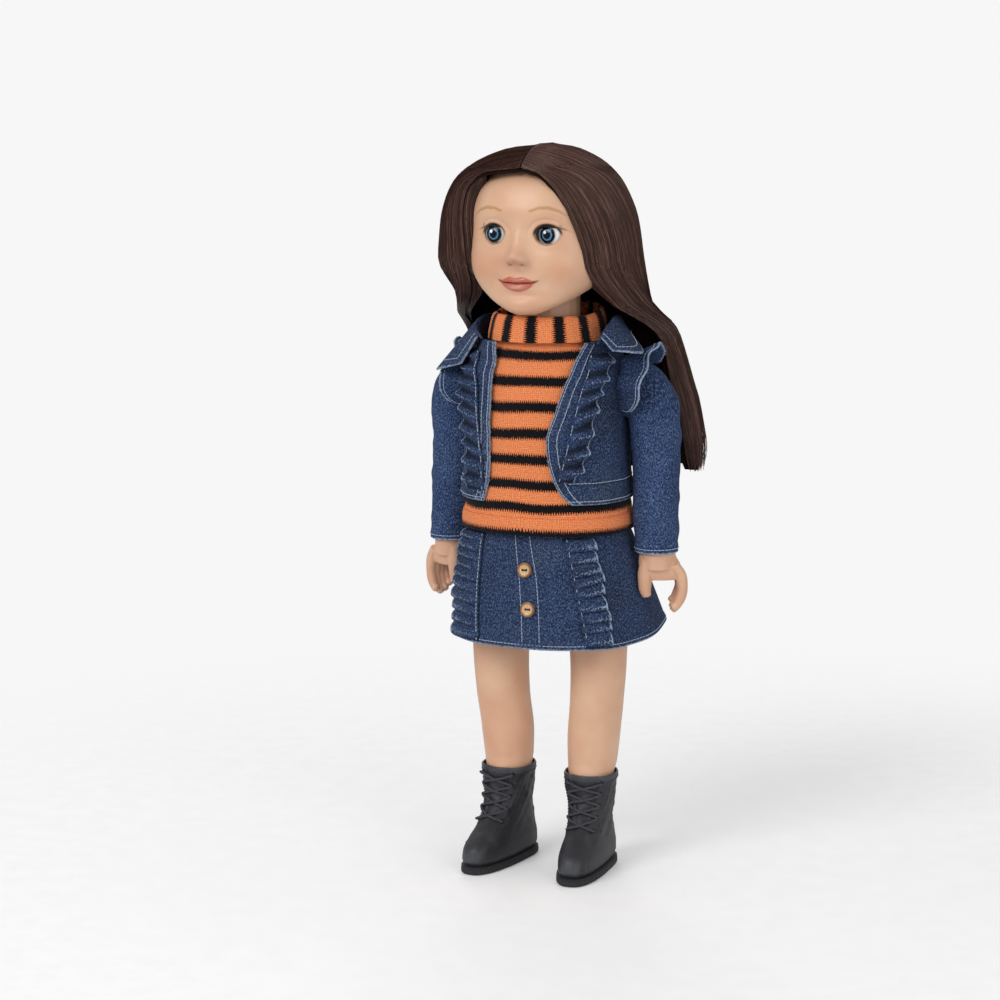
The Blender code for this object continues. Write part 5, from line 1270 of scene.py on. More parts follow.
@dataclass
class SleepEye(Assembly):
    """One sleep eye: eyeball with its painted lid, iris dome and lashes."""

    side: Side = Side.LEFT
    radius: float = 10.0 * MM
    flat: float = 0.86
    rise: float = 0.3 * MM
    lid_turn: float = 29.0
    gaze: float = -5.5

    @property
    def centre(self) -> Array:
        """Middle of the eyeball."""
        return np.array([self.side.value * Head.eye_spread, Head.eye_seat, Head.eye_height])

    def ball(self) -> Any:
        """Eyeball with the sprayed lid and its dark edge."""
        limit = math.acos(self.flat)
        arc = np.linspace(math.pi, limit, 44)
        profile = [(self.radius * math.cos(a), max(self.radius * math.sin(a), 0.05 * MM)) for a in arc]
        shell = Shell().add_rings(turned(profile, self.centre, (0, -1, 0), 72))
        piece = shell.build(self.side.word + "_eye_white", self.palette.eye, 30.0)
        p = mesh_points(piece) - self.centre
        turn = np.degrees(np.arctan2(p[:, 2], -p[:, 1]))
        write_mask(piece, "lid", smooth_step(self.lid_turn - 1.0, self.lid_turn + 1.0, np.where(turn < -90, 180, turn)))
        gaze = math.radians(self.gaze)
        off = np.cross(p, np.array([math.sin(gaze), -math.cos(gaze), 0.0]))
        limbus = smooth_step(5.60 * MM, 5.30 * MM, np.linalg.norm(off, axis=-1)) * (p[:, 1] < 0.0)
        write_mask(piece, "edge", np.maximum(limbus, smooth_step(7.0, 3.0, np.abs(turn - self.lid_turn - 3.0))))
        return piece

    def iris(self) -> Any:
        """Clear dome with the printed iris, turned to where the doll looks."""
        limit = math.acos(self.flat)
        rim = 0.94 * math.sin(limit) * self.radius
        outer = self.radius + self.rise
        shares = np.linspace(1.0, 0.02, 16)
        profile = [(self.flat * self.radius + 0.3 * MM, rim)]
        profile += [(math.sqrt(outer**2 - (s * rim) ** 2), s * rim) for s in shares]
        turn = math.radians(self.gaze)
        rings = turned(profile, (0, 0, 0), (math.sin(turn), -math.cos(turn), 0.0), 56)
        shell = Shell()
        across = np.concatenate([[1.0], shares])[:, None] * np.ones(56)
        angle = np.arange(56) * TAU / 56
        spoke = joined(np.cos(angle) * 9.0, np.sin(angle) * 9.0, 0.0)
        shell.add_rings(rings + self.centre, across=across, spoke=np.broadcast_to(spoke, rings.shape))
        piece = shell.build(self.side.word + "_iris_dome", self.palette.iris, 30.0)
        p = mesh_points(piece) - self.centre
        # Painted highlight: a white spot up and left of the pupil, where a lamp's reflection would show
        spot = np.hypot(p[:, 0] - (math.sin(turn) * 10.0 - 1.5) * MM, p[:, 2] - 1.7 * MM)
        write_mask(piece, "light", smooth_step(1.25 * MM, 0.75 * MM, spot))
        return piece

    def lashes(self) -> Any:
        """Rows of tapered lash fibres that stand on the lid's edge."""
        rng = np.random.default_rng(11)
        count, steps = 70, 6
        lift = math.radians(self.lid_turn + 1.0)
        across = np.linspace(-0.66, 0.66, count)
        outward = across * self.side.value
        t = np.linspace(0.0, 1.0, steps)
        azimuth = np.arcsin(across)
        root = joined(np.sin(azimuth), -np.cos(azimuth) * math.cos(lift), np.cos(azimuth) * math.sin(lift))
        root = root * (self.radius + 0.15 * MM)
        length = (1.3 + 1.1 * smooth_step(-0.1, 0.66, outward) + rng.uniform(-0.2, 0.2, count)) * MM
        flick = joined(0.62 * across + 0.10 * self.side.value * (outward > 0), -0.75, 0.10)
        curl = joined(0.35 * across, -0.10, 0.75)
        path = root[:, None] + length[:, None, None] * (flick[:, None] * t[:, None] + curl[:, None] * t[:, None] ** 2)
        shell = Shell()
        shell.add_tubes(path + self.centre, (0.21 * (1.0 - 0.75 * t) * MM)[None], 5, up=(0.93, 0.3, 0.2))
        line = np.linspace(-0.72, 0.72, 30)
        ahead = np.sqrt(1 - line**2)
        band = joined(line, -ahead * math.cos(lift - 0.03), ahead * math.sin(lift - 0.03))
        band = band * (self.radius + 0.12 * MM)
        shell.add_tubes(
            (band + self.centre)[None], 0.42 * MM * np.sqrt(np.clip(1.05 - (line / 0.72) ** 2, 0.12, 1))[None], 8
        )
        return shell.build(self.side.word + "_lash_row", self.palette.lash, 60.0)

    def build(self) -> None:
        """Build the eye's pieces and ride them on the eye's own body."""
        body, word = self.side.word + "_eye", self.side.word
        self.keep(self.ball(), body, "eye_white", word + "_eyeball")
        self.keep(self.iris(), body, "iris_blue", word + "_iris")
        self.keep(self.lashes(), body, "lash_brown", word + "_lashes")
        dress_node(word + "_eye_case", self.palette.case)
        dress_node(word + "_eye_axle", self.palette.steel)
        dress_node(word + "_eye_weight", self.palette.steel)


@dataclass
class Hair(Assembly):
    """Long straight hair, parted in the middle and laid behind the shoulders."""

    cap_bottom: float = 358.0 * MM
    cap_height: float = 99.0 * MM
    half_width: float = 64.0 * MM
    depth: float = 56.0 * MM
    fall_length: float = 108.0 * MM
    fall_half_width: float = 50.0 * MM
    fall_thickness: float = 11.0 * MM
    lock_spread: float = 88.0 * MM
    locks_each_side: int = 1250
    part_place: float = 0.6 * MM
    # Height from the cap's edge, half widths on -X and +X, front and back
    sections: Shares = (
        (0.000, 1.03, 0.98, 0.48, 0.94),
        (0.120, 1.09, 0.94, 0.60, 0.97),
        (0.280, 1.12, 0.905, 0.74, 0.99),
        (0.410, 1.10, 0.885, 0.80, 1.00),
        (0.540, 1.07, 0.85, 0.86, 0.99),
        (0.650, 1.02, 0.79, 0.87, 0.95),
        (0.760, 0.93, 0.705, 0.86, 0.86),
        (0.840, 0.80, 0.60, 0.81, 0.75),
        (0.910, 0.62, 0.46, 0.69, 0.61),
        (0.975, 0.34, 0.25, 0.44, 0.36),
        (1.000, 0.12, 0.09, 0.24, 0.14),
    )
    # Height from the chin, then the face opening's half widths on -X and +X
    hairline: Shares = (
        (-0.10, 0.80, 0.80),
        (0.10, 0.86, 0.80),
        (0.26, 0.93, 0.80),
        (0.40, 0.955, 0.79),
        (0.53, 0.955, 0.745),
        (0.67, 0.945, 0.645),
        (0.80, 0.90, 0.51),
        (0.88, 0.77, 0.385),
        (0.935, 0.54, 0.24),
        (0.962, 0.10, 0.05),
    )
    # Place down the fall, then the side lock's place across, place back, width and depth
    locks: Shares = (
        (0.00, 0.650, 0.24, 0.100, 0.42),
        (0.07, 0.700, 0.40, 0.090, 0.36),
        (0.15, 0.715, 0.60, 0.092, 0.26),
        (0.26, 0.725, 0.77, 0.100, 0.15),
        (0.42, 0.745, 0.83, 0.130, 0.13),
        (0.60, 0.795, 0.85, 0.150, 0.12),
        (0.82, 0.850, 0.85, 0.145, 0.11),
        (1.00, 0.890, 0.84, 0.080, 0.06),
    )
    # Place down the fall, then the back fall's half width, place back and thickness
    back_fall: Shares = (
        (0.00, 0.90, 0.835, 0.95),
        (0.07, 0.96, 0.898, 0.95),
        (0.22, 1.04, 0.905, 1.06),
        (0.50, 1.12, 0.900, 1.00),
        (0.80, 1.18, 0.890, 0.85),
        (1.00, 1.00, 0.870, 0.45),
    )

    def cap(self, share: Any, angle: Any, grow: float = 0.0) -> Array:
        """Points on the hair's outer form over the skull."""
        share, angle = one_shape(share, angle)
        left, right, front, back = read_shares(self.sections, share)
        w, d = self.half_width, self.depth
        x, y = oval(angle, left * w + grow, right * w + grow, front * d + grow, back * d + grow, 2.15)
        rise = grow * np.maximum(0.0, (share - 0.8) / 0.2)
        return joined(x, y, self.cap_bottom + share * self.cap_height + rise)

    def face_angle(self, side: int, height: Array) -> Array:
        """Angle at which the hair's edge beside the face lies at a height."""
        share = (height - Head.base) / Head.height
        minus, plus = read_shares(self.hairline, share)
        reach = np.where(share > 0.962, 0.0, (plus if side > 0 else minus) * Head.half_width)
        left, right, _, _ = read_shares(self.sections, (height - self.cap_bottom) / self.cap_height)
        width = (right if side > 0 else left) * self.half_width
        return np.arcsin(np.clip(reach / width, 0.0, 1.0) ** (2.15 / 2.0))

    def fall_line(self, side: int, share: Array, place: Array, layer: Array) -> Array:
        """Points in the falls behind the shoulders.

        Args:
            side: 1 for the doll's left, -1 for its right.
            share: Place down the fall, 0 at its top.
            place: Place round the fall, 0 in front and 1 at the back's middle.
            layer: Place through the thickness, -1 inside to 1 outside.

        Returns:
            Points, last axis x, y, z.
        """
        across, middle, width, depth = read_shares(self.locks, share)
        wide, back_place, thick = read_shares(self.back_fall, share)
        cx, cy = across * self.lock_spread, middle * self.depth
        w, d = width * self.lock_spread, depth * self.depth
        corner_x, corner_y = wide * self.fall_half_width * 0.92, back_place * self.depth
        # First third of the places goes round the side lock, the rest along the back
        t = np.clip(place / 0.42, 0.0, 1.0)
        turn = math.pi * t
        lock_x = cx + w * np.sin(turn) * 0.85 * (0.5 + 0.5 * layer)
        lock_y = cy - d * np.cos(turn) * (0.80 + 0.12 * layer)
        lock_x = lock_x - w * 0.9 * smooth_step(0.7, 1.0, t) * share
        s = np.clip((place - 0.42) / 0.58, 0.0, 1.0)
        full = corner_x * (1.0 + 0.20 * smooth_step(0.55, 0.0, share))
        back_x = full * np.sin(0.5 * math.pi * (1.0 - s)) ** 0.93
        back_y = corner_y + 0.42 * thick * self.fall_thickness * layer
        mix = smooth_step(0.36, 0.52, place)
        x = lock_x * (1.0 - mix) + back_x * mix
        y = lock_y * (1.0 - mix) + back_y * mix
        z = self.cap_bottom - share * self.fall_length
        return joined(side * x, y, z)

    @staticmethod
    def steps(count: int) -> Array:
        """Shares of a length at its steps, close together at the root."""
        return np.linspace(0.0, 1.0, count)[None, :] ** 1.8

    def flow(self, side: int, q: Array, q_t: Array, depth: Array, end: Array, sink: float = 0.0) -> Array:
        """Lay lengths of hair from the parting over the skull to their tips.

        Args:
            side: 1 for the doll's left, -1 for its right.
            q: Root's place, 0 at the face and 1 at the back of the parting.
            q_t: Place round the head at each step of each length.
            depth: Place through the hair, 1 on its face.
            end: Share of the fall that each length reaches.
            sink: How far the roots lie under the hair's face, in metres.

        Returns:
            Paths, first axis over the lengths and second along them.
        """
        t = self.steps(q_t.shape[1])
        # Roots run up the front of the parting, over the crown and down behind it
        root_share = np.where(q < 0.48, 0.868 + 0.132 * (np.minimum(q, 0.48) / 0.48) ** 0.8, 1.0)
        root_share = root_share - 0.07 * np.clip((q - 0.66) / 0.34, 0.0, 1.0)
        start = (math.pi * smooth_step(0.46, 0.68, q))[:, None]
        run = (self.cap_height * root_share + self.fall_length * end)[:, None] * t
        height = self.cap_bottom + (self.cap_height * root_share)[:, None] - run
        share = np.clip((height - self.cap_bottom) / self.cap_height, 0.0, 1.0)
        drop = root_share[:, None] - share
        edge = self.face_angle(side, np.maximum(height, 0.36))
        inset = 0.02 if side > 0 else -0.03
        target = edge + inset + (math.pi - edge - inset) * q_t**1.05
        away = 1.0 - np.exp(-drop / (0.030 + 0.028 * q_t))
        angle = start + (target - start) * away
        angle = np.where(angle < edge * 0.98, np.minimum(edge, target), angle)
        lift = (depth[:, None] - 1.0) * 2.4 * MM * smooth_step(0.0, 0.12, drop)
        on_cap = self.cap(share, side * angle)
        out = on_cap.copy()
        out[..., 2] = 0.0
        on_cap = on_cap + unit(out) * lift[..., None]
        on_cap[..., 0] *= smooth_step(-0.004, 0.028, drop)
        bare = self.part_place * (1.0 - smooth_step(0.22, 0.40, q))[:, None]
        on_cap[..., 0] += side * bare * smooth_step(0.02, 0.0, drop)
        fall = np.clip((self.cap_bottom - height) / self.fall_length, 0.0, 1.0)
        in_fall = self.fall_line(
            side, fall, q_t, np.broadcast_to(np.maximum(depth[:, None] * 2.0 - 1.0, -1.0), q_t.shape)
        )
        # The lengths behind turn from the skull to the fall more gently than those beside the face
        behind = smooth_step(0.34, 0.62, q_t)
        mix = smooth_step((385.0 + 22.0 * behind) * MM, (340.0 - 14.0 * behind) * MM, height)[..., None]
        path = on_cap * (1.0 - mix) + in_fall * mix
        path[..., 2] = height - sink * smooth_step(0.30, 0.06, drop)
        return path

    def strands(
        self, side: int, count: int, seed: int, layer: tuple[float, float], reach: float = 1.0, steps: int = 38
    ) -> tuple[Array, Array, Array]:
        """Centre lines of strands from the parting to the tips.

        Args:
            side: 1 for the doll's left, -1 for its right.
            count: How many strands.
            seed: Seed of their unevenness.
            layer: Least and most place through the hair, 1 on its face.
            reach: Share of the way round the head that they cover.
            steps: Points along each strand.

        Returns:
            Paths, a shade for each strand, and each one's thickness.
        """
        rng = np.random.default_rng(seed)
        q = reach * np.sort(rng.uniform(0.0, 1.0, count)) ** 1.12
        # Neighbours gather into locks of about two dozen strands, some raised
        lock = np.floor(q * 52.0 + rng.uniform(-0.3, 0.3, count))
        depth = rng.uniform(layer[0], layer[1], count) + 0.16 * np.sin(lock * 2.9 + side)
        t = self.steps(steps)
        gather = smooth_step(0.15, 1.0, t) * 0.5
        q_t = np.clip(q[:, None] + ((lock + 0.5) / 52.0 - q)[:, None] * gather, 0.0, 1.0)
        end = 1.0 - 0.17 * rng.uniform(0.0, 1.0, count) ** 1.5 - 0.012 * (1.0 + np.sin(lock * 1.7))
        path = self.flow(side, q, q_t, depth, end)
        sway = smooth_step(0.3, 1.0, t)[..., None]
        swing = np.stack([ripple(seed + k, path * np.array([1.0, 1.0, 0.35]), 34.0 * MM, 1) for k in (1, 2)], -1)
        path[..., :2] += swing * 0.8 * MM * sway + rng.normal(size=(count, 1, 2)) * 0.5 * MM * sway
        shade = 0.50 + 0.20 * np.sin(lock * 2.4 + seed) + rng.uniform(-0.40, 0.40, count)
        return path, shade, rng.uniform(0.6, 1.15, count)

    def scalp_shell(self) -> Any:
        """Dark rooted base of the hair under the lengths on the skull, its darkness painted shade."""
        rows = np.concatenate([np.linspace(0.10, 0.8, 30)[:-1], np.linspace(0.8, 1.0, 16)])
        cols = 120
        angles = full_turn(cols)
        grid = self.cap(rows[:, None], angles[None, :], -4.2 * MM)
        # It draws in below the ears, where the lengths turn to the back
        grid[..., :2] *= (1.0 - 0.13 * smooth_step(0.42, 0.10, rows))[:, None, None]
        shell = Shell()
        cloth = joined(angles[None, :] * 0.06, rows[:, None] * 0.1, 0.0)
        # The low lock value paints this layer darker, as shade under the lengths
        shell.add_rings(grid, cloth=cloth, lock=np.full(grid.shape[:2], 0.05))
        piece = shell.build("hair_scalp", self.palette.hair_base, 60.0)
        head = Head(self.sizes, self.palette)
        skull = Shell()
        shares = np.array(
            [0.0, 0.06, 0.14, 0.205, 0.265, 0.34, 0.41, 0.51, 0.58, 0.66, 0.74, 0.82, 0.89, 0.945, 0.985, 1.0]
        )
        skull.add_rings(head.surface(shares[:, None], full_turn(60)[None, :], 1.2 * MM, False))
        carve(piece, [skull, self.window()])
        return piece

    def window(self, wider: float = 2.0 * MM) -> Shell:
        """Cutter of the face opening, wider than the lengths' edge."""
        share = np.linspace(-0.10, 0.962, 34)
        minus, plus = read_shares(self.hairline, share)
        z = Head.base + share * Head.height
        sides = [
            joined(reach, z) for reach in (plus * Head.half_width + wider, -minus * Head.half_width - wider)
        ]
        outline = np.concatenate([sides[0], sides[1][::-1]])
        rings = [joined(outline[:, 0], y, outline[:, 1]) for y in (1.1 * MM, -80.0 * MM)]
        shell = Shell().add_rings(np.stack(rings))
        return shell

    def fall_shell(self) -> Any:
        """Closed bodies of the side locks and the back fall."""
        shell = Shell()
        rows = np.linspace(0.16, 0.985, 40)
        across, middle, width, depth = read_shares(self.locks, rows)
        wide, back_place, thick = read_shares(self.back_fall, rows)
        z = self.cap_bottom - 0.3 * MM - rows * self.fall_length
        for side in (1, -1, 0):
            turn = full_turn(72)
            if side:
                w, d = 0.62 * width * self.lock_spread, 0.74 * depth * self.depth
                x, y = oval(turn[None], w[:, None], w[:, None], d[:, None], d[:, None], 2.2)
                x, y = x + (side * across * self.lock_spread)[:, None], y + (middle * self.depth)[:, None]
            else:
                w, d = 0.90 * wide * self.fall_half_width, 0.26 * thick * self.fall_thickness
                x, y = oval(turn[None], w[:, None], w[:, None], d[:, None], d[:, None], 3.0)
                y = y + (back_place * self.depth)[:, None]
            grid = joined(x, y, z[:, None])
            groove = ripple(9 + side, joined(turn * 0.02, 0.0, 0.0)[None] + 0.0 * grid, 0.006, 2)
            grid[..., 1] += groove * 0.35 * MM
            cloth = joined(turn[None] * 0.03, rows[:, None] * 0.1, 0.0)
            # The low lock value paints these bodies darker, as shade under the lengths
            shell.add_rings(grid, cloth=cloth, lock=np.full(grid.shape[:2], 0.1))
        return shell.build("hair_falls", self.palette.hair_base, 60.0)

    def under_layer(self, side: Side) -> Any:
        """Closed lower layer of one side, so that no light falls through."""
        q = np.linspace(0.0, 1.0, 110)
        steps = 46
        grid = self.flow(
            side.value,
            q,
            np.broadcast_to(q[:, None], (len(q), steps)),
            np.full(len(q), 0.20),
            np.full(len(q), 0.96),
            2.2 * MM,
        )
        shell = Shell()
        groove = ripple(side.value + 5, joined(q, 0.0, 0.0)[:, None] + 0.0 * grid, 0.02, 2)
        # The low lock value paints this layer darker, as shade under the lengths
        shell.add_cloth(grid, 1.0 * MM, False, lock=0.12 + 0.1 * groove)
        return shell.build("hair_under_layer_" + side.word, self.palette.hair_base, 60.0)

    def lock_mesh(self, side: Side) -> Any:
        """All strands of one side as tapered tubes."""
        shell = Shell()
        # The last set fills the hair's thickness where it ends beside the face
        sets = (
            (21, self.locks_each_side, (0.50, 1.0), 0.34, 1.0),
            (57, 260, (0.96, 1.10), 0.24, 1.0),
            (83, 240, (-4.6, 1.0), 0.36, 0.022),
        )
        for seed, count, layer, radius, reach in sets:
            path, shade, thick = self.strands(side.value, count, seed + side.value, layer, reach)
            steps = path.shape[1]
            t = self.steps(steps)
            taper = radius * MM * thick[:, None] * (0.5 + 0.5 * smooth_step(0.0, 0.06, t)) * (
                1.0 - 0.75 * smooth_step(0.8, 1.0, t)
            )
            place = np.arange(count)[:, None] * 3.7 * MM + 0.0 * t
            cloth = joined(place, 0.0 * place + t * 0.2, 0.0)
            shell.add_tubes(
                path,
                taper,
                3,
                up=(0.05, 0.999, 0.02),
                lock=np.broadcast_to(shade[:, None], (count, steps)),
                cloth=cloth,
            )
        return shell.build("hair_strands_" + side.word, self.palette.hair, 80.0)

    def build(self) -> None:
        """Build the hair; its lengths turn between the head and the back."""
        self.keep(self.scalp_shell(), "head", "hair", "hair_cap")
        falls = self.fall_shell()
        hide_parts("hair_back_fall", "hair_left_fall", "hair_right_fall")
        pieces = [falls] + [self.lock_mesh(side) for side in Side] + [self.under_layer(side) for side in Side]
        for piece in pieces:
            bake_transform(piece)
            self.made.append(piece.name)


@dataclass
class Limbs(Assembly):
    """Vinyl arms with moulded grip hands, vinyl legs and the bare torso."""

    hand_length: float = 37.0 * MM
    hand_width: float = 32.0 * MM
    hand_half_thickness: float = 7.6 * MM
    finger_radius: float = 3.3 * MM
    hand_turn: float = 30.0
    knee_half_width: float = 16.8 * MM
    hip_seat: float = 10.1 * MM
    stud_seat: float = 9.7 * MM
    thigh_width: float = 39.4 * MM
    thigh_disc: float = 25.0 * MM
    limb: Shares = (
        (0.00, 0.000, 0.04, 1.00),
        (0.22, 0.000, 0.12, 0.97),
        (0.42, 0.045, 0.06, 0.935),
        (0.65, 0.100, -0.06, 0.895),
        (0.82, 0.145, -0.16, 0.845),
        (0.96, 0.180, -0.22, 0.80),
    )
    legs: Shares = (
        (1.07, 1.00, 0.98, 1.14, 0.00),
        (1.00, 1.01, 1.13, 1.22, 0.00),
        (0.90, 1.05, 1.12, 1.18, 0.00),
        (0.79, 1.08, 1.09, 1.12, 0.00),
        (0.70, 1.08, 1.05, 1.06, 0.00),
        (0.57, 1.04, 1.00, 1.03, 0.02),
        (0.45, 0.96, 0.98, 1.03, 0.09),
        (0.345, 0.925, 0.91, 0.92, 0.08),
    )
    palm: Shares = (
        (-0.10, 0.02, 0.34, 1.18),
        (0.02, 0.02, 0.36, 1.15),
        (0.16, 0.06, 0.41, 1.08),
        (0.31, 0.10, 0.42, 1.00),
        (0.42, 0.13, 0.34, 0.80),
    )
    # Place across the palm, place down the hand and thickness at each knuckle
    fingers: Shares = ((0.32, 0.16, 1.0), (0.46, 0.36, 1.04), (0.49, 0.60, 1.0), (0.41, 0.84, 0.92), (0.29, 0.96, 0.72))
    thumb: Shares = ((-0.18, 0.10, 1.5), (-0.24, 0.36, 1.4), (-0.24, 0.55, 1.22), (-0.20, 0.70, 0.82))

    def arm_rings(self, grow: float, sides: int, last: float, bend: int = 12, rows: int = 12) -> Array:
        """Rings of the arm from its seat round the armpit toward the wrist.

        Args:
            grow: Distance outside the bare arm in metres.
            sides: Points round each ring.
            last: Where the rings end, 1 at the wrist.
            bend: Rings round the armpit.
            rows: Rings below it.

        Returns:
            Rings for the arm on +X.
        """
        s = self.sizes
        pit = np.array([s.armhole_plane, 0.0, s.shoulder_height - s.sleeve_radius])
        cover = s.sleeve_ease + s.denim_wall
        turn = np.radians(np.linspace(0.0, 90.0, bend))
        reach = joined(np.sin(turn), 0.0, np.cos(turn))
        full = s.sleeve_radius + (s.arm_radius + cover - s.sleeve_radius) * turn / turn[-1]
        centre = pit + reach * full[:, None]
        centre[:, 1] = s.setback
        radius = full - cover + grow
        share = np.linspace(0.0, last, rows + 1)[1:]
        out, back, size = read_shares(self.limb, share)
        drop = s.arm_length - s.sleeve_radius
        low = np.stack(
            [
                s.armhole_plane + s.arm_radius + cover + out * s.arm_radius,
                s.setback + back * s.arm_radius,
                pit[2] - share * drop,
            ],
            -1,
        )
        centre = np.concatenate([centre, low])
        radius = np.concatenate([radius, size * s.arm_radius + grow])
        reach = np.concatenate([reach, np.tile([1.0, 0.0, 0.0], (rows, 1))])
        a = full_turn(sides)[None, :, None]
        ring = reach[:, None] * np.cos(a) + np.array([0.0, 1.0, 0.0]) * np.sin(a)
        return centre[:, None] + ring * radius[:, None, None]

    def wrist(self) -> Array:
        """Middle of the wrist on +X."""
        s = self.sizes
        out, back, _ = read_shares(self.limb, 1.0)
        x = s.armhole_plane + s.arm_radius + s.sleeve_ease + s.denim_wall + out * s.arm_radius
        return np.array([float(x), float(s.setback + back * s.arm_radius), s.shoulder_height - s.arm_length])

    def hand(self, shell: Shell) -> None:
        """Add the palm, the curled fingers and the thumb of the hand on +X."""
        turn = math.radians(self.hand_turn)
        across = np.array([math.cos(turn), math.sin(turn), 0.0])
        thick = np.array([math.sin(turn), -math.cos(turn), 0.0])
        start = self.wrist()

        def place(h: Any, d: Any, n: Any) -> Array:
            h, d, n = np.broadcast_arrays(np.asarray(h, float), d, n)
            point = start + across * h[..., None] * self.hand_width + thick * n[..., None]
            return point - np.array([0.0, 0.0, self.hand_length]) * d[..., None]

        d = np.linspace(-0.10, 0.42, 14)
        middle, half, deep = read_shares(self.palm, d)
        a = full_turn(28)
        rings = place(
            middle[:, None] + half[:, None] * np.cos(a),
            d[:, None],
            deep[:, None] * np.sin(a) * self.hand_half_thickness,
        )
        shell.add_rings(rings)
        fine = np.linspace(0.0, 4.0, 22)
        spread = self.hand_half_thickness - self.finger_radius
        for i, length in enumerate((0.94, 1.0, 0.96, 0.86)):
            lane = spread * (1.0 - 2.0 * i / 3.0) * 1.25
            h, d, size = read_shares(np.column_stack([range(5), self.fingers]), fine)
            d = 0.1 + (d - 0.1) * length
            # Joints bulge a little, as sculpted fingers do
            size = size * (1.0 + 0.035 * np.cos(fine * TAU / 1.33)) * np.where(fine > 3.85, 0.72, 1.0)
            shell.add_tubes(place(h, d, lane)[None], (size * self.finger_radius)[None], 16, up=thick)
        h, d, size = read_shares(np.column_stack([range(4), self.thumb]), np.linspace(0.0, 3.0, 18))
        shell.add_tubes(
            place(h, d, 0.35 * self.hand_half_thickness)[None], (size * self.finger_radius)[None], 18, up=thick
        )

    def merge(self, shell: Shell, name: str, voxel: float, rounds: int) -> Any:
        """Cast overlapping closed forms into one smooth skin."""
        piece = shell.build(name, None)
        apply_step(piece, "REMESH", mode="VOXEL", voxel_size=voxel, use_smooth_shade=True)
        apply_step(piece, "SMOOTH", factor=0.5, iterations=rounds)
        piece.data.materials.clear()
        piece.data.materials.append(self.palette.skin)
        piece.data.shade_smooth()
        return piece

    @staticmethod
    def mirror(piece: Any, name: str) -> Any:
        """Copy of a piece on the doll's other side."""
        other = piece.copy()
        other.data = piece.data.copy()
        other.name = name
        bpy.context.scene.collection.objects.link(other)
        other.data.transform(Matrix.Scale(-1.0, 4, (1.0, 0.0, 0.0)))
        other.data.flip_normals()
        return other

    def arm(self) -> Any:
        """Arm on +X with its stud and hand."""
        shell = Shell()
        s = self.sizes
        rings = self.arm_rings(0.0, 32, 1.1)
        seat = rings[:1].copy()
        seat[..., 0] = s.shoulder_seat + s.run_gap
        shell.add_rings(np.concatenate([seat, rings]))
        middle = (s.shoulder_seat, s.setback, s.shoulder_height)
        shell.add_rings(turned(s.stud(2.0 * s.run_gap + s.stud_radius), middle, (-1, 0, 0), 32))
        self.hand(shell)
        return self.merge(shell, "left_arm_vinyl", 0.5 * MM, 5)

    def leg(self) -> Any:
        """Leg on +X with its hip disc and stud."""
        shell = Shell()
        s = self.sizes
        boots = Boots(self.sizes, self.palette)
        turn = full_turn(40)
        rings = []
        for share in np.concatenate([[0.14], np.linspace(0.2, 1.0, 12)]):
            level = 7.1 * MM if share == 0.14 else None
            rings.append(boots.ring(float(share), -2.3 * MM, turn, level))
        for share in np.linspace(0.36, 1.07, 26):
            out, width, depth, back = read_shares(self.legs, share)
            x, y = oval(
                turn,
                width * self.knee_half_width,
                width * self.knee_half_width,
                depth * self.knee_half_width,
                depth * self.knee_half_width,
                2.1,
            )
            z = share * s.hip_height
            # Kneecap in front, hollow of the knee behind
            knee = math.exp(-(((share - 0.585) / 0.05) ** 2))
            for height, sense in ((1.0 * MM, 1), (0.8 * MM, -1)):
                y = y - height * knee * np.clip(sense * np.cos(turn), 0, 1) ** 3
            centre = out * (self.hip_seat + 0.53 * self.thigh_width)
            rings.append(joined(centre + x, back * self.knee_half_width + y, z))
        shell.add_rings(np.stack(rings))
        edge = 0.12 * self.thigh_width
        arc = np.linspace(0.0, 1.0, 8)
        disc = [(0.0, self.thigh_disc), (self.thigh_width - 2 * edge, self.thigh_disc)]
        disc += [(self.thigh_width - 2 * edge * (1 - t), self.thigh_disc - 2.4 * edge * t**2) for t in arc[1:]]
        shell.add_rings(turned(disc, (self.hip_seat, 0.0, s.hip_height), (1, 0, 0), 56))
        shell.add_rings(turned(s.stud(5.0 * MM), (self.stud_seat, 0.0, s.hip_height), (-1, 0, 0), 32))
        return self.merge(shell, "left_leg_vinyl", 0.75 * MM, 4)

    def build(self) -> None:
        """Build both arms and legs; the torso keeps its CAD form."""
        for maker, name, node in ((self.arm, "arm", "_arm"), (self.leg, "leg", "_leg")):
            left = maker()
            right = self.mirror(left, "right_" + name + "_vinyl")
            self.keep(left, "left_" + name, "vinyl_skin", "left" + node)
            self.keep(right, "right_" + name, "vinyl_skin", "right" + node)
        dress_node("torso", self.palette.skin)


def dress_node(name: str, finish: bpy.types.Material) -> None:
    """Give a kept CAD node its finish in all of its material slots."""
    if name in bpy.data.objects:
        for slot in bpy.data.objects[name].material_slots:
            slot.material = finish


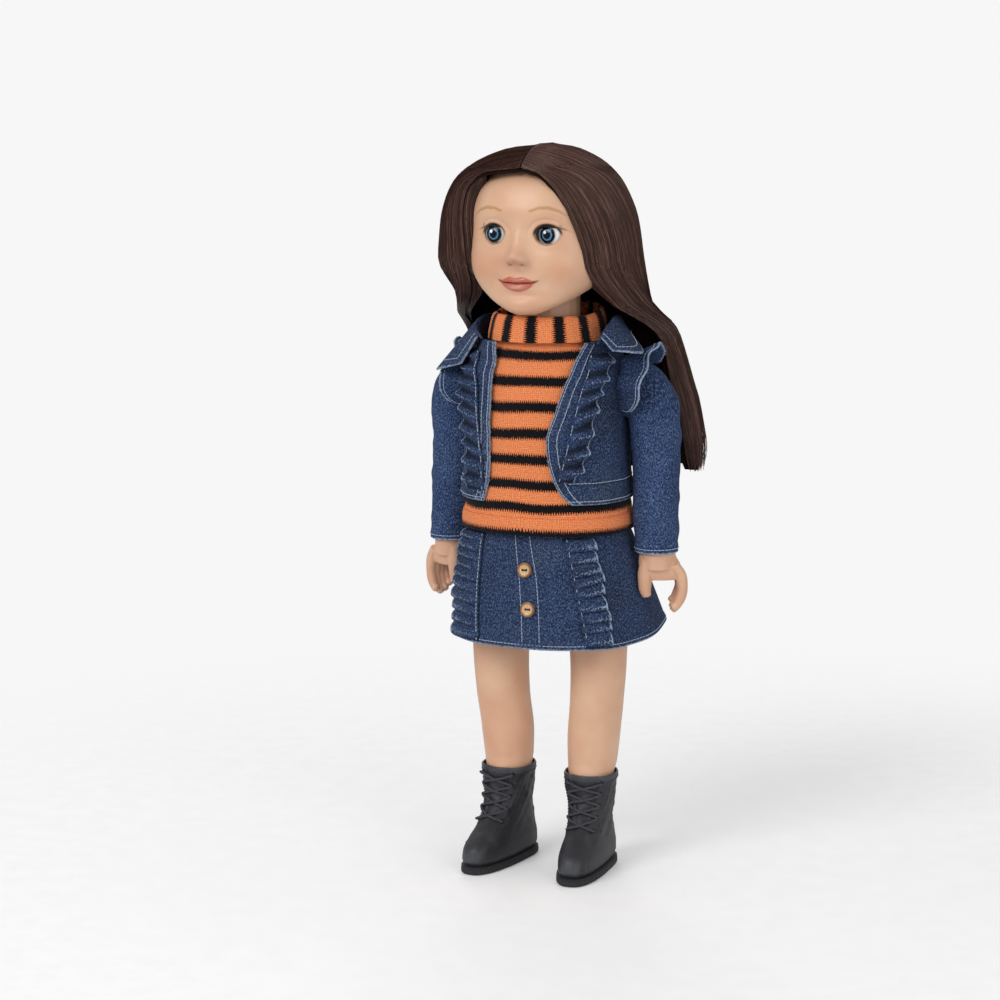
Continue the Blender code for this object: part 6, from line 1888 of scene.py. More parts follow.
@dataclass
class Garment(Assembly):
    """What all the sewn pieces share: stitches, frayed edges and flat sizes."""

    stitch: Thread = Thread()
    hangs_up: bool = True

    def surface(self, share: Any, angle: Any, grow: Any = 0.0) -> Array:
        """Points on the garment's outer face; each garment has its own."""
        raise NotImplementedError

    def outward(self, share: Any, angle: Any) -> Array:
        """Direction out of the garment's face."""
        step = 0.002
        share, angle = one_shape(share, angle)
        up = self.surface(share + step, angle) - self.surface(share - step, angle)
        beside = self.surface(share, angle + step * 4) - self.surface(share, angle - step * 4)
        way = unit(np.cross(beside, up))
        face = self.surface(share, angle, 1.0 * MM) - self.surface(share, angle)
        return way * np.sign(np.sum(way * face, axis=-1, keepdims=True))

    def sew(self, shell: Shell, share: Any, angle: Any, grow: float = 0.0) -> None:
        """Add a stitched row along a line of the garment's face."""
        share, angle = one_shape(share, angle)
        self.stitch.sew(shell, self.surface(share, angle, grow), self.outward(share, angle))

    @staticmethod
    def fray(
        shell: Shell, path: Array, way: Array, seed: int, every: float = 0.32 * MM, length: float = 0.9 * MM
    ) -> None:
        """Add loose thread ends along a cut edge.

        Args:
            shell: Mesh that takes the thread ends.
            path: Points of the edge.
            way: Direction in which the ends point, at each point.
            seed: Seed of their unevenness.
            every: Spacing along the edge in metres.
            length: Middle length in metres.
        """
        rng = np.random.default_rng(seed)
        _, read = resample(np.concatenate([path, way], axis=1), every)
        n = len(read)
        if not n:
            return
        aim = unit(read[:, 3:] + rng.normal(size=(n, 3)) * 0.45)
        bend = rng.normal(size=(n, 3)) * 0.35
        t = np.linspace(0.0, 1.0, 4)[None, :, None]
        reach = (length * rng.uniform(0.5, 1.5, n))[:, None, None]
        paths = read[:, None, :3] + reach * (aim[:, None] * t + bend[:, None] * t**2) - aim[:, None] * 0.2 * MM
        shell.add_tubes(paths, 0.11 * MM * (1.0 - 0.5 * np.linspace(0, 1, 4))[None], 4, up=(0.3, 0.2, 0.93))

    @staticmethod
    def declare(
        piece: Any,
        grid: Array,
        wrap: bool,
        held: Hold,
        rests_on: Sequence[str],
        less: float = 0.0,
        others: Sequence[Any] = (),
    ) -> None:
        """Work out the size that a panel of cloth was cut to, without passing it on.

        Args:
            piece: The finished panel; not used.
            grid: Points in the middle of the cloth.
            wrap: Whether its last column joins its first.
            held: How it is held; not used.
            rests_on: What it rests on; not used.
            less: Area of its cut-outs in square metres.
            others: Separate pieces on it; not used.
        """
        whole = np.concatenate([grid, grid[:, :1]], axis=1) if wrap else grid
        a, b = whole[1:, 1:] - whole[:-1, :-1], whole[1:, :-1] - whole[:-1, 1:]
        area = float(np.linalg.norm(np.cross(a, b), axis=-1).sum() / 2.0) - less
        wide = float(np.linalg.norm(np.diff(whole, axis=1), axis=-1).sum(axis=1).max())
        long = float(np.linalg.norm(np.diff(whole, axis=0), axis=-1).sum(axis=0).max())
        area = min(area, wide * long)

    def armholes(self, piece: Any, radius: float, reach: float, sides: int) -> None:
        """Cut a round armhole at each shoulder.

        Args:
            piece: Body of the garment.
            radius: Radius of the hole in metres.
            reach: How far out it is cut, as a share of the shoulder seat's x.
            sides: Points round the hole.
        """
        s = self.sizes
        for side in (1, -1):
            profile = [(share * s.shoulder_seat, radius) for share in (-0.3, reach)]
            hole = Shell().add_rings(
                turned(profile, (side * s.shoulder_seat, s.setback, s.shoulder_height), (side, 0, 0), sides)
            )
            carve(piece, [hole])

    def stitches(self, shell: Shell, name: str, body: str = "body") -> Any:
        """Build the threads of a garment and ride them on a body."""
        return self.keep(shell.build(name, self.palette.thread, 70.0), body, "denim")

    def ends(self, shell: Shell, name: str, body: str = "body") -> Any:
        """Build the frayed edges of a garment and ride them on a body."""
        return self.keep(shell.build(name, self.palette.fray, 70.0), body, "denim")


@dataclass
class Sweater(Garment):
    """Striped knitted sweater with its folded neck and hem band."""

    hem_band: float = 10.5 * MM
    armhole: float = 16.0 * MM
    collar_radius: float = 34.5 * MM
    collar_height: float = 16.0 * MM
    collar_rise: float = 5.0 * MM
    collar_stripes: int = 13
    # Heights of the middle of each stripe in mm, the first one black
    stripes: tuple[float, ...] = (
        218.0,
        227.8,
        236.2,
        242.4,
        249.9,
        258.0,
        265.4,
        273.5,
        281.5,
        289.5,
        297.5,
        305.5,
        312.9,
        320.9,
        328.8,
        334.9,
        343.0,
    )
    sections: Shares = (
        (0.00, 0.985, 1.000, -0.04),
        (0.09, 0.980, 0.995, -0.05),
        (0.22, 0.920, 0.985, -0.06),
        (0.38, 0.880, 0.990, -0.07),
        (0.54, 0.865, 0.985, -0.07),
        (0.72, 0.830, 0.930, -0.05),
        (0.84, 0.805, 0.880, -0.03),
        (0.93, 0.735, 0.830, 0.00),
        (1.00, 0.620, 0.760, 0.00),
    )

    def surface(self, share: Any, angle: Any, grow: Any = 0.0) -> Array:
        """Points on the knit's outer face, with its soft hollows."""
        share, angle = one_shape(share, angle)
        s = self.sizes
        width, depth, middle = read_shares(self.sections, share)
        z = s.sweater_hem + share * (s.sweater_top - s.sweater_hem)
        flat = joined(np.sin(angle) * 0.05, -np.cos(angle) * 0.04, z)
        wave = 0.35 * MM * ripple(31, flat, 45.0 * MM, 2) * smooth_step(0.0, 0.12, share) * smooth_step(
            1.0, 0.85, share
        )
        power = np.where(share < 0.8, 2.3, 2.3 - 1.2 * (share - 0.8))
        w = width * s.sweater_half_width + grow + wave
        d = depth * s.sweater_half_depth + grow + wave
        x, y = oval(angle, w, w, d, d, power)
        return joined(x, y + middle * s.sweater_half_depth, z)

    def stripe(self, height: Array) -> Array:
        """Place between the stripes: 0 in the middle of orange, 1 of black."""
        marks = np.array(self.stripes) * MM
        return np.interp(height, marks, (np.arange(len(marks)) + 1) % 2)

    def body(self) -> Any:
        """Body of the sweater with its armholes."""
        s = self.sizes
        low = (self.hem_band + s.seat_gap) / (s.sweater_top - s.sweater_hem)
        rows, cols = np.linspace(low, 1.0, 110), 200
        angles = math.pi + full_turn(cols)
        grid = self.surface(rows[:, None], angles[None], -s.knit_wall / 2.0)
        shell = Shell()
        sag = 0.28 * MM * ripple(31, grid * np.array([1.0, 1.0, 0.4]), 30.0 * MM, 1)
        shell.add_cloth(grid, s.knit_wall, True, stripe=self.stripe(grid[..., 2] + sag))
        piece = shell.build("sweater_knit_body", self.palette.knit)
        self.armholes(piece, self.armhole, 0.4, 48)
        self.keep(piece, "body", "knit", "sweater_body")
        self.declare(piece, grid, True, Hold.STRETCHED, ["torso"], TAU * self.armhole**2)
        return piece

    def hem(self) -> Any:
        """Doubled band at the hem."""
        s = self.sizes
        band = self.hem_band / (s.sweater_top - s.sweater_hem)
        angles = math.pi + full_turn(200)
        turn = np.linspace(0.0, 1.0, 16)
        puff = 0.87 * MM * (0.8 + 0.3 * np.sin(math.pi * turn))
        outer = self.surface((turn * band)[:, None], angles[None], puff[:, None])
        inner = self.surface((turn * band)[:, None], angles[None], -s.knit_wall)
        rim_low = self.surface(-0.004, angles, -0.4 * MM)
        rim_top = self.surface(band + 0.002, angles, -0.4 * MM)
        loop = np.concatenate([outer, rim_top[None], inner[::-1], rim_low[None]])
        shell = Shell()
        cloth = joined(angles[None] * 0.049, loop[..., 2], 0.0)
        shell.add(loop, grid_faces(len(loop), 200, True, close=True), cloth=cloth, stripe=self.stripe(loop[..., 2]))
        piece = self.keep(shell.build("sweater_knit_hem", self.palette.knit), "body", "knit", "sweater_hem")
        self.declare(piece, outer, True, Hold.STRETCHED, ["skirt_waistband"])
        return piece

    def collar(self) -> Any:
        """Rolled neck: doubled knit whose stripes run upward."""
        knots = (
            (0, 1.10, 0.0), (1, 1.085, 0.16), (2, 1.065, 0.35), (3, 1.04, 0.60), (4, 1.01, 0.82), (5, 0.965, 0.975)
        )
        knots += (
            (6, 0.93, 0.99),
            (7, 0.90, 0.90),
            (8, 0.90, 0.70),
            (9, 0.92, 0.45),
            (10, 0.955, 0.20),
            (11, 0.99, 0.0),
            (12, 1.05, -0.012),
        )
        radius, rise = read_shares(knots, np.linspace(0.0, 12.4, 44))
        cols = 208
        angle = full_turn(cols)
        back = self.collar_rise * np.clip((0.35 - np.cos(angle)) / 1.1, 0.0, 1.0)
        height = self.sizes.sweater_top + self.sizes.seat_gap + rise[:, None] * (self.collar_height + back[None])
        flat = joined(np.sin(angle) * 0.035, -np.cos(angle) * 0.035, 0.0)
        lump = 0.45 * MM * ripple(77, flat, 22.0 * MM, 2)[None] * smooth_step(0.0, 0.3, rise)[:, None]
        reach = radius[:, None] * self.collar_radius + lump * 0.6
        loop = joined(reach * np.sin(angle), -reach * np.cos(angle), height + 0.5 * lump)
        shell = Shell()
        across = np.broadcast_to(angle[None] * self.collar_radius, loop.shape[:2])
        run = np.cumsum(
            np.concatenate([[0.0], np.hypot(np.diff(radius) * self.collar_radius, np.diff(rise) * self.collar_height)])
        )
        phase = (across / self.collar_radius / TAU * self.collar_stripes + 0.30) % 1.0
        stripe = 1.0 - np.abs(2.0 * phase - 1.0)
        cloth = joined(np.broadcast_to(run[:, None], across.shape), across, 0.0)
        shell.add(loop, grid_faces(len(loop), cols, True, close=True), cloth=cloth, stripe=stripe)
        piece = self.keep(shell.build("sweater_knit_neck", self.palette.knit, 60.0), "body", "knit", "sweater_collar")
        self.declare(piece, loop[:22], True, Hold.FOLDED, ["sweater_body"])
        return piece

    def build(self) -> None:
        """Build the sweater."""
        self.body()
        self.hem()
        self.collar()


@dataclass
class Jacket(Garment):
    """Cropped denim jacket: body, collar, pleated front ruffles and sleeves."""

    hem: float = 238.471 * MM
    length: float = 97.999 * MM
    over: float = 0.4 * MM
    armhole: float = 18.5 * MM
    collar_reach: float = 41.0 * MM
    gap: float = 0.6 * MM
    ruffle_wall: float = 1.0 * MM
    ruffle_stand: float = 3.6 * MM
    facing: float = 6.5 * MM
    hem_band: float = 12.0 * MM
    sections: Shares = (
        (0.00, 0.985, 1.045, -0.05),
        (0.12, 0.968, 1.045, -0.06),
        (0.30, 0.936, 1.045, -0.07),
        (0.48, 0.926, 1.040, -0.07),
        (0.66, 0.926, 1.010, -0.05),
        (0.80, 0.915, 0.970, -0.03),
        (0.89, 0.860, 0.930, 0.00),
        (1.00, 0.775, 0.940, 0.00),
    )
    # Height on the jacket, then where the front edges lie across it
    edges: Shares = (
        (0.00, -0.490, 0.59),
        (0.06, -0.455, 0.495),
        (0.16, -0.420, 0.41),
        (0.30, -0.410, 0.36),
        (0.40, -0.410, 0.347),
        (0.55, -0.410, 0.43),
        (0.73, -0.415, 0.53),
        (0.86, -0.435, 0.635),
        (1.00, -0.520, 0.83),
    )
    # Height on the jacket, then a ruffle's seam and free edge as shares of a turn
    left_ruffle: Shares = (
        (0.15, 0.066, 0.100),
        (0.28, 0.079, 0.130),
        (0.50, 0.097, 0.147),
        (0.74, 0.116, 0.172),
        (0.93, 0.146, 0.205),
    )
    right_ruffle: Shares = (
        (0.07, -0.068, -0.122),
        (0.28, -0.074, -0.137),
        (0.50, -0.085, -0.170),
        (0.74, -0.099, -0.195),
        (0.93, -0.125, -0.195),
    )
    # Place round the neck, then the fold line and the free edge of the collar
    collar_line: Shares = (
        (0.00, -0.83, -0.72, 0.08, -1.12, -0.76, -0.36),
        (0.10, -1.02, -0.38, 0.22, -1.66, -0.46, -0.50),
        (0.24, -1.06, 0.02, 0.32, -1.38, 0.02, -0.14),
        (0.37, -0.86, 0.60, 0.34, -1.02, 0.70, 0.02),
        (0.50, 0.00, 1.00, 0.34, 0.00, 1.07, 0.02),
        (0.63, 0.86, 0.60, 0.34, 1.02, 0.70, 0.02),
        (0.76, 1.06, 0.00, 0.36, 1.38, 0.04, 0.02),
        (0.90, 1.12, -0.44, 0.28, 1.78, -0.68, -0.10),
        (1.00, 1.14, -0.76, 0.10, 1.40, -0.90, -0.06),
    )

    def surface(self, share: Any, angle: Any, grow: Any = 0.0) -> Array:
        """Points on the denim's outer face, with its creases."""
        share, angle = one_shape(share, angle)
        s = self.sizes
        width, depth, middle = read_shares(self.sections, share)
        z = self.hem + share * self.length
        flat = joined(np.sin(angle) * 0.055, -np.cos(angle) * 0.045, z * 0.8)
        wave = 0.45 * MM * ripple(5, flat, 26.0 * MM, 2) * smooth_step(1.0, 0.86, share)
        # The hem band is drawn in by its seam
        wave = wave - 0.45 * MM * np.exp(-(((z - self.hem - self.hem_band) / (1.0 * MM)) ** 2))
        power = np.where(share < 0.8, 2.3, 2.3 - 1.2 * (share - 0.8))
        w = width * s.sweater_half_width + self.over + grow + wave
        d = depth * s.sweater_half_depth + self.over + grow + wave
        x, y = oval(angle, w, w, d, d, power)
        return joined(x, y + middle * s.sweater_half_depth, z)

    @staticmethod
    def edge_angle(across: Array) -> Array:
        """Angle from the front of a place across the jacket's oval."""
        return np.copysign(np.arcsin(np.abs(across) ** 1.15), across)

    def side_reach(self, y: Array, z: Array) -> Array:
        """How far out the jacket's side lies at a place on it."""
        share = (z - self.hem) / self.length
        width, depth, middle = read_shares(self.sections, share)
        width = width * self.sizes.sweater_half_width + self.over
        depth = depth * self.sizes.sweater_half_depth + self.over
        power = np.where(share < 0.8, 2.3, 2.3 - 1.2 * (share - 0.8))
        along = np.minimum(1.0, np.abs(y - middle * self.sizes.sweater_half_depth) / depth)
        return width * (1.0 - along**power) ** (1.0 / power)

    def fronts(self, share: Array) -> tuple[Array, Array]:
        """Angles of the front edges on +X and on -X."""
        minus, plus = read_shares(self.edges, share)
        return self.edge_angle(plus), self.edge_angle(minus)

    def body(self) -> None:
        """Body with its facings, seams and stitches."""
        s = self.sizes
        rows, cols = np.linspace(0.0, 1.0, 120), 260
        first, last = self.fronts(rows)
        spread = np.linspace(0.0, 1.0, cols)
        # Columns gather at the front edges, where the facings lie
        spread = 0.5 - 0.5 * np.cos(math.pi * spread) * (0.55 + 0.45 * np.abs(np.cos(math.pi * spread)))
        angles = first[:, None] + (TAU + last - first)[:, None] * spread[None]
        base = self.surface(rows[:, None], angles)
        run = np.concatenate(
            [np.zeros((len(rows), 1)), np.cumsum(np.linalg.norm(np.diff(base, axis=1), axis=-1), axis=1)], axis=1
        )
        near = np.minimum(run, run[:, -1:] - run)
        height = (rows * self.length)[:, None]
        doubled = 0.45 * MM * smooth_step(self.facing + 0.4 * MM, self.facing - 0.4 * MM, near)
        doubled = np.maximum(doubled, 0.35 * MM * smooth_step(self.hem_band, self.hem_band - 0.6 * MM, height))
        grid = self.surface(rows[:, None], angles, -s.denim_wall / 2.0 + doubled)
        wear = 0.7 * np.maximum(smooth_step(0.7 * MM, 0.2 * MM, near), smooth_step(0.6 * MM, 0.1 * MM, height))
        wear = np.maximum(wear, 0.45 * bell(near, self.facing, 0.9 * MM))
        minus_side = run > run[:, -1:] / 2.0
        wear = np.maximum(wear, 0.40 * (near < self.facing) * minus_side * smooth_step(0.75, 0.1, rows[:, None]))
        # The fold mask paints shade along the hem band's drawn-in seam
        shell = Shell().add_cloth(
            grid,
            s.denim_wall,
            False,
            wear=wear,
            fold=0.5 * bell(height, self.hem_band, 0.6 * MM) + 0.0 * near,
        )
        piece = shell.build("jacket_denim_body", self.palette.denim)
        self.armholes(piece, self.armhole, 0.5, 64)
        self.keep(piece, "body", "denim", "jacket_body")
        self.declare(piece, grid, False, Hold.DRAPED, ["sweater_body"], TAU * self.armhole**2)
        threads, fringe = Shell(), Shell()
        line = np.linspace(0.0, 1.0, 200)
        front, other = self.fronts(line)
        for edge, sense in ((front, 1), (other, -1)):
            for place in (self.facing, 1.2 * MM):
                self.sew(threads, line, edge + sense * self.turn_for(line, edge, place), 0.6 * MM)
            rim = self.surface(line, edge, -0.3 * MM)
            self.fray(fringe, rim, rim - self.surface(line, edge + sense * 0.02), 40 + sense)
        band = np.full(400, self.hem_band / self.length)
        first, last = (float(v) for v in self.fronts(np.array(band[0])))
        sweep = np.linspace(first + 0.16, TAU + last - 0.14, 400)
        self.sew(threads, band + 0.012, sweep, 0.0)
        low = np.linspace(float(self.fronts(np.array(0.02))[0]), TAU + float(self.fronts(np.array(0.02))[1]), 400)
        self.sew(threads, np.full(400, 0.02), low, 0.55 * MM)
        self.stitches(threads, "jacket_body_stitches")
        self.ends(fringe, "jacket_front_fray")

    def turn_for(self, share: Array, edge: Array, place: float) -> Array:
        """Angle that takes a line a distance away from a front edge."""
        step = 0.01
        run = np.linalg.norm(self.surface(share, edge + step) - self.surface(share, edge - step), axis=-1) / (2 * step)
        return place / run

    def collar(self) -> None:
        """Pointed collar that folds over and lies on the shoulders."""
        s = self.sizes
        t = np.linspace(0.0, 1.0, 170)
        n = read_shares(self.collar_line, t) * self.collar_reach
        top = np.array([0.0, 0.0, self.hem + self.length])
        fold, edge = n[:3].T + top, n[3:].T + top
        foot = fold * np.array([0.985, 0.985, 0.0]) + np.array([0.0, 0.0, top[2] + 1.1 * MM])
        low = fold[:, 2] < foot[:, 2] + 0.1 * self.collar_reach
        foot[low, 2] = np.minimum(foot[low, 2], fold[low, 2])
        foot[low, :2] = fold[low, :2] * 0.97
        lift = np.array([0.0, 0.0, self.collar_reach])
        knots = np.stack(
            [
                foot,
                foot + 0.7 * (fold - foot),
                fold + 0.12 * (edge - fold) + 0.03 * lift,
                fold + 0.5 * (edge - fold) + 0.02 * lift,
                edge,
            ],
        )
        fine = np.linspace(0.0, 4.0, 34)
        i = np.minimum(fine.astype(int), 3)
        f = (fine - i)[:, None, None]
        padded = np.concatenate([2 * knots[:1] - knots[1:2], knots, 2 * knots[-1:] - knots[-2:-1]])
        p0, p1, p2, p3 = (padded[i + k] for k in range(4))
        grid = 0.5 * (
            2 * p1 + (p2 - p0) * f + (2 * p0 - 5 * p1 + 4 * p2 - p3) * f**2 + (3 * p1 - p0 - 3 * p2 + p3) * f**3
        )
        rim = np.minimum((4.0 - fine)[:, None] * 4.0, 110.0 * np.minimum(t, 1.0 - t)[None])
        wear = 0.75 * smooth_step(0.6, 0.1, rim) * (fine > 2.0)[:, None]
        shell = Shell().add_cloth(grid, s.denim_wall, False, wear=wear, fold=0.0 * wear)
        piece = self.keep(
            shell.build("jacket_denim_collar", self.palette.denim, 50.0), "body", "denim", "jacket_collar"
        )
        self.declare(piece, grid, False, Hold.FOLDED, ["jacket_body"])
        threads = Shell()
        way = grid_normals(grid, False)
        out = np.sign(np.mean(way[20, 80:90, 1])) or 1.0
        for line in ((30, slice(4, -4)), (slice(16, 31), 4), (slice(16, 31), len(t) - 5)):
            face = way[line] * out
            self.stitch.sew(threads, grid[line] + face * s.denim_wall / 2, face)
        self.stitches(threads, "jacket_collar_stitches")

    def ruffle(self, word: str, table: Shares, pleats: int, seed: int) -> None:
        """Knife-pleated strip sewn beside a front edge.

        Args:
            word: Side of the doll that it is on.
            table: Its seam and free edge up the jacket.
            pleats: How many pleats it has.
            seed: Seed of the pleats' unevenness.
        """
        pleated_strip(self, "jacket_%s_pleats" % word, "jacket_%s_ruffle" % word, table, pleats, seed, "jacket_body")

    def build(self) -> None:
        """Build the jacket without its shoulder wings and sleeves."""
        self.body()
        self.collar()
        self.ruffle("left", self.left_ruffle, 7, 3)
        self.ruffle("right", self.right_ruffle, 9, 8)


def pleated_strip(
    garment: Any, name: str, node: str, table: Shares, pleats: int, seed: int, rests_on: str, slant: float = 1.0,
    body: str = "body",
) -> None:
    """Build a knife-pleated ruffle on a garment's face, with its stitches.

    Args:
        garment: The garment, with its surface and its gap, wall and stand.
        name: Name of the piece.
        node: CAD node that it replaces.
        table: Place on the garment, then the seam and free edge as shares of a turn.
        pleats: How many pleats it has.
        seed: Seed of the pleats' unevenness.
        rests_on: Node that it lies on.
        slant: How far its creases run aslant, and which way.
        body: CAD body that it moves with.
    """
    rng = np.random.default_rng(seed)
    per, across_steps = 18, 14
    knots = np.cumsum(np.concatenate([[0.0], rng.uniform(0.75, 1.25, pleats)]))
    knots /= knots[-1]
    phase = np.linspace(0.0, pleats, pleats * per + 1)
    number = np.minimum(phase.astype(int), pleats - 1)
    part = phase - number
    along = knots[number] + (knots[number + 1] - knots[number]) * part
    depth = rng.uniform(0.65, 1.1, pleats)[number]
    # Each pleat is a soft roll that leans over the next one's crease
    climb = smooth_step(0.0, 0.55, part) * smooth_step(1.0, 0.74, part)
    crease = np.clip(smooth_step(0.80, 0.93, part) + smooth_step(0.20, 0.04, part), 0.0, 1.0)
    first, last = table[0][0], table[-1][0]
    share = first + (last - first) * along
    seam, edge = read_shares(table, share)
    across = np.linspace(0.0, 1.0, across_steps)
    fan = across[None] ** 0.45
    wobble = 0.97 + 0.04 * np.sin(number * 1.9 + seed)[:, None] * across[None] + 0.07 * climb[:, None] * across[None]
    angle = TAU * (seam[:, None] + (edge - seam)[:, None] * across[None] * wobble)
    pitch = (last - first) / pleats
    lean = rng.uniform(0.2, 0.7, pleats)[number][:, None] * (across[None] - 0.4) * slant
    shift = pitch * (0.14 * np.sin(TAU * part)[:, None] * fan + lean * np.sin(math.pi * along)[:, None])
    stand = garment.ruffle_stand * fan * (0.02 + 1.05 * climb * depth)[:, None]
    stand = garment.gap + 0.5 * garment.ruffle_wall + stand
    place = np.clip(share[:, None] + shift * (1 if garment.hangs_up else -1), first - 0.4 * pitch, last + 0.4 * pitch)
    grid = garment.surface(place, angle, stand)
    wear = np.broadcast_to(smooth_step(0.93, 0.985, across)[None], grid.shape[:2]).copy()
    # Each pleat's crest is paled, both as rub wear and as painted light on its top
    wear = np.maximum(wear, 0.58 * bell(part, 0.62, 0.13)[:, None] * fan)
    # Painted shade in the crease under each pleat, carried by the fold mask
    dark = crease[:, None] * (0.55 + 0.45 * across[None] ** 0.5) * smooth_step(1.0, 0.95, across)[None]
    shell = Shell().add_cloth(grid, garment.ruffle_wall, False, wear=wear, fold=dark)
    piece = garment.keep(shell.build(name, garment.palette.denim, 50.0), body, "denim", node)
    garment.declare(piece, grid, False, Hold.GATHERED, [rests_on])
    threads, fringe = Shell(), Shell()
    line = np.linspace(first, last, 240)
    seam_line = TAU * (read_shares(table, line)[0] + 0.0035 * np.sign(edge[0] - seam[0]))
    garment.sew(threads, line, seam_line, garment.gap + garment.ruffle_wall + 0.15 * MM)
    way = unit(grid[:, -1] - grid[:, -2])
    garment.fray(fringe, grid[:, -1] + way * 0.2 * MM, way, seed + 50, 0.40 * MM, 0.35 * MM)
    garment.stitches(threads, name + "_stitches", body)
    garment.ends(fringe, name + "_fray", body)


@dataclass
class Wing(Jacket):
    """Gathered wing that stands over the armhole of one shoulder."""

    side: Side = Side.LEFT
    width: float = 19.0 * MM
    waves: int = 4

    def build(self) -> None:
        """Build the wing with its edge stitches and frayed edge."""
        s, sign = self.sizes, self.side.value
        steps, across_steps = self.waves * 22, 14
        t = np.linspace(0.0, 1.0, steps + 1)
        angle = np.radians(-55.0 + 180.0 * t)
        swell = np.sin(math.pi * np.minimum(1.0, 0.08 + 0.92 * t)) ** 0.38
        if sign < 0:
            swell = swell * (1.0 - 0.45 * np.exp(-(((np.degrees(angle) - 35.0) / 38.0) ** 2)))
        phase = TAU * self.waves * (t + 0.012 * np.sin(9.0 * t + sign))
        swing = np.cos(phase)
        radial = joined(0.0, -np.sin(angle), np.cos(angle))
        across = np.linspace(0.0, 1.0, across_steps)
        radius = s.sleeve_radius + 1.6 * MM
        reach = self.width * across[None] * swell[:, None]
        fan = across[None] ** 1.3
        rise = radius + reach * 0.50 + self.width * swell[:, None] * 0.035 * swing[:, None] * fan
        grid = np.array([0.0, s.setback, s.shoulder_height]) + radial[:, None] * rise[..., None]
        sewn = self.side_reach(grid[:, 0, 1], grid[:, 0, 2]) + 0.3 * MM
        free = s.armhole_plane + self.width * swell * (1.03 - 0.05 * swing)
        bow = across[None] ** 0.85
        grid[..., 0] = sewn[:, None] * (1.0 - bow) + free[:, None] * bow
        grid[..., 0] *= sign
        wear = np.broadcast_to(smooth_step(0.93, 0.985, across)[None], grid.shape[:2])
        # The fold mask paints shade into the troughs of the gathers, most by the seam
        fold = np.broadcast_to((0.5 - 0.5 * swing)[:, None] * 0.35 * (1.0 - across[None]), grid.shape[:2])
        shell = Shell().add_cloth(grid, self.ruffle_wall, False, wear=wear, fold=fold)
        word = self.side.word
        arm = word + "_arm"
        piece = self.keep(
            shell.build(word + "_wing", self.palette.blue_denim, 50.0), arm, "denim", word + "_shoulder_ruffle"
        )
        self.declare(piece, grid, False, Hold.GATHERED, ["jacket_body"])
        threads, fringe = Shell(), Shell()
        way = grid_normals(grid, False)
        way *= np.sign(np.sum(way * radial[:, None], axis=-1, keepdims=True))
        path = grid[:, -3] + way[:, -3] * self.ruffle_wall / 2
        self.stitch.sew(threads, path, way[:, -3])
        edge = unit(grid[:, -1] - grid[:, -2])
        self.fray(fringe, grid[:, -1], edge, 90 + sign, 0.25 * MM, 0.6 * MM)
        self.stitches(threads, word + "_wing_stitches", arm)
        self.ends(fringe, word + "_wing_fray", arm)

    def attach(self, piece: Any, body: str) -> None:
        """Keep a piece fixed where it was built, without riding it on the arm."""
        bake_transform(piece)


@dataclass
class Sleeve(Garment):
    """Denim sleeve round one arm, with its turned hem."""

    side: Side = Side.LEFT
    turned_hem: float = 5.0 * MM

    def build(self) -> None:
        """Build the sleeve and its hem stitches."""
        s, sign = self.sizes, self.side.value
        limbs = Limbs(s, self.palette)
        cols = 96
        middle = s.sleeve_ease + s.denim_wall / 2.0
        rings = limbs.arm_rings(middle, cols, 0.97, 22, 70)
        mouth = rings[:1].copy()
        mouth[..., 0] = 0.875 * s.sweater_half_width
        half = (mouth + rings[:1]) / 2.0
        grid = np.concatenate([mouth, half, rings])
        centre = grid.mean(axis=1, keepdims=True)
        way = unit(grid - centre)
        run = run_along(centre[:, 0])
        left = run[-1] - run
        # Creases run across the sleeve, deepest at the elbow and under the arm
        flat = joined(grid[..., 0] * 0.55, grid[..., 1] * 0.55, grid[..., 2] * 1.5)
        crease = ripple(14 + sign, flat, 24.0 * MM, 2)
        amount = 0.55 * MM * smooth_step(4.0 * MM, 16.0 * MM, left) * smooth_step(0.0, 10.0 * MM, run)
        doubled = 0.45 * MM * smooth_step(self.turned_hem, self.turned_hem - 0.5 * MM, left)
        grid = grid + way * (np.maximum(crease, -0.6) * amount[:, None] + doubled[:, None])[..., None]
        grid[..., 0] *= sign
        wear = smooth_step(0.9 * MM, 0.2 * MM, left) * 0.9
        wear = np.maximum(wear, 0.35 * bell(left, self.turned_hem, 0.7 * MM))
        shell = Shell().add_cloth(
            grid, s.denim_wall, True, wear=np.broadcast_to(wear[:, None], grid.shape[:2]), fold=0.0 * grid[..., 0]
        )
        word = self.side.word
        piece = self.keep(
            shell.build(word + "_denim_sleeve", self.palette.blue_denim, 50.0), word + "_arm", "denim", word + "_sleeve"
        )
        self.declare(piece, grid, True, Hold.DRAPED, [word + "_arm"])
        row = int(np.argmin(np.abs(left - 2.6 * MM)))
        ring = np.concatenate([grid[row], grid[row, :1]])
        face = np.concatenate([way[row], way[row, :1]]) * np.array([sign, 1.0, 1.0])
        threads = Shell()
        self.stitch.sew(threads, ring + face * (s.denim_wall / 2 + 0.05 * MM), face)
        self.stitches(threads, word + "_sleeve_stitches", word + "_arm")


